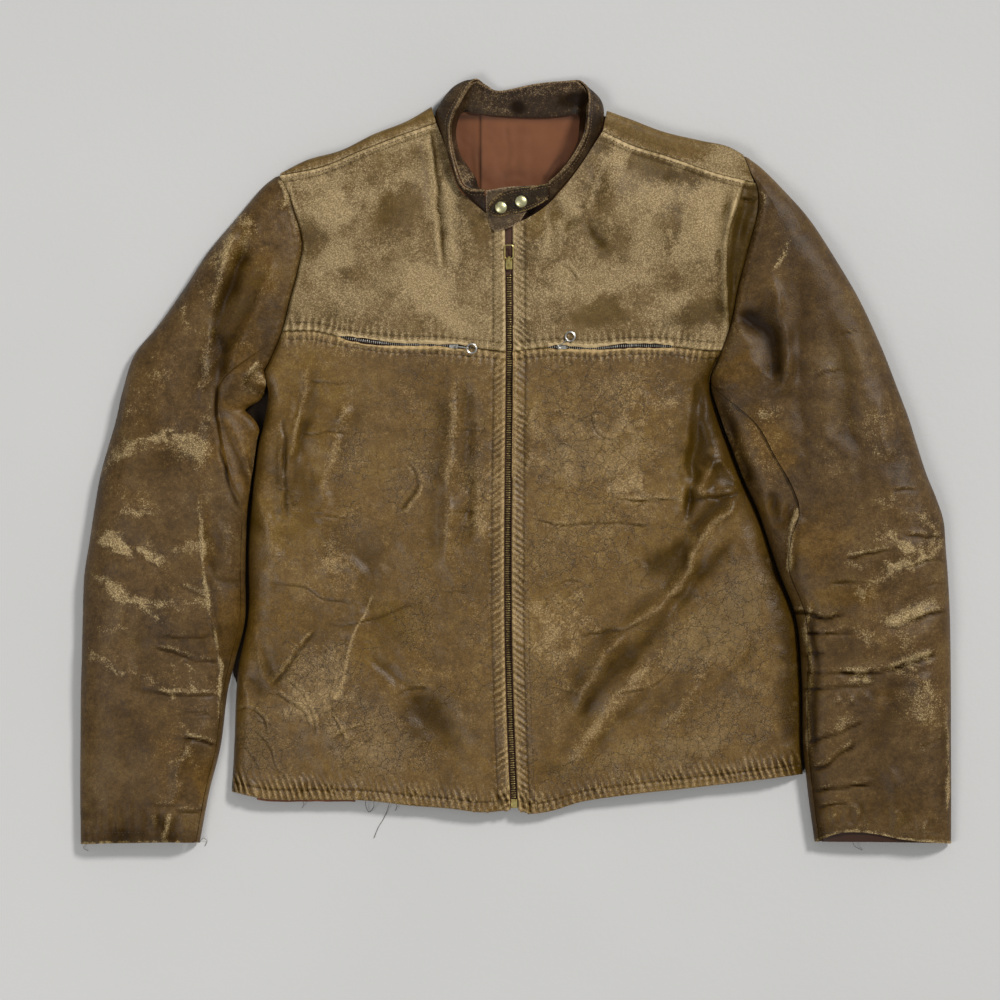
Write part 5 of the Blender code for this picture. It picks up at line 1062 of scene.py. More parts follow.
def build_fronts():
    for side in (RIGHT, LEFT):
        shares = np.linspace(0, 1, FRONT_COLUMNS) ** 1.6
        shares = np.concatenate([shares[:-6], 1 - (1 - shares[-7]) * np.linspace(1, 0, 12)[1:] ** 1.5])
        chest = chest_line(side, shares)
        levels = crowded(YOKE_LINES, 0.8, 1.4, 0.1)
        edge_y = SHOULDER[side][0][1] + (CHEST[side][0][1] - SHOULDER[side][0][1]) * levels
        edge = np.stack([body_side(side, edge_y, 0), edge_y], axis=-1)
        neck = along(NECK[side], np.linspace(0, 1, NECK_LINES))
        front = crowded(YOKE_LINES - NECK_LINES + 1, 0, 1.4, 0.2)[1:]
        front_y = NECK[side][-1][1] + (CHEST[side][-1][1] - NECK[side][-1][1]) * front
        front_edge = np.stack([zip_x(front_y) + side * ZIP_HALF_GAP, front_y], axis=-1)
        plan = patch(along(SHOULDER[side], shares), chest, edge, np.vstack([neck, front_edge]), levels)
        plan = pull_in(plan, (SEAM / 2, chest_gap(side, chest[:, 0])), (SEAM / 2, 0))
        grid, marks = dress_front(side, plan, False, 100 + side)
        yoke = shell("yoke_leather_" + side_name(side), grid, LEATHER, side, yoke_leather, marks, skip=2)
        declare(yoke, ["yoke_" + side_name(side)])

        levels = crowded(FRONT_LINES, 1.3, 1.0)
        edge_y = CHEST[side][0][1] + (HEM[side][0][1] - CHEST[side][0][1]) * levels
        edge = np.stack([body_side(side, edge_y, 0), edge_y], axis=-1)
        waist, foot = CHEST[side][-1][1], HEM[side][-1][1]
        middle_y = waist + (foot - waist) * levels
        middle = np.stack([zip_x(middle_y) + side * ZIP_HALF_GAP, middle_y], axis=-1)
        plan = patch(chest, along(HEM[side], shares), edge, middle, levels)
        armhole_seam = np.where(edge_y > SLEEVE[side][UNDERARM_ROW][1], SEAM / 2, 0)
        plan = pull_in(plan, (chest_gap(side, chest[:, 0]), 0), (armhole_seam, 0))
        grid, marks = dress_front(side, plan, True, 140 + side)
        front = shell("front_leather_" + side_name(side), grid, LEATHER, side, body_leather, marks, skip=2)
        declare(front, ["front_" + side_name(side)])


build_fronts()


# The sleeves: each is a top sleeve folded over an under sleeve, lying flat beside the body. The hide is
# darker and smoother here, with gritty pale bands where the elbows bent, and a turned, puckered cuff.
SLEEVE_SIDE_Z = 4.4
OUTER_ROLL, INNER_ROLL = 1.3, 0.9
SLEEVE_SIDE_ROUND = 9.0
LEDGE, LEDGE_SHARE = 3.0, 0.05
SLEEVE_LINES, TOP_COLUMNS = 360, 70
# The second gain is on the creases' stain and painted shade.
CREASE_GAIN = {RIGHT: (1.5, 1.25), LEFT: (1.9, 1.6)}  # on the creases' relief, and on their stain
CUFF_BACK = {
    RIGHT: ((0, 0), (0.3, 1), (0.7, 1.2), (1, 0)),
    LEFT: ((0, 0), (0.16, 8), (0.42, 8.5), (0.62, 4), (1, 0)),
}
# Creases, as on the fronts.
SLEEVE_CREASES = {
    RIGHT: (
        (3, 5.5, 1, 0.34, 0.3, ((-255, 220), (-263, 190), (-269, 163), (-274, 135), (-279, 107),
            (-283, 78), (-284, 50))),
        (-4, 7, 1, 0, 1.05, ((-246, 200), (-257, 175), (-264, 151), (-269, 129), (-270, 107), (-270, 87),
            (-269, 70))),
        (-1, 2.4, -1, 0.1, 1.3, ((-270, 78), (-272, 58), (-272, 36), (-269, 16), (-263, -8), (-257, -30),
            (-249, -51))),
        (1.6, 5, -1, 0.1, 0.3, ((-222, 190), (-226, 167), (-238, 139), (-248, 111), (-258, 87))),
        (-1.4, 6, 1, 0, 0.35, ((-232, 175), (-238, 155), (-248, 131), (-260, 107))),
        (1.8, 2.5, -1, 0.3, 0.8, ((-265, 45), (-258, 26), (-249, 4), (-242, -20), (-240, -39))),
        (1.4, 2.2, 1, 0.25, 0.7, ((-251, 36), (-243, 18), (-239, -2), (-239, -24))),
        (1.8, 2.2, 1, 0.5, 0.7, ((-231, 94), (-241, 85), (-248, 73), (-250, 58), (-251, 41))),
        (1.4, 2, 1, 0.85, 0.4, ((-288, -23), (-287, -49), (-285, -76), (-283, -109), (-277, -140),
            (-271, -167), (-268, -193), (-270, -215), (-273, -249))),
        (-1.1, 1.7, 1, 0.45, 0.8, ((-334, -169), (-306, -175), (-286, -181), (-265, -182))),
        (-1.1, 1.7, 1, 0.45, 0.8, ((-344, -207), (-317, -211), (-288, -212), (-263, -211))),
        (-0.8, 1.5, 1, 0.3, 0.6, ((-328, -158), (-292, -160), (-272, -158))),
        (-1.3, 1.8, 1, 0.5, 0.95, ((-306, -250), (-283, -255), (-270, -259))),
        (-1.1, 1.7, 1, 0.45, 0.8, ((-312, -318), (-292, -318), (-281, -314))),
        (-0.9, 1.5, 1, 0.6, 0.6, ((-310, -112), (-292, -118), (-279, -124))),
        (-0.6, 1.4, 1, 0.3, 0.5, ((-312, -229), (-292, -228), (-275, -230))),
        (-0.7, 1.5, 1, 0.3, 0.5, ((-332, -312), (-319, -314), (-306, -313))),
        (1.6, 5, 1, 0.2, 0.3, ((-283, -237), (-296, -260), (-307, -284), (-312, -311))),
        (1.3, 3.2, 1, 0.45, 0.5, ((-316, -319), (-319, -335), (-321, -349))),
        (1.1, 3, 1, 0.35, 0.4, ((-331, -319), (-331, -337))),
        (-0.9, 3, 1, 0.1, 0.5, ((-324, -319), (-326, -348))),
        (0.8, 3, 1, 0.1, 0.3, ((-360, -322), (-362, -346))),
        (-1, 6, 1, 0, 0.3, ((-343, -158), (-342, -182), (-343, -215))),
        (1.3, 6, -1, 0.1, 0.2, ((-351, 76), (-357, 52), (-363, 22))),
        (-1.2, 8, 1, 0, 0.25, ((-333, 99), (-337, 68), (-341, 36))),
        (1.2, 4, 1, 0.3, 0.3, ((-216, 260), (-208, 248), (-209, 238), (-218, 234))),
        (-0.8, 2, 1, 0.2, 0.4, ((-238, 230), (-240, 216), (-238, 202))),
        (0.9, 4, -1, 0.1, 0.2, ((-261, -29), (-260, -60), (-261, -89))),
        (1.2, 5, -1, 0.1, 0.35, ((-275, -54), (-264, -74), (-261, -100))),
        (-0.9, 3, 1, 0.1, 0.6, ((-275, -82), (-271, -105), (-257, -109), (-246, -105))),
        (-2.4, 1.6, 1, 0.3, 1.5, ((-245.4, 80.9), (-249.1, 69.9), (-249.1, 59), (-245.4, 52.6),
            (-240.8, 49.8))),
        (-1.4, 2.2, 1, 0.3, 1, ((-250, 46.2), (-245.4, 38.8), (-241.8, 27.9), (-239.9, 15.1))),
    ),
    LEFT: (
        (-3.4, 9, -1, 0, 1.1, ((202, 138), (218, 129), (231, 117), (237, 98), (235, 77))),
        (2.4, 5.5, -1, 0.1, 0.35, ((230, 170), (238, 144), (243, 117), (246, 86), (244, 66), (229, 62))),
        (1.2, 4, -1, 0.1, 0.3, ((222, 247), (226, 241), (222, 228), (218, 210), (214, 191))),
        (-1.4, 7, 1, 0, 0.35, ((258, 174), (257, 136), (258, 94), (263, 52), (264, 10), (265, -23))),
        (1.4, 8, 1, 0.05, 0.2, ((277, 94), (281, 52), (285, 10))),
        (-1.3, 7, 1, 0, 0.35, ((294, 115), (302, 73), (306, 35), (314, 6), (316, -23))),
        (1.2, 7, 1, 0.05, 0.2, ((327, 63), (334, 31), (338, 0))),
        (0.8, 3, 1, 0.1, 0.2, ((243, 243), (254, 224), (264, 205))),
        (-0.7, 1.3, 1, 0.3, 0.5, ((178, 67), (191, 66), (204, 69))),
        (-0.7, 1.3, 1, 0.3, 0.5, ((294, 117), (306, 118), (313, 120))),
        (2, 3, 1, 0.3, 0.8, ((180, 54), (187, 42), (195, 17), (205, -7), (212, -28))),
        (-0.7, 1.4, 1, 0.3, 0.6, ((269, 77), (281, 82), (298, 84))),
        (1.7, 2.6, 1, 0.8, 0.6, ((258, -34), (252, -56), (249, -82), (249, -107))),
        (1.7, 2.6, 1, 0.8, 0.6, ((260, -116), (267, -133), (264, -149), (267, -171), (269, -193),
            (267, -211), (266, -238), (267, -258), (274, -280))),
        (-2.2, 5, -1, 0.1, 0.6, ((233, -25), (237, -40), (239, -54), (255, -40))),
        (-1.2, 1.8, 1, 0.45, 0.85, ((248, -137), (266, -137), (284, -143), (301, -136))),
        (-1, 1.6, 1, 0.4, 0.7, ((257, -156), (292, -156), (316, -155))),
        (-1, 1.7, 1, 0.35, 0.7, ((257, -175), (270, -175), (285, -173))),
        (-1.6, 2, 1, 0.5, 0.95, ((259, -191), (284, -192), (323, -192), (352, -185), (381, -175),
            (392, -171))),
        (-1.4, 1.9, 1, 0.4, 0.9, ((259, -207), (292, -206), (315, -204), (330, -201))),
        (-1.4, 1.9, 1, 0.55, 0.85, ((337, -154), (359, -145), (381, -138), (396, -136))),
        (-0.8, 1.5, 1, 0.4, 0.6, ((343, -26), (368, -26))),
        (-1.2, 1.7, 1, 0.5, 0.8, ((352, -67), (372, -68), (393, -69))),
        (-0.9, 1.6, 1, 0.35, 0.7, ((297, -89), (315, -85), (328, -82), (346, -80))),
        (-1.2, 1.8, 1, 0.4, 0.85, ((263, -256), (284, -249), (301, -244), (321, -232))),
        (-1.4, 1.9, 1, 0.4, 0.9, ((267, -280), (284, -276), (297, -265), (313, -255))),
        (-1, 1.7, 1, 0.4, 0.7, ((267, -300), (297, -297), (328, -293))),
        (-0.9, 1.6, 1, 0.4, 0.7, ((274, -316), (297, -315), (306, -316))),
        (-0.9, 1.6, 1, 0.35, 0.6, ((364, -262), (381, -255), (397, -249))),
        (-0.8, 1.5, 1, 0.3, 0.5, ((284, -110), (306, -110), (323, -109))),
        (-0.9, 1.6, 1, 0.3, 0.6, ((359, -98), (372, -90), (393, -89))),
        (-0.8, 1.6, 1, 0.3, 0.5, ((372, -113), (381, -110), (394, -110))),
        (1, 2.6, 1, 0.45, 0.5, ((306, -193), (307, -202))),
        (1, 2.6, 1, 0.45, 0.5, ((318, -193), (319, -201))),
        (1.2, 3.2, 1, 0.4, 0.5, ((292, -211), (294, -221))),
        (1.2, 3.2, 1, 0.4, 0.5, ((304, -211), (306, -221))),
        (1.2, 3.2, 1, 0.4, 0.5, ((316, -208), (319, -219))),
        (1.3, 3, 1, 0.45, 0.5, ((307, -313), (312, -333))),
        (1.2, 4, 1, 0.2, 0.4, ((346, -317), (350, -337))),
        (1.2, 4, 1, 0.3, 0.4, ((370, -326), (376, -346))),
        (1, 2.2, -1, 0.65, 0.3, ((393, -215), (394, -260), (395, -300), (393, -326))),
        (1.6, 10, -1, 0.05, 0.2, ((366, -193), (372, -215), (370, -238))),
        (-1, 8, -1, 0, 0.3, ((343, -209), (337, -238), (328, -264))),
        (1, 7, -1, 0.05, 0.2, ((343, -277), (346, -300), (348, -313))),
    ),
}
# Gritty bands where the finish has gone: wear, half width, and the line.
SLEEVE_BANDS = {
    RIGHT: (
        (0.75, 5, ((-378, -12), (-367, 3), (-349, 14), (-331, 21))),
        (0.55, 4, ((-334, 21), (-317, 26), (-303, 30))),
        (0.3, 2, ((-359, 21), (-337, 18), (-313, 23))),
        (0.35, 1.6, ((-299, 37), (-287, 40), (-275, 40))),
        (0.45, 2.2, ((-305, 149), (-300, 131), (-295, 121), (-288, 115))),
        (0.3, 2.2, ((-293, 169), (-289, 155), (-278, 149))),
        (0.55, 2.6, ((-214, 260), (-207, 248), (-210, 239))),
        (0.5, 2.2, ((-204, 233), (-197, 219), (-196, 200))),
        (0.85, 4.5, ((-388, -63), (-372, -71), (-350, -80), (-328, -85), (-321, -96))),
        (0.5, 4, ((-317, -82), (-297, -77), (-275, -75))),
        (0.8, 4.5, ((-392, -106), (-376, -107), (-363, -120), (-345, -127), (-323, -129))),
        (0.55, 3.5, ((-323, -129), (-301, -129), (-275, -129))),
        (0.55, 3, ((-339, -134), (-328, -140), (-322, -143))),
        (0.45, 3.2, ((-361, -48), (-341, -45), (-311, -43))),
        (0.4, 3, ((-379, -64), (-368, -69), (-354, -67))),
        (0.55, 4, ((-390, -171), (-376, -183), (-359, -191), (-344, -193))),
        (0.3, 3, ((-343, -193), (-328, -200))),
        (0.3, 3, ((-388, -147), (-372, -151), (-350, -153))),
        (0.75, 2.2, ((-298, -180), (-297, -193))),
        (0.55, 2.2, ((-313, -180), (-313, -187))),
        (0.65, 2.2, ((-296, -198), (-294, -206))),
        (0.5, 3.4, ((-312, -200), (-312, -216))),
        (0.3, 3, ((-297, -266), (-292, -282))),
    ),
    LEFT: (
        (0.75, 1, ((251, 203), (248, 195), (242, 190))),
        (0.75, 1, ((244, 197), (238, 186), (232, 174))),
        (0.45, 1.4, ((222, 248), (226, 241), (223, 232))),
        (0.45, 6, ((218, 44), (231, 43), (245, 44))),
        (0.4, 4, ((187, 49), (195, 47))),
        (0.35, 8, ((306, 140), (308, 119))),
        (0.55, 3.6, ((330, -32), (340, -35), (343, -27))),
        (0.45, 3, ((310, -40), (319, -44))),
        (0.75, 5, ((327, -68), (337, -64), (350, -74), (363, -82))),
        (0.8, 7, ((366, -85), (377, -79), (392, -76))),
        (0.75, 6, ((360, -91), (343, -98), (332, -106))),
        (0.65, 5, ((323, -111), (315, -116), (308, -123))),
        (0.45, 6, ((366, -51), (379, -56), (390, -61))),
        (0.75, 5.5, ((386, -127), (363, -136), (341, -147))),
        (0.45, 4, ((312, -158), (321, -162), (329, -169))),
        (0.4, 3, ((322, -179), (328, -179))),
        (0.32, 12, ((352, -153), (357, -171))),
        (0.4, 4, ((343, -191), (366, -181), (381, -176))),
        (0.4, 3, ((301, -94), (315, -94))),
        (0.35, 3, ((301, -82), (315, -80))),
        (0.35, 3, ((279, -113), (292, -113))),
        (0.45, 3.2, ((305, -197), (331, -198))),
        (0.4, 6, ((292, -232), (302, -239))),
        (0.16, 16, ((363, -202), (366, -238))),
        (0.4, 4, ((366, -260), (373, -260))),
    ),
}
# Patches, as on the fronts: real stains and rubbed places, painted shade in the sleeves' valleys, and painted
# highlight, some of it golden, on their bulges and inner edges.
SLEEVE_PATCHES = (
    (-293, 12, 16, 20, 80, 0.35, 0, 0, 0.1), (-331, 0, 30, 8, 10, -0.15, 0.25, 0, 0),
    (-313, 89, 16, 16, 0, 0.16, 0, 0, 0), (-246, 222, 8, 8, 0, 0.35, 0, 0, 0.3),
    (-228, 167, 26, 16, 70, 0.1, 0, 0, 0.6), (-246, 107, 34, 14, 60, 0, 0, 0, 0.8),
    (-258, 28, 20, 40, -20, -0.2, 0, 0.1, 1), (-218, 226, 20, 12, 60, 0.12, 0.1, 0, 0.1),
    (-278, 187, 40, 10, 60, 0.12, 0, 0, -0.2), (-261, -140, 20, 30, 0, -0.1, 0.2, 0, 0.9),
    (-261, -160, 20, 16, 60, -0.2, 0.45, 0, 0.6), (-283, -82, 12, 40, 0, 0, 0, 0, 0.5),
    (-261, -67, 14, 30, 0, 0.04, 0, 0, -0.2), (-310, -158, 34, 12, -5, -0.1, 0.24, 0, -0.2),
    (-372, -237, 40, 60, 0, -0.1, 0.04, 0, 0.1), (-292, -237, 16, 16, 0, 0.1, -0.05, 0, 0),
    (-363, -333, 50, 20, 0, 0, 0.26, 0, 0), (-283, -293, 12, 30, 15, 0, 0, 0, 0.8),
    (212, 105, 24, 12, 60, -0.1, 0.1, 0, 0.4), (201, 82, 24, 16, 0, 0, 0, 0, 0.8),
    (212, 25, 40, 14, 80, 0.14, 0, 0, 0.9), (233, 0, 30, 20, 80, 0.05, 0, 0, 0.5),
    (285, 132, 20, 26, 0, -0.15, 0.3, 0, 0), (254, 115, 12, 60, 0, -0.1, 0.1, 0, 0),
    (306, 126, 14, 26, 0, 0.12, 0, 0.1, 0.3), (338, 10, 16, 12, 0, 0.26, 0, 0, 0),
    (285, 2, 22, 20, 0, 0.14, 0, 0, 0), (239, 220, 20, 34, 30, 0.05, 0.08, 0, -0.4),
    (260, 186, 30, 50, 30, -0.05, 0.16, 0, -0.2), (279, -71, 26, 34, 0, -0.05, 0, 0, 0.7),
    (235, -45, 14, 20, 30, -0.1, 0.15, 0, 0.9), (292, -122, 30, 12, 0, 0, 0, 0, 0.6),
    (292, -171, 30, 12, 0, -0.1, 0.26, 0, 0), (343, -136, 26, 12, 20, -0.1, 0.2, 0, 0),
    (332, -215, 14, 9, 0, 0, 0.05, 0, 0.8), (284, -266, 24, 12, 20, 0.1, 0, 0, 0.2),
    (337, -271, 60, 30, 20, -0.15, 0.12, 0, -0.1), (328, -322, 50, 18, 0, 0, 0.2, 0, 0),
    (284, -326, 16, 18, 0, 0.1, 0.1, 0, 0.3), (-306.6, 11.4, 24, 20, 0, -0.1, 0.18, 0, 0),
    (-236.3, 68.1, 7, 20, 0, 0.45, -0.2, 0, 0.4), (-231.7, 207.9, 26, 16, 50, 0.06, -0.1, 0, 0),
    (-236.3, 68.1, 8, 18, 0, 0.1, -0.2, 0, 1), (-239, 42.5, 8, 10, -40, 0.4, -0.2, 0, 0.9),
    (-255.5, 2.3, 10, 50, 14, 0, -0.2, 0, 1), (-251.8, 194.2, 28, 18, 50, 0.28, -0.1, 0, 0.7),
    (-284.7, 20.6, 10, 30, 0, 0.3, 0, 0, 0.2), (-282, -34.3, 9, 24, 0, 0.08, 0.08, 0, 0.2),
    (-304.8, 9.6, 22, 14, 10, 0.3, -0.05, 0, 0.3), (-343.2, 57.1, 18, 30, -20, 0.14, -0.05, 0, 0.2),
    (-314, -271.9, 18, 44, 0, 0.1, -0.1, 0, 0.4), (325.8, 38.8, 24, 20, 0, 0.2, -0.1, 0, 0.2),
    (316.7, 157.7, 8, 34, 24, 0.24, 0, 0.2, 0.1), (232.6, 20.6, 18, 30, 30, 0.1, -0.1, 0, 0.9),
    (342.3, -144, 30, 30, 0, 0.1, -0.05, 0, 0.2), (-242.7, 112, 14, 24, 10, 0.1, -0.1, 0, 0.6),
    (-352.3, -34.3, 24, 16, 0, 0.18, -0.1, 0, 0.2), (-361.5, -322.2, 44, 26, 0, -0.1, 0.34, 0, 0),
    (-343.2, -343.2, 60, 8, 0, -0.1, 0.34, 0, 0), (296.6, -127.5, 20, 30, 0, -0.12, 0.38, 0, 0),
    (371.5, -217.1, 26, 30, 0, 0.24, -0.1, 0, 0.2), (307.6, 128.4, 34, 20, -60, -0.1, 0.3, 0, 0),
    (356, -38.8, 24, 20, 0, 0.14, -0.1, 0, 0.1), (-343.2, 57.1, 24, 20, 60, 0.1, -0.08, 0, 0),
)


# At the armpit the top sleeve's edge curls out over the hole there, as a tongue and a lip.
CURL_COLUMNS = ("y", "reach", "lift")
CURL = {
    RIGHT: (
        (-70, 0, 0), (-56, 0, 0), (-44, 2.6, 0.2), (-20, 3.6, 0.3), (2, 4, 0.3), (14, 6.5, 0.5),
        (22, 9.5, 1.4), (29, 13, 3), (36, 12, 3.4), (43, 8, 3), (48, 5, 1.6), (51, 9, 0.8), (55, 16, 1.6),
        (60, 19, 3), (66, 16, 3.6), (72, 11, 3.6), (78, 4.5, 2), (83, 0, 0), (90, 0, 0),
    ),
}


def banded(table, x, y, seed):
    """Wear from a table of rubbed bands with ragged edges."""
    wear_and_highlight = np.zeros(x.shape)
    x, y = x + 3.5 * noise(x, y, 9, seed + 90), y + 3.5 * noise(x, y, 9, seed + 91)
    for number, (amount, half, points) in enumerate(table):
        line, length = fine_line(points)
        off, run = offsets(line, x, y, 4 * half + 4)
        ragged = 1 + 0.5 * noise(x, y, 4.5, seed) + 0.3 * noise(run, off, 9, seed + number)
        ends = 0.35 + 0.65 * ease(np.minimum(run, length - run) / (0.25 * length) + 0.2)
        wear_and_highlight += 0.82 * amount * ends * ragged * bell(off, 1.3 * half)
    return wear_and_highlight


def sleeve_at(side, numbers):
    """A sleeve's sections at fractional row numbers, each column as an upright array."""
    row = dict(zip(SLEEVE_COLUMNS, read_rows(SLEEVE[side], numbers).T[:, :, None]))
    for column in ("strip", "shelf", "drop"):
        row[column] = np.maximum(row[column], 0)
    row["width"] = np.hypot(row["outer_x"] - row["inner_x"], row["outer_y"] - row["inner_y"])
    row["shut"] = ease(np.asarray(numbers)[:, None] - UNDERARM_ROW + 1)
    row["ledge"] = np.minimum(LEDGE / row["width"], LEDGE_SHARE)
    return row


def sleeve_upper(side, row, shares, sunk=True):
    """Upper face of the sleeve: points at these shares of each section's width from the inner end."""
    x = row["inner_x"] + (row["outer_x"] - row["inner_x"]) * shares
    y = row["inner_y"] + (row["outer_y"] - row["inner_y"]) * shares
    width, crown, shut = row["width"], row["crown"], row["shut"]
    outer = SLEEVE_SIDE_Z + (crown - SLEEVE_SIDE_Z) * roll((1 - shares) * width / (crown * OUTER_ROLL))
    start = body_column(side, row["inner_y"], "edge_z") * (1 - shut) + SLEEVE_SIDE_Z * shut
    inner = start + (crown - start) * roll(shares * width / (crown * INNER_ROLL))
    folds = fold_height(x, y) * ease(np.minimum(1 - shares, shares * 1.5) * width / FOLD_MARGIN)
    if sunk:
        low = row["drop"] * (1 - ease((shares - row["shelf"]) / row["ledge"])) * (row["shelf"] > 0)
        folds -= low * (shut + (1 - shut) * ease(shares / 0.1))
    return np.stack([x, y, np.minimum(inner, outer) + folds], axis=-1)


def dress_sleeve(side, grid, shares, row, seed, lower=False):
    """Adds the creases to the sleeve's grid, and gives its marks."""
    x, y = grid[..., 0], grid[..., 1]
    down = np.broadcast_to(-row["inner_y"], x.shape)
    relief = 0.9 * noise(x, y, 30, seed) + 0.4 * noise(x * 1.4, y, 13, seed + 1)
    relief += 0.14 * noise(x, y, 5, seed + 2)
    wear_and_highlight = -0.06 + 0.10 * noise(x, y, 20, seed + 3) + 0.08 * noise(x, y, 8, seed + 4)
    stain_and_shade = 0.10 + 0.10 * noise(x, y, 34, seed + 5) + 0.06 * noise(x, y, 12, seed + 6)
    crackle = 0.12 + 0.12 * noise(x, y, 26, seed + 7)
    gold_and_highlight = 0.18 + 0.2 * noise(x, y, 40, seed + 8)
    folds, ridge_wear_and_highlight, crease_shade = creased(SLEEVE_CREASES[side], x, y, seed + 9)
    relief += CREASE_GAIN[side][0] * folds
    wear_and_highlight += 1.2 * ridge_wear_and_highlight + banded(SLEEVE_BANDS[side], x, y, seed + 10)
    stain_and_shade += CREASE_GAIN[side][1] * crease_shade
    # Painted shade along the left sleeve's inner edge below the armpit, where it lies beside the body.
    if side == LEFT:
        stain_and_shade += 1.2 * row["shut"] * bell(shares * row["width"], 12) * ease((60 - y) / 60)
    added = patched(SLEEVE_PATCHES, x, y, 23)
    wear_and_highlight, stain_and_shade, crackle, gold_and_highlight = wear_and_highlight + added[0], stain_and_shade + added[1], crackle + added[2], gold_and_highlight + added[3]
    to_cuff = np.broadcast_to(row["to_cuff"], x.shape)
    if not lower:
        gathers = puckers(to_cuff - 12, x, 20, seed + 11, 11.0)
        relief += 0.7 * gathers - 0.5 * bell(to_cuff - 9, 1.3) - 1.2 * (1 - roll(to_cuff / 2.5))
        wear_and_highlight += 0.12 * np.maximum(gathers, 0)
        stain_and_shade += 0.25 * bell(to_cuff - 4, 7)
        seam_off = shares * row["width"]
        armhole_part = 1 - row["shut"]
        pleats = puckers(seam_off, down, 7, seed + 12, 7.5)
        relief += armhole_part * (0.5 * pleats * ease(seam_off / 3) + turned_edge(seam_off, 1.2, 3.0))
        relief += armhole_part * 0.7 * bell(seam_off - 4, 2.2)
        wear_and_highlight += armhole_part * 0.2 * bell(seam_off - 3, 2.0)
        stain_and_shade += armhole_part * 0.6 * bell(seam_off, 1.6)
    wear_and_highlight += (0.9 + 0.9 * noise(x, y, 3.5, seed + 13)) * bell(to_cuff, 2.2)
    rim = np.minimum(shares, 1 - shares) * row["width"]
    grid = grid.copy()
    grid[..., 2] += relief * ease(rim / 7 + 0.04) * ease(to_cuff / 3 + 0.3)
    grid[..., 2] = np.maximum(grid[..., 2], SLEEVE_SIDE_Z + 0.1)
    marks = {"wear_and_highlight": wear_and_highlight, "stain_and_shade": np.clip(stain_and_shade, 0, 2), "crackle": crackle, "gold_and_highlight": np.clip(gold_and_highlight, 0, 1)}
    return grid, marks


def curled(side, grid):
    """The sleeve with its inner edge curled out over the armpit."""
    y = grid[:, :1, 1]
    curl = dict(zip(CURL_COLUMNS, np.asarray(CURL[side], float).T))
    from_edge = np.linalg.norm(grid[..., :2] - grid[:, :1, :2], axis=-1)
    grid = grid.copy()
    grid[..., 0] -= side * smooth(y, curl["y"], curl["reach"]) * (1 - ease(from_edge / 15))
    grid[..., 2] += smooth(y, curl["y"], curl["lift"]) * bell(from_edge - 3, 5)
    return grid


def build_sleeves():
    for side in (RIGHT, LEFT):
        numbers = (len(SLEEVE[side]) - 1) * crowded(SLEEVE_LINES, 0, 0.9, 0.5)
        row = sleeve_at(side, numbers)
        row["to_cuff"] = np.maximum(row["inner_y"] - row["inner_y"][-1], 0) + 0 * row["width"]
        width, strip, drop = row["width"], row["strip"], row["drop"]
        start = strip + SEAM / width
        shelf = np.maximum(row["shelf"], start + 0.07)
        beyond = shelf + row["ledge"]
        near = np.linspace(0, 1, 16)[None, :-1]
        slope = np.linspace(0, 1, 6)[None, :-1]
        even = np.linspace(0, 1, TOP_COLUMNS)[None]
        spread = 0.55 * (0.5 - 0.5 * np.cos(np.linspace(0, math.pi, TOP_COLUMNS)))[None] + 0.45 * even
        shares = np.hstack([start + (shelf - start) * near, shelf + (beyond - shelf) * slope,
                            beyond + (1 - beyond) * spread])
        grid = sleeve_upper(side, row, shares)
        grid, marks = dress_sleeve(side, grid, shares, row, 200 + side)
        grid[:, -1, 2] += SEAM
        if side in CURL:
            grid = curled(side, grid)
        set_back = smooth(shares, *np.asarray(CUFF_BACK[side], float).T)
        grid[..., 1] += set_back * ease(numbers - len(SLEEVE[side]) + 2.2)[:, None]
        name = side_name(side)
        top = shell("top_sleeve_leather_" + name, grid, LEATHER, -side, sleeve_leather, marks, skip=2)
        declare(top, ["top_sleeve_" + name])

        turn = np.linspace(0, 1, 7) ** 1.4
        rounded = np.minimum(SLEEVE_SIDE_ROUND, 0.14 * width)
        away = np.hstack([rounded * turn[None], width * np.linspace(0.15, 0.85, 9)[None],
                          width - rounded * turn[None, ::-1]])
        shut = row["shut"] > 0.5
        lift = SLEEVE_SIDE_Z * (1 - roll(np.where(shut, np.minimum(away, width - away), away) / rounded))
        place = 1 - np.minimum(away, np.where(shut, width, width - SEAM)) / width
        base = np.stack([row["inner_x"] + (row["outer_x"] - row["inner_x"]) * place,
                         row["inner_y"] + (row["outer_y"] - row["inner_y"]) * place, lift], axis=-1)
        cells = 6 if side == RIGHT else 24
        part = np.linspace(0, 1, cells + 1)[None, 1:] ** 1.3 * (strip - SEAM / width)
        shown = sleeve_upper(side, row, part, sunk=False)
        lowest = SLEEVE_SIDE_Z + REST
        shown[..., 2] = np.maximum(shown[..., 2] - drop * ease(part / np.maximum(strip, 1e-4)), lowest)
        shown, strip_marks = dress_sleeve(side, shown, part + 0.06, row, 240 + side, lower=True)
        shown[numbers < UNDERARM_ROW] = np.nan
        under = np.concatenate([base, shown], axis=1)
        marks = {mark: np.concatenate([np.full(base.shape[:2], level), strip_marks[mark]], axis=1)
                 for mark, level in (("wear_and_highlight", 0.15), ("stain_and_shade", 0.12), ("crackle", 0.1), ("gold_and_highlight", 0.2))}
        sleeve = shell("under_sleeve_leather_" + name, under, LEATHER, -side, sleeve_leather, marks)
        declare(sleeve, ["under_sleeve_" + name])


sleeve_leather = leather("waxed_cowhide_sleeve", "#3F2D14", "#533D20", "#624C2B", "#BDA476", 0.47, 0.24, 1.3)
build_sleeves()


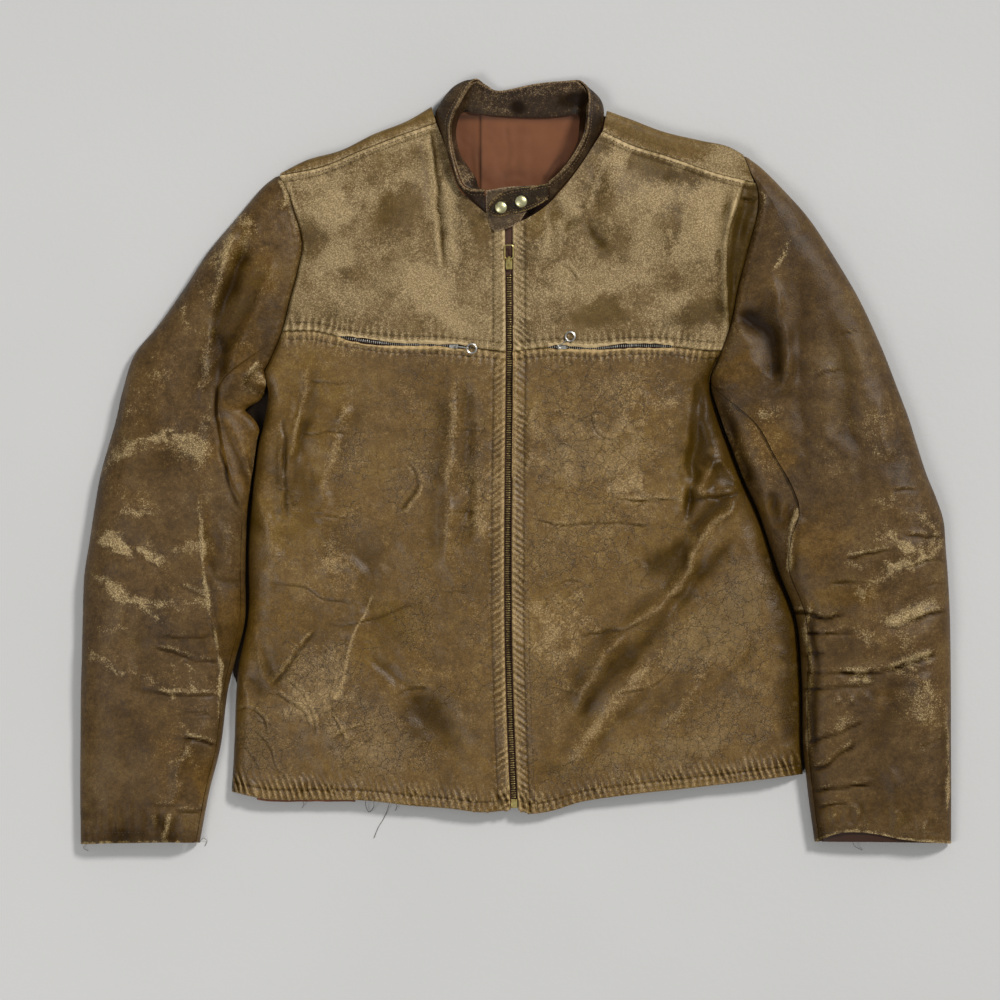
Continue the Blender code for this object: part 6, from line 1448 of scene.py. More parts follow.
# The stand collar: dark brown hide outside, a facing of the same inside, and rims rubbed to pale fibre.
# Its left end buttons over the right one with a strap of hide and two snaps.
COLLAR_WALL = 1.3
RIM_ROW = 4.2  # how far the collar's stitches lie from its rim
NECK_MIDDLE = (2.0, 285.0, 0.0)
COLLAR_COLUMNS = ("seam_x", "seam_y", "seam_z", "rim_x", "rim_y", "rim_z", "bulge")
COLLAR = (
    (-27.2, 227.9, 26, -28, 247.6, 33, 1.5), (-38.4, 237.2, 26, -41.6, 247.6, 35.5, 1.5),
    (-49, 249.2, 25.6, -50.2, 252.8, 37.5, 2), (-57, 268.5, 23.6, -57.1, 272.8, 38, 2),
    (-63.7, 289.5, 18, -60.8, 294.8, 36, 2), (-71.3, 310.6, 15, -59.4, 313, 32, 2),
    (-72.4, 322, 12, -51.5, 329.5, 26, 4), (-61.5, 328.5, 3.5, -38, 349.6, 13, 7),
    (-45, 320, 0.8, -27, 344.8, 5.5, 2), (-15, 316.2, 0.8, -14.6, 339.6, 3.5, 0.6),
    (18, 315.2, 0.8, 17.8, 345.9, 3, 0.6), (44, 316.2, 0.8, 45, 348.6, 3.5, 0.6),
    (66, 322, 1.2, 60, 348.4, 7, 3), (79.6, 321, 7, 66.6, 337, 18, 5), (78.6, 306, 15, 66.4, 318.5, 28, 3),
    (69, 287.2, 17.2, 64.6, 299, 34, 2), (57.8, 270.2, 22, 55.3, 280, 37, 2),
    (42.8, 250.8, 25.8, 42, 263.6, 36.5, 2), (29.6, 236.4, 26, 30, 254, 34.5, 1.5),
)
# The facing's lower edge, station for station with the collar, and the two ends' edges (top, bottom).
FACING_EDGE = (
    (-28.6, 243, 26), (-33.5, 250, 25), (-36.5, 259, 24), (-44, 270.5, 20), (-50.8, 282, 16),
    (-54.4, 300, 13), (-51, 316, 8), (-45, 322, 5.6), (-38, 319, 5), (-14, 316.6, 5), (18, 315.4, 5),
    (42, 316.4, 5), (53, 318, 5.4), (58, 316, 8), (58, 306, 13), (56, 292, 17), (48, 276, 21),
    (38, 263.5, 24), (30.6, 249, 26),
)
UNDER_END = (
    ((-26.9, 247.2), (-26.9, 229)), ((-18, 248.6), (-21.5, 213)), ((-8, 250.4), (-15, 210.6)),
    ((2, 251), (-3, 214.6)), ((10, 251.4), (4, 219.5)), ((18, 251.8), (9.5, 227.5)),
)
STRAP = (
    ((-25.4, 231), (-24.4, 226.6)), ((-22.6, 236.8), (-19, 223.6)), ((-16.5, 243), (-12, 223.8)),
    ((-8, 247), (-4, 226.2)), ((4, 249.6), (6, 227.8)), ((16, 251), (17, 231.8)),
    ((29.6, 253.4), (29.6, 239.2)),
)
# Patches, as on the fronts. The strong stains on the facing, and the smaller ones on the collar beside them,
# are painted shade in the gaps between the collar's wall and its facing.
COLLAR_PATCHES = (
    (-83, 304, 10, 16, 60, 0.5, 0, 0, 0.1), (77, 308, 5, 26, 10, 0.4, 0, 0, 0.5),
    (-66, 308, 8, 18, 60, 0.05, 0.1, 0, 0), (38, 234, 24, 8, 45, 0, 0.35, 0, 0),
    (-36, 333, 5, 10, 10, 0.6, 0, 0, 0), (-13, 333, 14, 6, 0, 0, 0.35, 0, 0),
    (-56.2, 302.1, 5, 16, -10, -0.5, 0.4, 0, 0), (73.6, 308.5, 5, 16, 0, -0.3, 0.3, 0, 0),
    (-64.4, 285.6, 5, 12, 0, 0.3, 0, 0, 0),
)
FACING_PATCHES = (
    (3, 325, 7, 9, 80, -0.3, 1.2, 0, 0), (51, 329, 20, 6, 10, -0.3, 1.1, 0, 0),
    (-21, 336, 20, 7, -20, 0.1, 0.3, 0, 0), (31, 340, 30, 6, 0, 0.2, 0, 0, 0),
    (-13, 322, 16, 3, -8, 0.2, -0.1, 0, 0), (-48, 263, 10, 10, -60, 0.35, 0, 0, 0),
    (-55.3, 303.9, 5, 15, -10, -0.5, 0.7, 0, 0), (62, 334, 5, 24, 90, -0.3, 0.9, 0, 0),
    (62, 312, 5, 14, 0, -0.3, 1, 0, 0),
)


def collar_finish(grid, patches, seed, wear_and_highlight=0.04, rim=0):
    """Relief and marks of a collar piece; the rim is the grid's last row, or its first."""
    x, y = grid[..., 0], grid[..., 1]
    run = np.cumsum(np.linalg.norm(np.diff(grid[rim], axis=0, prepend=grid[rim][:1]), axis=-1))[None]
    from_rim = np.linalg.norm(grid - grid[rim][None], axis=-1)
    from_foot = np.linalg.norm(grid - grid[-1 - rim][None], axis=-1)
    lump = 0.5 * noise(x, y, 14, seed) + 0.25 * noise(x, y, 5, seed + 1)
    gathers = puckers(from_rim - 4, run, 4, seed + 2, 6.0)
    relief = lump + 0.25 * gathers - 0.45 * bell(from_rim - RIM_ROW, 1.0)
    relief *= ease(np.minimum(from_rim, from_foot) / 4)
    added = patched(patches, x, y, seed + 3)
    rubbed = (0.75 + 0.35 * noise(run, 0 * run, 6, seed + 4)) * bell(from_rim, 1.3)
    # A darker line at the stitch row, and painted shade at the foot of each piece, where it meets the body or
    # the lining.
    marks = {
        "wear_and_highlight": wear_and_highlight + 0.12 * noise(x, y, 12, seed + 5) + rubbed + 0.12 * np.maximum(gathers, 0) + added[0],
        "stain_and_shade": 0.12 + 0.12 * noise(x, y, 16, seed + 6) + 0.35 * bell(from_rim - RIM_ROW, 0.9)
        + 0.3 * bell(from_foot, 2.2) + added[1],
        "crackle": 0.2 + added[2],
        "gold_and_highlight": np.clip(0.1 + 0.1 * noise(x, y, 20, seed + 7) + added[3], 0, 1),
    }
    return relief, marks


def build_collar():
    stations = np.linspace(0, len(COLLAR) - 1, 230)
    read = dict(zip(COLLAR_COLUMNS, read_rows(COLLAR, stations).T))
    seam, rim = (np.stack([read[f"{edge}_{axis}"] for axis in "xyz"], axis=-1) for edge in ("seam", "rim"))
    away = (seam + rim) / 2 - NECK_MIDDLE
    away[:, 2] = 0
    away /= np.linalg.norm(away, axis=-1, keepdims=True)
    levels = np.linspace(0, 1, 20)
    stand = np.array([seam + (rim - seam) * t + away * read["bulge"][:, None] * math.sin(math.pi * t)
                      for t in levels])
    normal = normals_of(stand)
    relief, marks = collar_finish(stand, COLLAR_PATCHES, 300, rim=-1)
    outer = stand + normal * relief[..., None] * 0.7
    thing = shell("collar_leather", outer, COLLAR_WALL, -1, collar_leather, marks)
    declare(thing, ["collar"])

    edge = read_rows(FACING_EDGE, stations)
    upper = rim - normal[-1] * (2 * COLLAR_WALL + REST)
    lift = np.array((0, 0, 1.0))
    levels = np.linspace(0, 1, 14)
    facing = np.array([upper + (edge - upper) * t + lift * math.sin(math.pi * t) for t in levels])
    relief, marks = collar_finish(facing, FACING_PATCHES, 320, wear_and_highlight=0.14)
    facing = facing + normals_of(facing) * relief[..., None] * 0.5
    thing = shell("collar_facing_leather", facing, COLLAR_WALL, -1, collar_leather, marks)
    declare(thing, ["collar_facing"])


def end_patch(table, heights, cells, seed):
    """A collar end between its top and bottom edges, with a turned rim and a stitched border."""
    count = np.arange(len(table))
    places = np.linspace(0, len(table) - 1, cells)
    edges = np.asarray(table, float)
    lines = []
    for t in np.linspace(0, 1, 22):
        plan = [smooth(places, count, (edges[:, 0] * (1 - t) + edges[:, 1] * t)[:, axis]) for axis in (0, 1)]
        lines.append(np.stack([*plan, np.full(cells, heights[1] * (1 - t) + heights[0] * t)], axis=-1))
    grid = np.array(lines)
    border = np.vstack([grid[0, ::-1], grid[:, 0], grid[-1]])[:, :2]
    off, run = offsets(border[::2], grid[..., 0], grid[..., 1], 40)
    off = np.abs(off)
    x, y = grid[..., 0], grid[..., 1]
    relief = -0.7 * (1 - roll(off / 1.8)) - 0.35 * bell(off - 3.0, 0.8)
    relief += (0.3 * noise(x, y, 7, seed) + 0.14 * noise(x, y, 3, seed + 1)) * ease(off / 2)
    grid[..., 2] += relief
    marks = {
        "wear_and_highlight": 0.14 + 0.16 * noise(x, y, 5, seed + 2)
        + (0.7 + 0.4 * noise(run, 0 * run, 5, seed + 3)) * bell(off, 1.0),
        "stain_and_shade": 0.2 + 0.2 * noise(x, y, 8, seed + 4) + 0.3 * bell(off - 3.0, 0.8),
        "crackle": 0.3 + 0 * x, "gold_and_highlight": 0.15 + 0 * x,
    }
    return grid, marks


collar_leather = leather("waxed_cowhide_collar", "#22170C", "#312213", "#443420", "#A08560", 0.42, 0.22)
strap_leather = leather("waxed_cowhide_strap", "#1B1208", "#261B0C", "#332612", "#A08455", 0.4, 0.24)
under_leather = leather("waxed_cowhide_under_end", "#382B1B", "#4A3A26", "#5F4C33", "#A58C6C", 0.5)
build_collar()
for name, table, heights, cells, finish, seed in (
        ("collar_under_end", UNDER_END, (29.2, 32.6), 60, under_leather, 340),
        ("collar_strap", STRAP, (32.6, 36.0), 80, strap_leather, 350)):
    grid, marks = end_patch(table, heights, cells, seed)
    thing = shell(name + "_leather", grid, COLLAR_WALL, -1, finish, marks)
    declare(thing, [name])


# The lining is rust-coloured satin: the back's, seen down the neck with its pleat, a strip that hangs
# just below the right half of the hem, and a tube in the left cuff.
LINING_WALL = 0.8
LINING_TOP = ((-78, 315.5), (-44, 322), (-14, 318.6), (18, 317.4), (44, 319.4), (84, 315.5))
LINING_FOOT = 196.0
LINING_PLEAT = (-32.4, 1.2, 1.6)  # x, height, half width
HEM_LINING = (-236.0, -146.0, 14.0, 1.6)  # from x to x, depth, and how much hangs out
CUFF_LINING_ROWS = 0.42  # the tube's length, in sections of the sleeve
CUFF_LINING_GAP = (5.0, 1.8)  # inside the leather, at the sides and above


def satin(name, low, high):
    """Woven satin: a soft sheen and fine threads, darkened where its stain_and_shade mark is high; on the
    linings that mark is painted shade.
    """
    made, tree = new_material(name)
    place = add(tree, "ShaderNodeTexCoord").outputs["Object"]
    thread = add(tree, "ShaderNodeTexWave", {"Vector": place, "Scale": 1 / (0.9 * MM) / 6.28,
                                             "Distortion": 0.6, "Detail": 1}, bands_direction="Y")
    cloud = clouds(tree, place, 1 / (26 * MM), 4)
    painted_shade = add(tree, "ShaderNodeAttribute", attribute_name="stain_and_shade").outputs["Fac"]
    colour = blend(tree, cloud, low, high)
    dark = add(tree, "ShaderNodeHueSaturation", {"Value": 0.2, "Color": colour}).outputs[0]
    colour = blend(tree, painted_shade, colour, dark)
    bump = bumped(tree, thread.outputs["Fac"], 0.12, 0.1 * MM)
    surface(tree, colour, 0.5, Normal=bump, Specular_IOR_Level=0.25, Sheen_Weight=0.03)
    return made


def build_linings(finish):
    low_x, high_x, low_y = LINING_TOP[0][0], LINING_TOP[-1][0], LINING_FOOT
    pleat_x, pleat_height, pleat_half = LINING_PLEAT
    x = np.linspace(low_x, high_x, 110)
    levels = np.linspace(0, 1, 70)[:, None]
    y = smooth(x, *np.asarray(LINING_TOP).T)[None] * (1 - levels) + low_y * levels
    across = np.broadcast_to(x, y.shape)
    z = 2.6 + 0.35 * noise(across, y, 22, 401) + 0.3 * noise(across * 2.4, y * 0.5, 17, 402)
    step = ease((across - pleat_x) / pleat_half + 0.5)
    z = z + pleat_height * step * np.exp(-np.maximum(across - pleat_x, 0) / 12)
    z = z + 0.1 * noise(across, y, 5, 403)
    # Painted shade: a dark line in the pleat, a soft band beside it, a band under the collar's edge, and dark
    # at the lining's lower end under the collar.
    stain_and_shade = 0.75 * bell(across - pleat_x - 0.8, 0.8)
    stain_and_shade = stain_and_shade + 0.35 * bell(across - pleat_x + 5, 3) * ease((330 - y) / 90)
    stain_and_shade = stain_and_shade + 0.8 * bell(316.0 - y, 3.5) + 1.2 * ease((246.5 - y) / 4)
    folds, _, crease_shade = creased(LINING_CREASES, across, y, 405)
    z = np.maximum(z + 0.5 * folds, 2.2)
    grid = np.stack([across, y, z], axis=-1)
    marks = {"stain_and_shade": np.clip(stain_and_shade + crease_shade, 0, 1)}
    thing = shell("lining_back_satin", grid, LINING_WALL, -1, finish, marks)
    declare(thing, ["lining_back"])

    low_x, high_x, depth, shown = HEM_LINING
    x = np.linspace(low_x, high_x, 60)
    hem_y = line_y(HEM, RIGHT, x) + 0.35 * noise(x, 0 * x, 9, 410)
    levels = np.linspace(0, 1, 9)[:, None]
    y = hem_y - shown + depth * (1 - levels)
    across = np.broadcast_to(x, y.shape)
    z = body_height(RIGHT, across, y) - LEATHER - REST - 0.9
    grid = np.stack([across, y, z], axis=-1)
    thing = shell("lining_hem_satin", grid, LINING_WALL, -1, finish, {"stain_and_shade": 0.3 + 0 * z})
    declare(thing, ["lining_hem"])

    last = len(SLEEVE[LEFT]) - 1
    numbers = np.linspace(last - CUFF_LINING_ROWS, last, 9)
    row = sleeve_at(LEFT, numbers)
    turn = np.linspace(0, 2 * math.pi, 90, endpoint=False)[None]
    half = row["width"] / 2 - LEATHER - CUFF_LINING_GAP[0]
    high = row["crown"] / 2 - LEATHER - CUFF_LINING_GAP[1]
    up = np.sin(turn)
    across = (row["inner_x"] + row["outer_x"]) / 2 + half * np.cos(turn)
    y = (row["inner_y"] + row["outer_y"]) / 2 + 1.0 + 0 * turn
    ripple = 0.5 * noise(turn * 30 + 0 * y, y, 9, 412)
    z = row["crown"] / 2 + (high + ripple) * np.sign(up) * np.abs(up) ** 0.7
    grid = np.stack([across, y, z], axis=-1)
    # Painted shade: the lining inside the cuff is darkened all over, as shade down the sleeve.
    thing = shell("lining_cuff_satin", grid, LINING_WALL, 1, finish, {"stain_and_shade": 1.0 + 0 * z}, closed=True)
    declare(thing, ["lining_cuff"])


# As on the leather: height, half width, flank side, wear and highlight, stain and painted shade, line.
LINING_CREASES = (
    (1, 3, 1, 0, 0.4, ((54, 282), (39, 271), (24, 257))),
    (-0.8, 2.5, 1, 0, 0.35, ((46, 285), (32, 269), (22, 254))),
    (0.7, 3, 1, 0, 0.3, ((-11, 254), (0, 258), (9, 254))),
    (0.6, 4, 1, 0, 0.15, ((-3, 312), (-4, 287), (-3, 263))),
    (0.6, 2, 1, 0, 0.3, ((-13, 308), (-9, 285), (-13, 266))),
    (0.8, 2, 1, 0, 0.5, ((-37, 293), (-37, 274), (-33, 253))),
)
lining_satin = satin("rust_satin", "#653B24", "#825131")
build_linings(lining_satin)


# The zips are antique-brass and nickel teeth on woven tape, one down the middle and one in each pocket.
# The tape lies under the leather; its teeth show between the lips.
ZIP_TOP, ZIP_FOOT = 228.0, -315.0
TAPE_WALL = 0.8
TAPE_HALF, POCKET_TAPE_HALF = 12.0, 7.0
TAPE_GAP, POCKET_TAPE_GAP = 1.4, 1.6  # between the leather of the solids and the tape
LEATHER_OF_SOLIDS = 1.5
CHAIN_TOP = 172.0  # the slider's place: the teeth start below it
TOOTH = (1.25, 5.6, 1.7)  # along, across, high
TOOTH_PITCH = 2.1
POCKET_TOOTH = (1.1, 3.6, 1.3)
POCKET_TOOTH_PITCH = 1.9


def metal(name, bright, tarnish, rough, share=0.5):
    """Plated brass or nickel with tarnish in its clouds and scuffed gloss."""
    made, tree = new_material(name)
    place = add(tree, "ShaderNodeTexCoord").outputs["Object"]
    cloud = clouds(tree, place, 1 / (2.6 * MM), 4)
    mask = add(tree, "ShaderNodeMapRange", {0: cloud, 1: share - 0.1, 2: share + 0.14}, clamp=True).outputs[0]
    colour = blend(tree, mask, bright, tarnish)
    gloss = add(tree, "ShaderNodeMath", {0: mask, 1: 0.22, 2: rough}, operation="MULTIPLY_ADD").outputs[0]
    surface(tree, colour, gloss, Metallic=1.0)
    return made


def tape_cloth(name, colour):
    """Woven cotton tape, dull and a little soiled."""
    made, tree = new_material(name)
    place = add(tree, "ShaderNodeTexCoord").outputs["Object"]
    surface(tree, blend(tree, clouds(tree, place, 1 / (1.1 * MM), 3), "#26170D", colour), 0.85)
    return made


def repeat_nodes():
    """A node tree that sets one small rounded bar after another along lines, and gives them a material."""
    tree = bpy.data.node_groups.new("bars_along_lines", "GeometryNodeTree")
    face = tree.interface
    face.new_socket("Lines", in_out="INPUT", socket_type="NodeSocketGeometry")
    for label, kind in (("Pitch", "NodeSocketFloat"), ("Size", "NodeSocketVector"),
                        ("Unevenness", "NodeSocketFloat"), ("Zigzag", "NodeSocketFloat"),
                        ("Seed", "NodeSocketInt"), ("Finish", "NodeSocketMaterial")):
        face.new_socket(label, in_out="INPUT", socket_type=kind)
    face.new_socket("Bars", in_out="OUTPUT", socket_type="NodeSocketGeometry")
    given = add(tree, "NodeGroupInput").outputs
    curve = add(tree, "GeometryNodeMeshToCurve", {"Mesh": given["Lines"]})
    points = add(tree, "GeometryNodeResampleCurve", {"Curve": curve.outputs[0], "Length": given["Pitch"]},
                 mode="LENGTH")
    bar = add(tree, "GeometryNodeMeshUVSphere", {"Segments": 8, "Rings": 4, "Radius": 0.5})
    tangent = add(tree, "GeometryNodeInputTangent")
    turned = add(tree, "FunctionNodeAlignRotationToVector", {"Vector": tangent.outputs[0]}, axis="X")
    jitter = add(tree, "FunctionNodeRandomValue", {"Seed": given["Seed"]}, data_type="FLOAT")
    low = add(tree, "ShaderNodeMath", {0: 1.0, 1: given["Unevenness"]}, operation="SUBTRACT")
    tree.links.new(low.outputs[0], jitter.inputs[2])
    jitter.inputs[3].default_value = 1.0
    grown = add(tree, "ShaderNodeVectorMath", {0: given["Size"], "Scale": jitter.outputs[1]},
                operation="SCALE")
    number = add(tree, "GeometryNodeInputIndex")
    odd = add(tree, "ShaderNodeMath", {0: number.outputs[0], 1: 2.0}, operation="MODULO")
    swing = add(tree, "ShaderNodeMath", {0: odd.outputs[0], 1: 2.0, 2: -1.0}, operation="MULTIPLY_ADD")
    swing = add(tree, "ShaderNodeMath", {0: swing.outputs[0], 1: given["Zigzag"]}, operation="MULTIPLY")
    aside = add(tree, "ShaderNodeCombineXYZ", {"Y": swing.outputs[0]})
    spread = add(tree, "GeometryNodeInstanceOnPoints", {
        "Points": points.outputs[0], "Instance": bar.outputs[0], "Rotation": turned.outputs[0],
        "Scale": grown.outputs[0]})
    moved = add(tree, "GeometryNodeTranslateInstances", {
        "Instances": spread.outputs[0], "Translation": aside.outputs[0]})
    real = add(tree, "GeometryNodeRealizeInstances", {"Geometry": moved.outputs[0]})
    painted = add(tree, "GeometryNodeSetMaterial", {"Geometry": real.outputs[0], "Material": given["Finish"]})
    add(tree, "NodeGroupOutput", {"Bars": painted.outputs[0]})
    return tree


def bars(name, lines, pitch, size, finish, unevenness=0.0, zigzag=0.0, seed=1):
    """One object of small rounded bars along lines given in millimetres; it rides on the root body."""
    mesh = bpy.data.meshes.new(name + "_lines")
    points, edges = [], []
    for line in lines:
        first = len(points)
        points += [tuple(np.asarray(point) * MM) for point in line]
        edges += [(first + i, first + i + 1) for i in range(len(line) - 1)]
    mesh.from_pydata(points, edges, [])
    carrier = new_object(name + "_lines", mesh)
    modifier = carrier.modifiers.new("bars", "NODES")
    modifier.node_group = bar_tree
    values = {"Pitch": pitch * MM, "Size": [part * MM for part in size], "Unevenness": unevenness,
              "Zigzag": zigzag * MM, "Seed": seed, "Finish": finish}
    for item in bar_tree.interface.items_tree:
        if item.in_out == "INPUT" and item.name in values:
            modifier[item.identifier] = values[item.name]
    carrier.update_tag()
    seen = carrier.evaluated_get(bpy.context.evaluated_depsgraph_get())
    made = bpy.data.meshes.new_from_object(seen)
    made.name = name
    bpy.data.objects.remove(carrier)
    made.shade_smooth()
    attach(new_object(name, made), "root")


def tape(name, node, centre, across, half, seed):
    """A zip's tape: a thin sheet with a raised cord under the teeth."""
    span = np.linspace(-1, 1, 13)
    cord = 0.45 * bell(span * half, 2.2)
    grid = centre[:, None] + across[:, None] * (span * half)[None, :, None]
    grid[..., 2] += cord[None] + 0.1 * noise(grid[..., 0], grid[..., 1], 6, seed)
    thing = shell(name, grid, TAPE_WALL, -1, zip_tape)
    declare(thing, [node])


def build_zips():
    y = np.linspace(ZIP_TOP, ZIP_FOOT, 170)
    x = zip_x(y)
    lips = np.minimum(*(body_height(side, x + side * ZIP_HALF_GAP, y) for side in (RIGHT, LEFT)))
    centre = np.stack([x, y, lips - LEATHER_OF_SOLIDS - TAPE_GAP], axis=-1)
    tape("main_zip_tape", "main_zip", centre, np.tile((1.0, 0, 0), (len(y), 1)), TAPE_HALF, 501)
    chain = centre[(y < CHAIN_TOP) & (y > ZIP_FOOT + 2)] + (0, 0, 1.15)
    bars("main_zip_teeth", [chain], TOOTH_PITCH, TOOTH, antique_brass, 0.08, 0.3, 5)
    for side in (RIGHT, LEFT):
        far, near = POCKET[side]
        x = np.linspace(far + side * 6, near - side * 2, 60)
        y = line_y(CHEST, side, x)
        z = body_height(side, x, y) - LEATHER_OF_SOLIDS - POCKET_TAPE_GAP
        centre = np.stack([x, y, z], axis=-1)
        run = np.gradient(centre[:, :2], axis=0)
        across = np.column_stack([-run[:, 1], run[:, 0], 0 * x])
        across /= np.linalg.norm(across, axis=-1, keepdims=True)
        name = side_name(side)
        tape("pocket_zip_tape_" + name, "pocket_zip_" + name, centre, across, POCKET_TAPE_HALF, 510 + side)
        bars("pocket_zip_teeth_" + name, [centre + (0, 0.3, 1.6)], POCKET_TOOTH_PITCH,
             POCKET_TOOTH, nickel, 0.08, 0.2, 7)


zip_tape = tape_cloth("cotton_tape", "#5A3722")
antique_brass = metal("antique_brass_teeth", "#AA965E", "#54462A", 0.36, 0.52)
brass = metal("worn_brass", "#D8C680", "#8E7A44", 0.28)
snap_brass = metal("tarnished_snap_brass", "#E0D8A8", "#9C9464", 0.3, 0.55)
nickel = metal("dull_nickel", "#D9D6CF", "#8E8A82", 0.3)
bar_tree = repeat_nodes()
build_zips()
pocket_parts = [part + side for side in ("right", "left")
                for part in ("pocket_slider_", "pocket_link_", "pocket_ring_")]
for finish, parts in ((brass, ("zip_slider", "zip_pull", "zip_box")), (snap_brass, ("snap_1", "snap_2")),
                      (nickel, pocket_parts)):
    for node in parts:
        for slot in nodes[node].material_slots:
            slot.material = finish


# Stitching: dark waxed thread in lockstitch rows of about 3 mm, sunk into the leather beside each seam.
STITCH = (2.3, 0.75, 0.6)  # long, wide, high
STITCH_PITCH = 3.1
SHORT_PITCH = 1.7  # the tacks at the pocket ends
TACK_REACH, TACK_STEP = 6.0, 1.6  # half length of a tack's row, and from one row to the next
TACK, STRAP_STITCH, RIM_STITCH = (1.5, 0.9, 0.6), (1.9, 0.6, 0.5), (2.0, 0.6, 0.5)
STRAP_PITCH, RIM_PITCH = 2.6, 2.8
FRONT_ROW_ENDS = (212, -314)  # y of the row beside the zip
YOKE_ROWS = (3.6, 7.0)  # below each shoulder seam
# The left front has second rows, above the hem's and outside the zip's; the latter starts at this point.
HEM_SECOND, FRONT_SECOND, FRONT_SECOND_FROM = 3.6, 4.5, 78
BOX_TACK_GAP, BOX_TACK_TOP = 4, 20  # the stitched corner beside the zip's foot


def thread_material(name, light, deep):
    """Waxed sewing thread, uneven in colour where it has worn."""
    made, tree = new_material(name)
    place = add(tree, "ShaderNodeTexCoord").outputs["Object"]
    surface(tree, blend(tree, clouds(tree, place, 1 / (5 * MM), 3), deep, light), 0.6)
    return made


def surface_of(names):
    """One search tree over the finished pieces of these names."""
    points, faces = [], []
    for name in names:
        mesh = bpy.data.objects[name].data
        count = len(mesh.vertices)
        places = np.empty(count * 3, np.float32)
        mesh.vertices.foreach_get("co", places)
        first = len(points)
        points += [Vector(place) for place in places.reshape(-1, 3)]
        faces += [[first + corner for corner in face.vertices] for face in mesh.polygons]
    return BVHTree.FromPolygons(points, faces)


def dropped(surface, line, lift=0.05):
    """A plan line laid on a surface from above, cut where it misses."""
    pieces, piece = [], []
    points = np.asarray(line, float)
    length = np.linalg.norm(np.diff(points, axis=0), axis=1).sum()
    for x, y in along(points, np.linspace(0, 1, max(2, int(length / 1.2)))):
        hit = surface.ray_cast(Vector((x * MM, y * MM, 0.08)), Vector((0, 0, -1)))[0]
        if hit is None:
            if len(piece) > 2:
                pieces.append(piece)
            piece = []
        else:
            piece.append((hit.x / MM, hit.y / MM, hit.z / MM + lift))
    if len(piece) > 2:
        pieces.append(piece)
    return pieces


def seam_rows(side):
    """The plan lines of the rows on one front."""
    chest = fine_line(CHEST[side], 8)[0][1:-1]
    hem = fine_line(HEM[side], 8)[0][1:]
    shoulder = fine_line(SHOULDER[side], 8)[0][1:-1]
    y = np.linspace(*FRONT_ROW_ENDS, 120)
    front = np.column_stack([zip_x(y) + side * (ZIP_HALF_GAP + FRONT_ROW), y])
    rows = [chest + (0, CHEST_ROW), chest - (0, CHEST_ROW), front, hem + (0, HEM_ROW)]
    rows += [shoulder - (0, aside) for aside in YOKE_ROWS]
    if side == LEFT:
        rows += [hem + (0, HEM_ROW + HEM_SECOND), front[FRONT_SECOND_FROM:] + (FRONT_SECOND, 0)]
    y = HEM[side][-1][1]
    x = zip_x(y) + side * (ZIP_HALF_GAP + BOX_TACK_GAP)
    rows.append([(x, y + BOX_TACK_GAP), (x, y + BOX_TACK_TOP)])
    rows.append([(x, y + BOX_TACK_TOP), (x + side * FRONT_ROW, y + BOX_TACK_TOP)])
    return rows


def build_stitching():
    panels = [kind + side for kind in ("yoke_leather_", "front_leather_", "top_sleeve_leather_")
              for side in ("right", "left")]
    shell_surface = surface_of(panels)
    lines, tacks = [], []
    for side in (RIGHT, LEFT):
        for row in seam_rows(side):
            lines += dropped(shell_surface, row)
        far, near = POCKET[side]
        for x, way in ((far, 1), (near, -1)):
            y = float(line_y(CHEST, side, x))
            for step in (0, TACK_STEP):
                at = x + side * (step * way + 1.2)
                tacks += dropped(shell_surface, [(at, y - TACK_REACH), (at, y + TACK_REACH)])
        last = np.array([len(SLEEVE[side]) - 1.0 - 0.22])
        row = sleeve_at(side, last)
        shares = np.linspace(0.05, 0.95, 30)
        cuff = sleeve_upper(side, row, shares[None])[0]
        lines += dropped(shell_surface, cuff[:, :2])
    bars("seam_stitches", lines, STITCH_PITCH, STITCH, dark_thread, 0.25, 0.0, 11)
    bars("pocket_tacks", tacks, SHORT_PITCH, TACK, tan_thread, 0.25, 0.5, 12)
    back_surface = surface_of(["back_leather"])
    lines = []
    for side in (RIGHT, LEFT):
        shoulder = fine_line(SHOULDER[side], 8)[0][2:-2]
        for aside in (3.0, SHOULDER_ROW):
            lines += dropped(back_surface, shoulder + (0, aside))
    bars("shoulder_stitches", lines, STITCH_PITCH, STITCH, tan_thread, 0.25, 0.0, 13)
    strap_surface = surface_of(["collar_strap_leather"])
    lines = []
    for edge, aside in ((0, -3.0), (1, 3.0)):
        line = fine_line([row[edge] for row in STRAP], 4)[0]
        lines += dropped(strap_surface, line + (0, aside))
    under_surface = surface_of(["collar_under_end_leather"])
    lines += dropped(under_surface, fine_line([row[1] for row in UNDER_END], 4)[0] + (0, 3.0))
    bars("strap_stitches", lines, STRAP_PITCH, STRAP_STITCH, tan_thread, 0.2, 0.0, 14)
    collar_surface = surface_of(["collar_leather"])
    rim = np.array([row[3:5] for row in COLLAR])
    foot = np.array([row[0:2] for row in COLLAR])
    share = np.minimum(RIM_ROW / np.linalg.norm(foot - rim, axis=-1, keepdims=True), 0.5)
    line = along(rim + (foot - rim) * share, np.linspace(0, 1, 160))
    bars("collar_stitches", dropped(collar_surface, line), RIM_PITCH, RIM_STITCH, tan_thread, 0.2, 0.0, 15)


dark_thread = thread_material("dark_waxed_thread", "#4A341A", "#2E1F0E")
tan_thread = thread_material("faded_tan_thread", "#8A6A42", "#5A4224")
build_stitching()


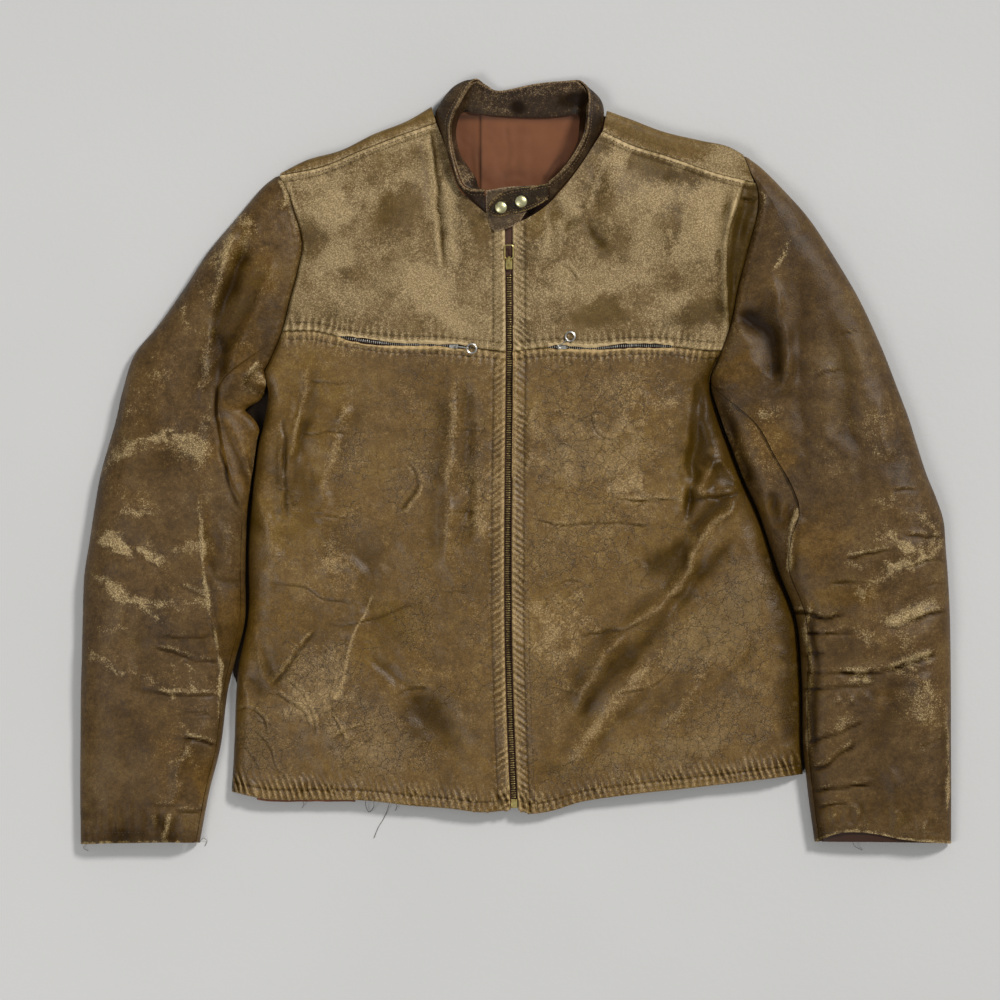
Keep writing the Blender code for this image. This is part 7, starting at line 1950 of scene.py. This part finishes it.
# Loose ends of lining thread that hang from the hem and the right cuff.
THREADS = (
    (0.25, (-114.7, -308.5, 12), (-116.5, -315.8, 3), (-120.2, -324.9, 0.6), (-125.7, -334.1, 0.5),
        (-129.3, -343.2, 0.5)),
    (0.25, (-136.6, -307.6, 12), (-136.6, -314, 4), (-133.9, -319.4, 1.5), (-130.2, -315.8, 4),
        (-129.3, -308.5, 12)),
    (0.22, (-112.9, -309.4, 12), (-108.3, -314, 3), (-110.1, -318.5, 1)),
    (0.22, (-288.4, -346.9, 8), (-285.6, -343.2, 5), (-282, -345.9, 1), (-283.8, -350.5, 0.6)),
    (0.2, (-197, -307.6, 12), (-193.3, -312.1, 3), (-195.1, -315.8, 0.8)),
    (0.2, (-392.6, -348.7, 6), (-394.4, -352.3, 2), (-390.7, -355.1, 0.6)),
    (0.2, (307.6, -346.9, 12), (311.2, -351.4, 3), (316.7, -354.2, 0.6)),
)


def build_threads(finish):
    points, faces = [], []
    for radius, *knots in THREADS:
        line = along(np.array(knots, float), np.linspace(0, 1, 40))
        run = np.gradient(line, axis=0)
        run /= np.linalg.norm(run, axis=-1, keepdims=True)
        flat = np.cross(run, (0, 0, 1.0))
        flat /= np.maximum(np.linalg.norm(flat, axis=-1, keepdims=True), 1e-6)
        up = np.cross(flat, run)
        first = len(points)
        for place, a, b in zip(line, flat, up):
            for turn in range(5):
                angle = turn * 2 * math.pi / 5
                points.append(tuple((place + radius * (math.cos(angle) * a + math.sin(angle) * b)) * MM))
        for ring in range(len(line) - 1):
            for turn in range(5):
                low, high = first + ring * 5, first + ring * 5 + 5
                faces.append((low + turn, low + (turn + 1) % 5, high + (turn + 1) % 5, high + turn))
        faces.append(tuple(first + turn for turn in range(5))[::-1])
        faces.append(tuple(first + (len(line) - 1) * 5 + turn for turn in range(5)))
    mesh = bpy.data.meshes.new("loose_threads")
    mesh.from_pydata(points, [], faces)
    mesh.materials.append(finish)
    mesh.shade_smooth()
    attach(new_object("loose_threads", mesh), "root")


build_threads(dark_thread)
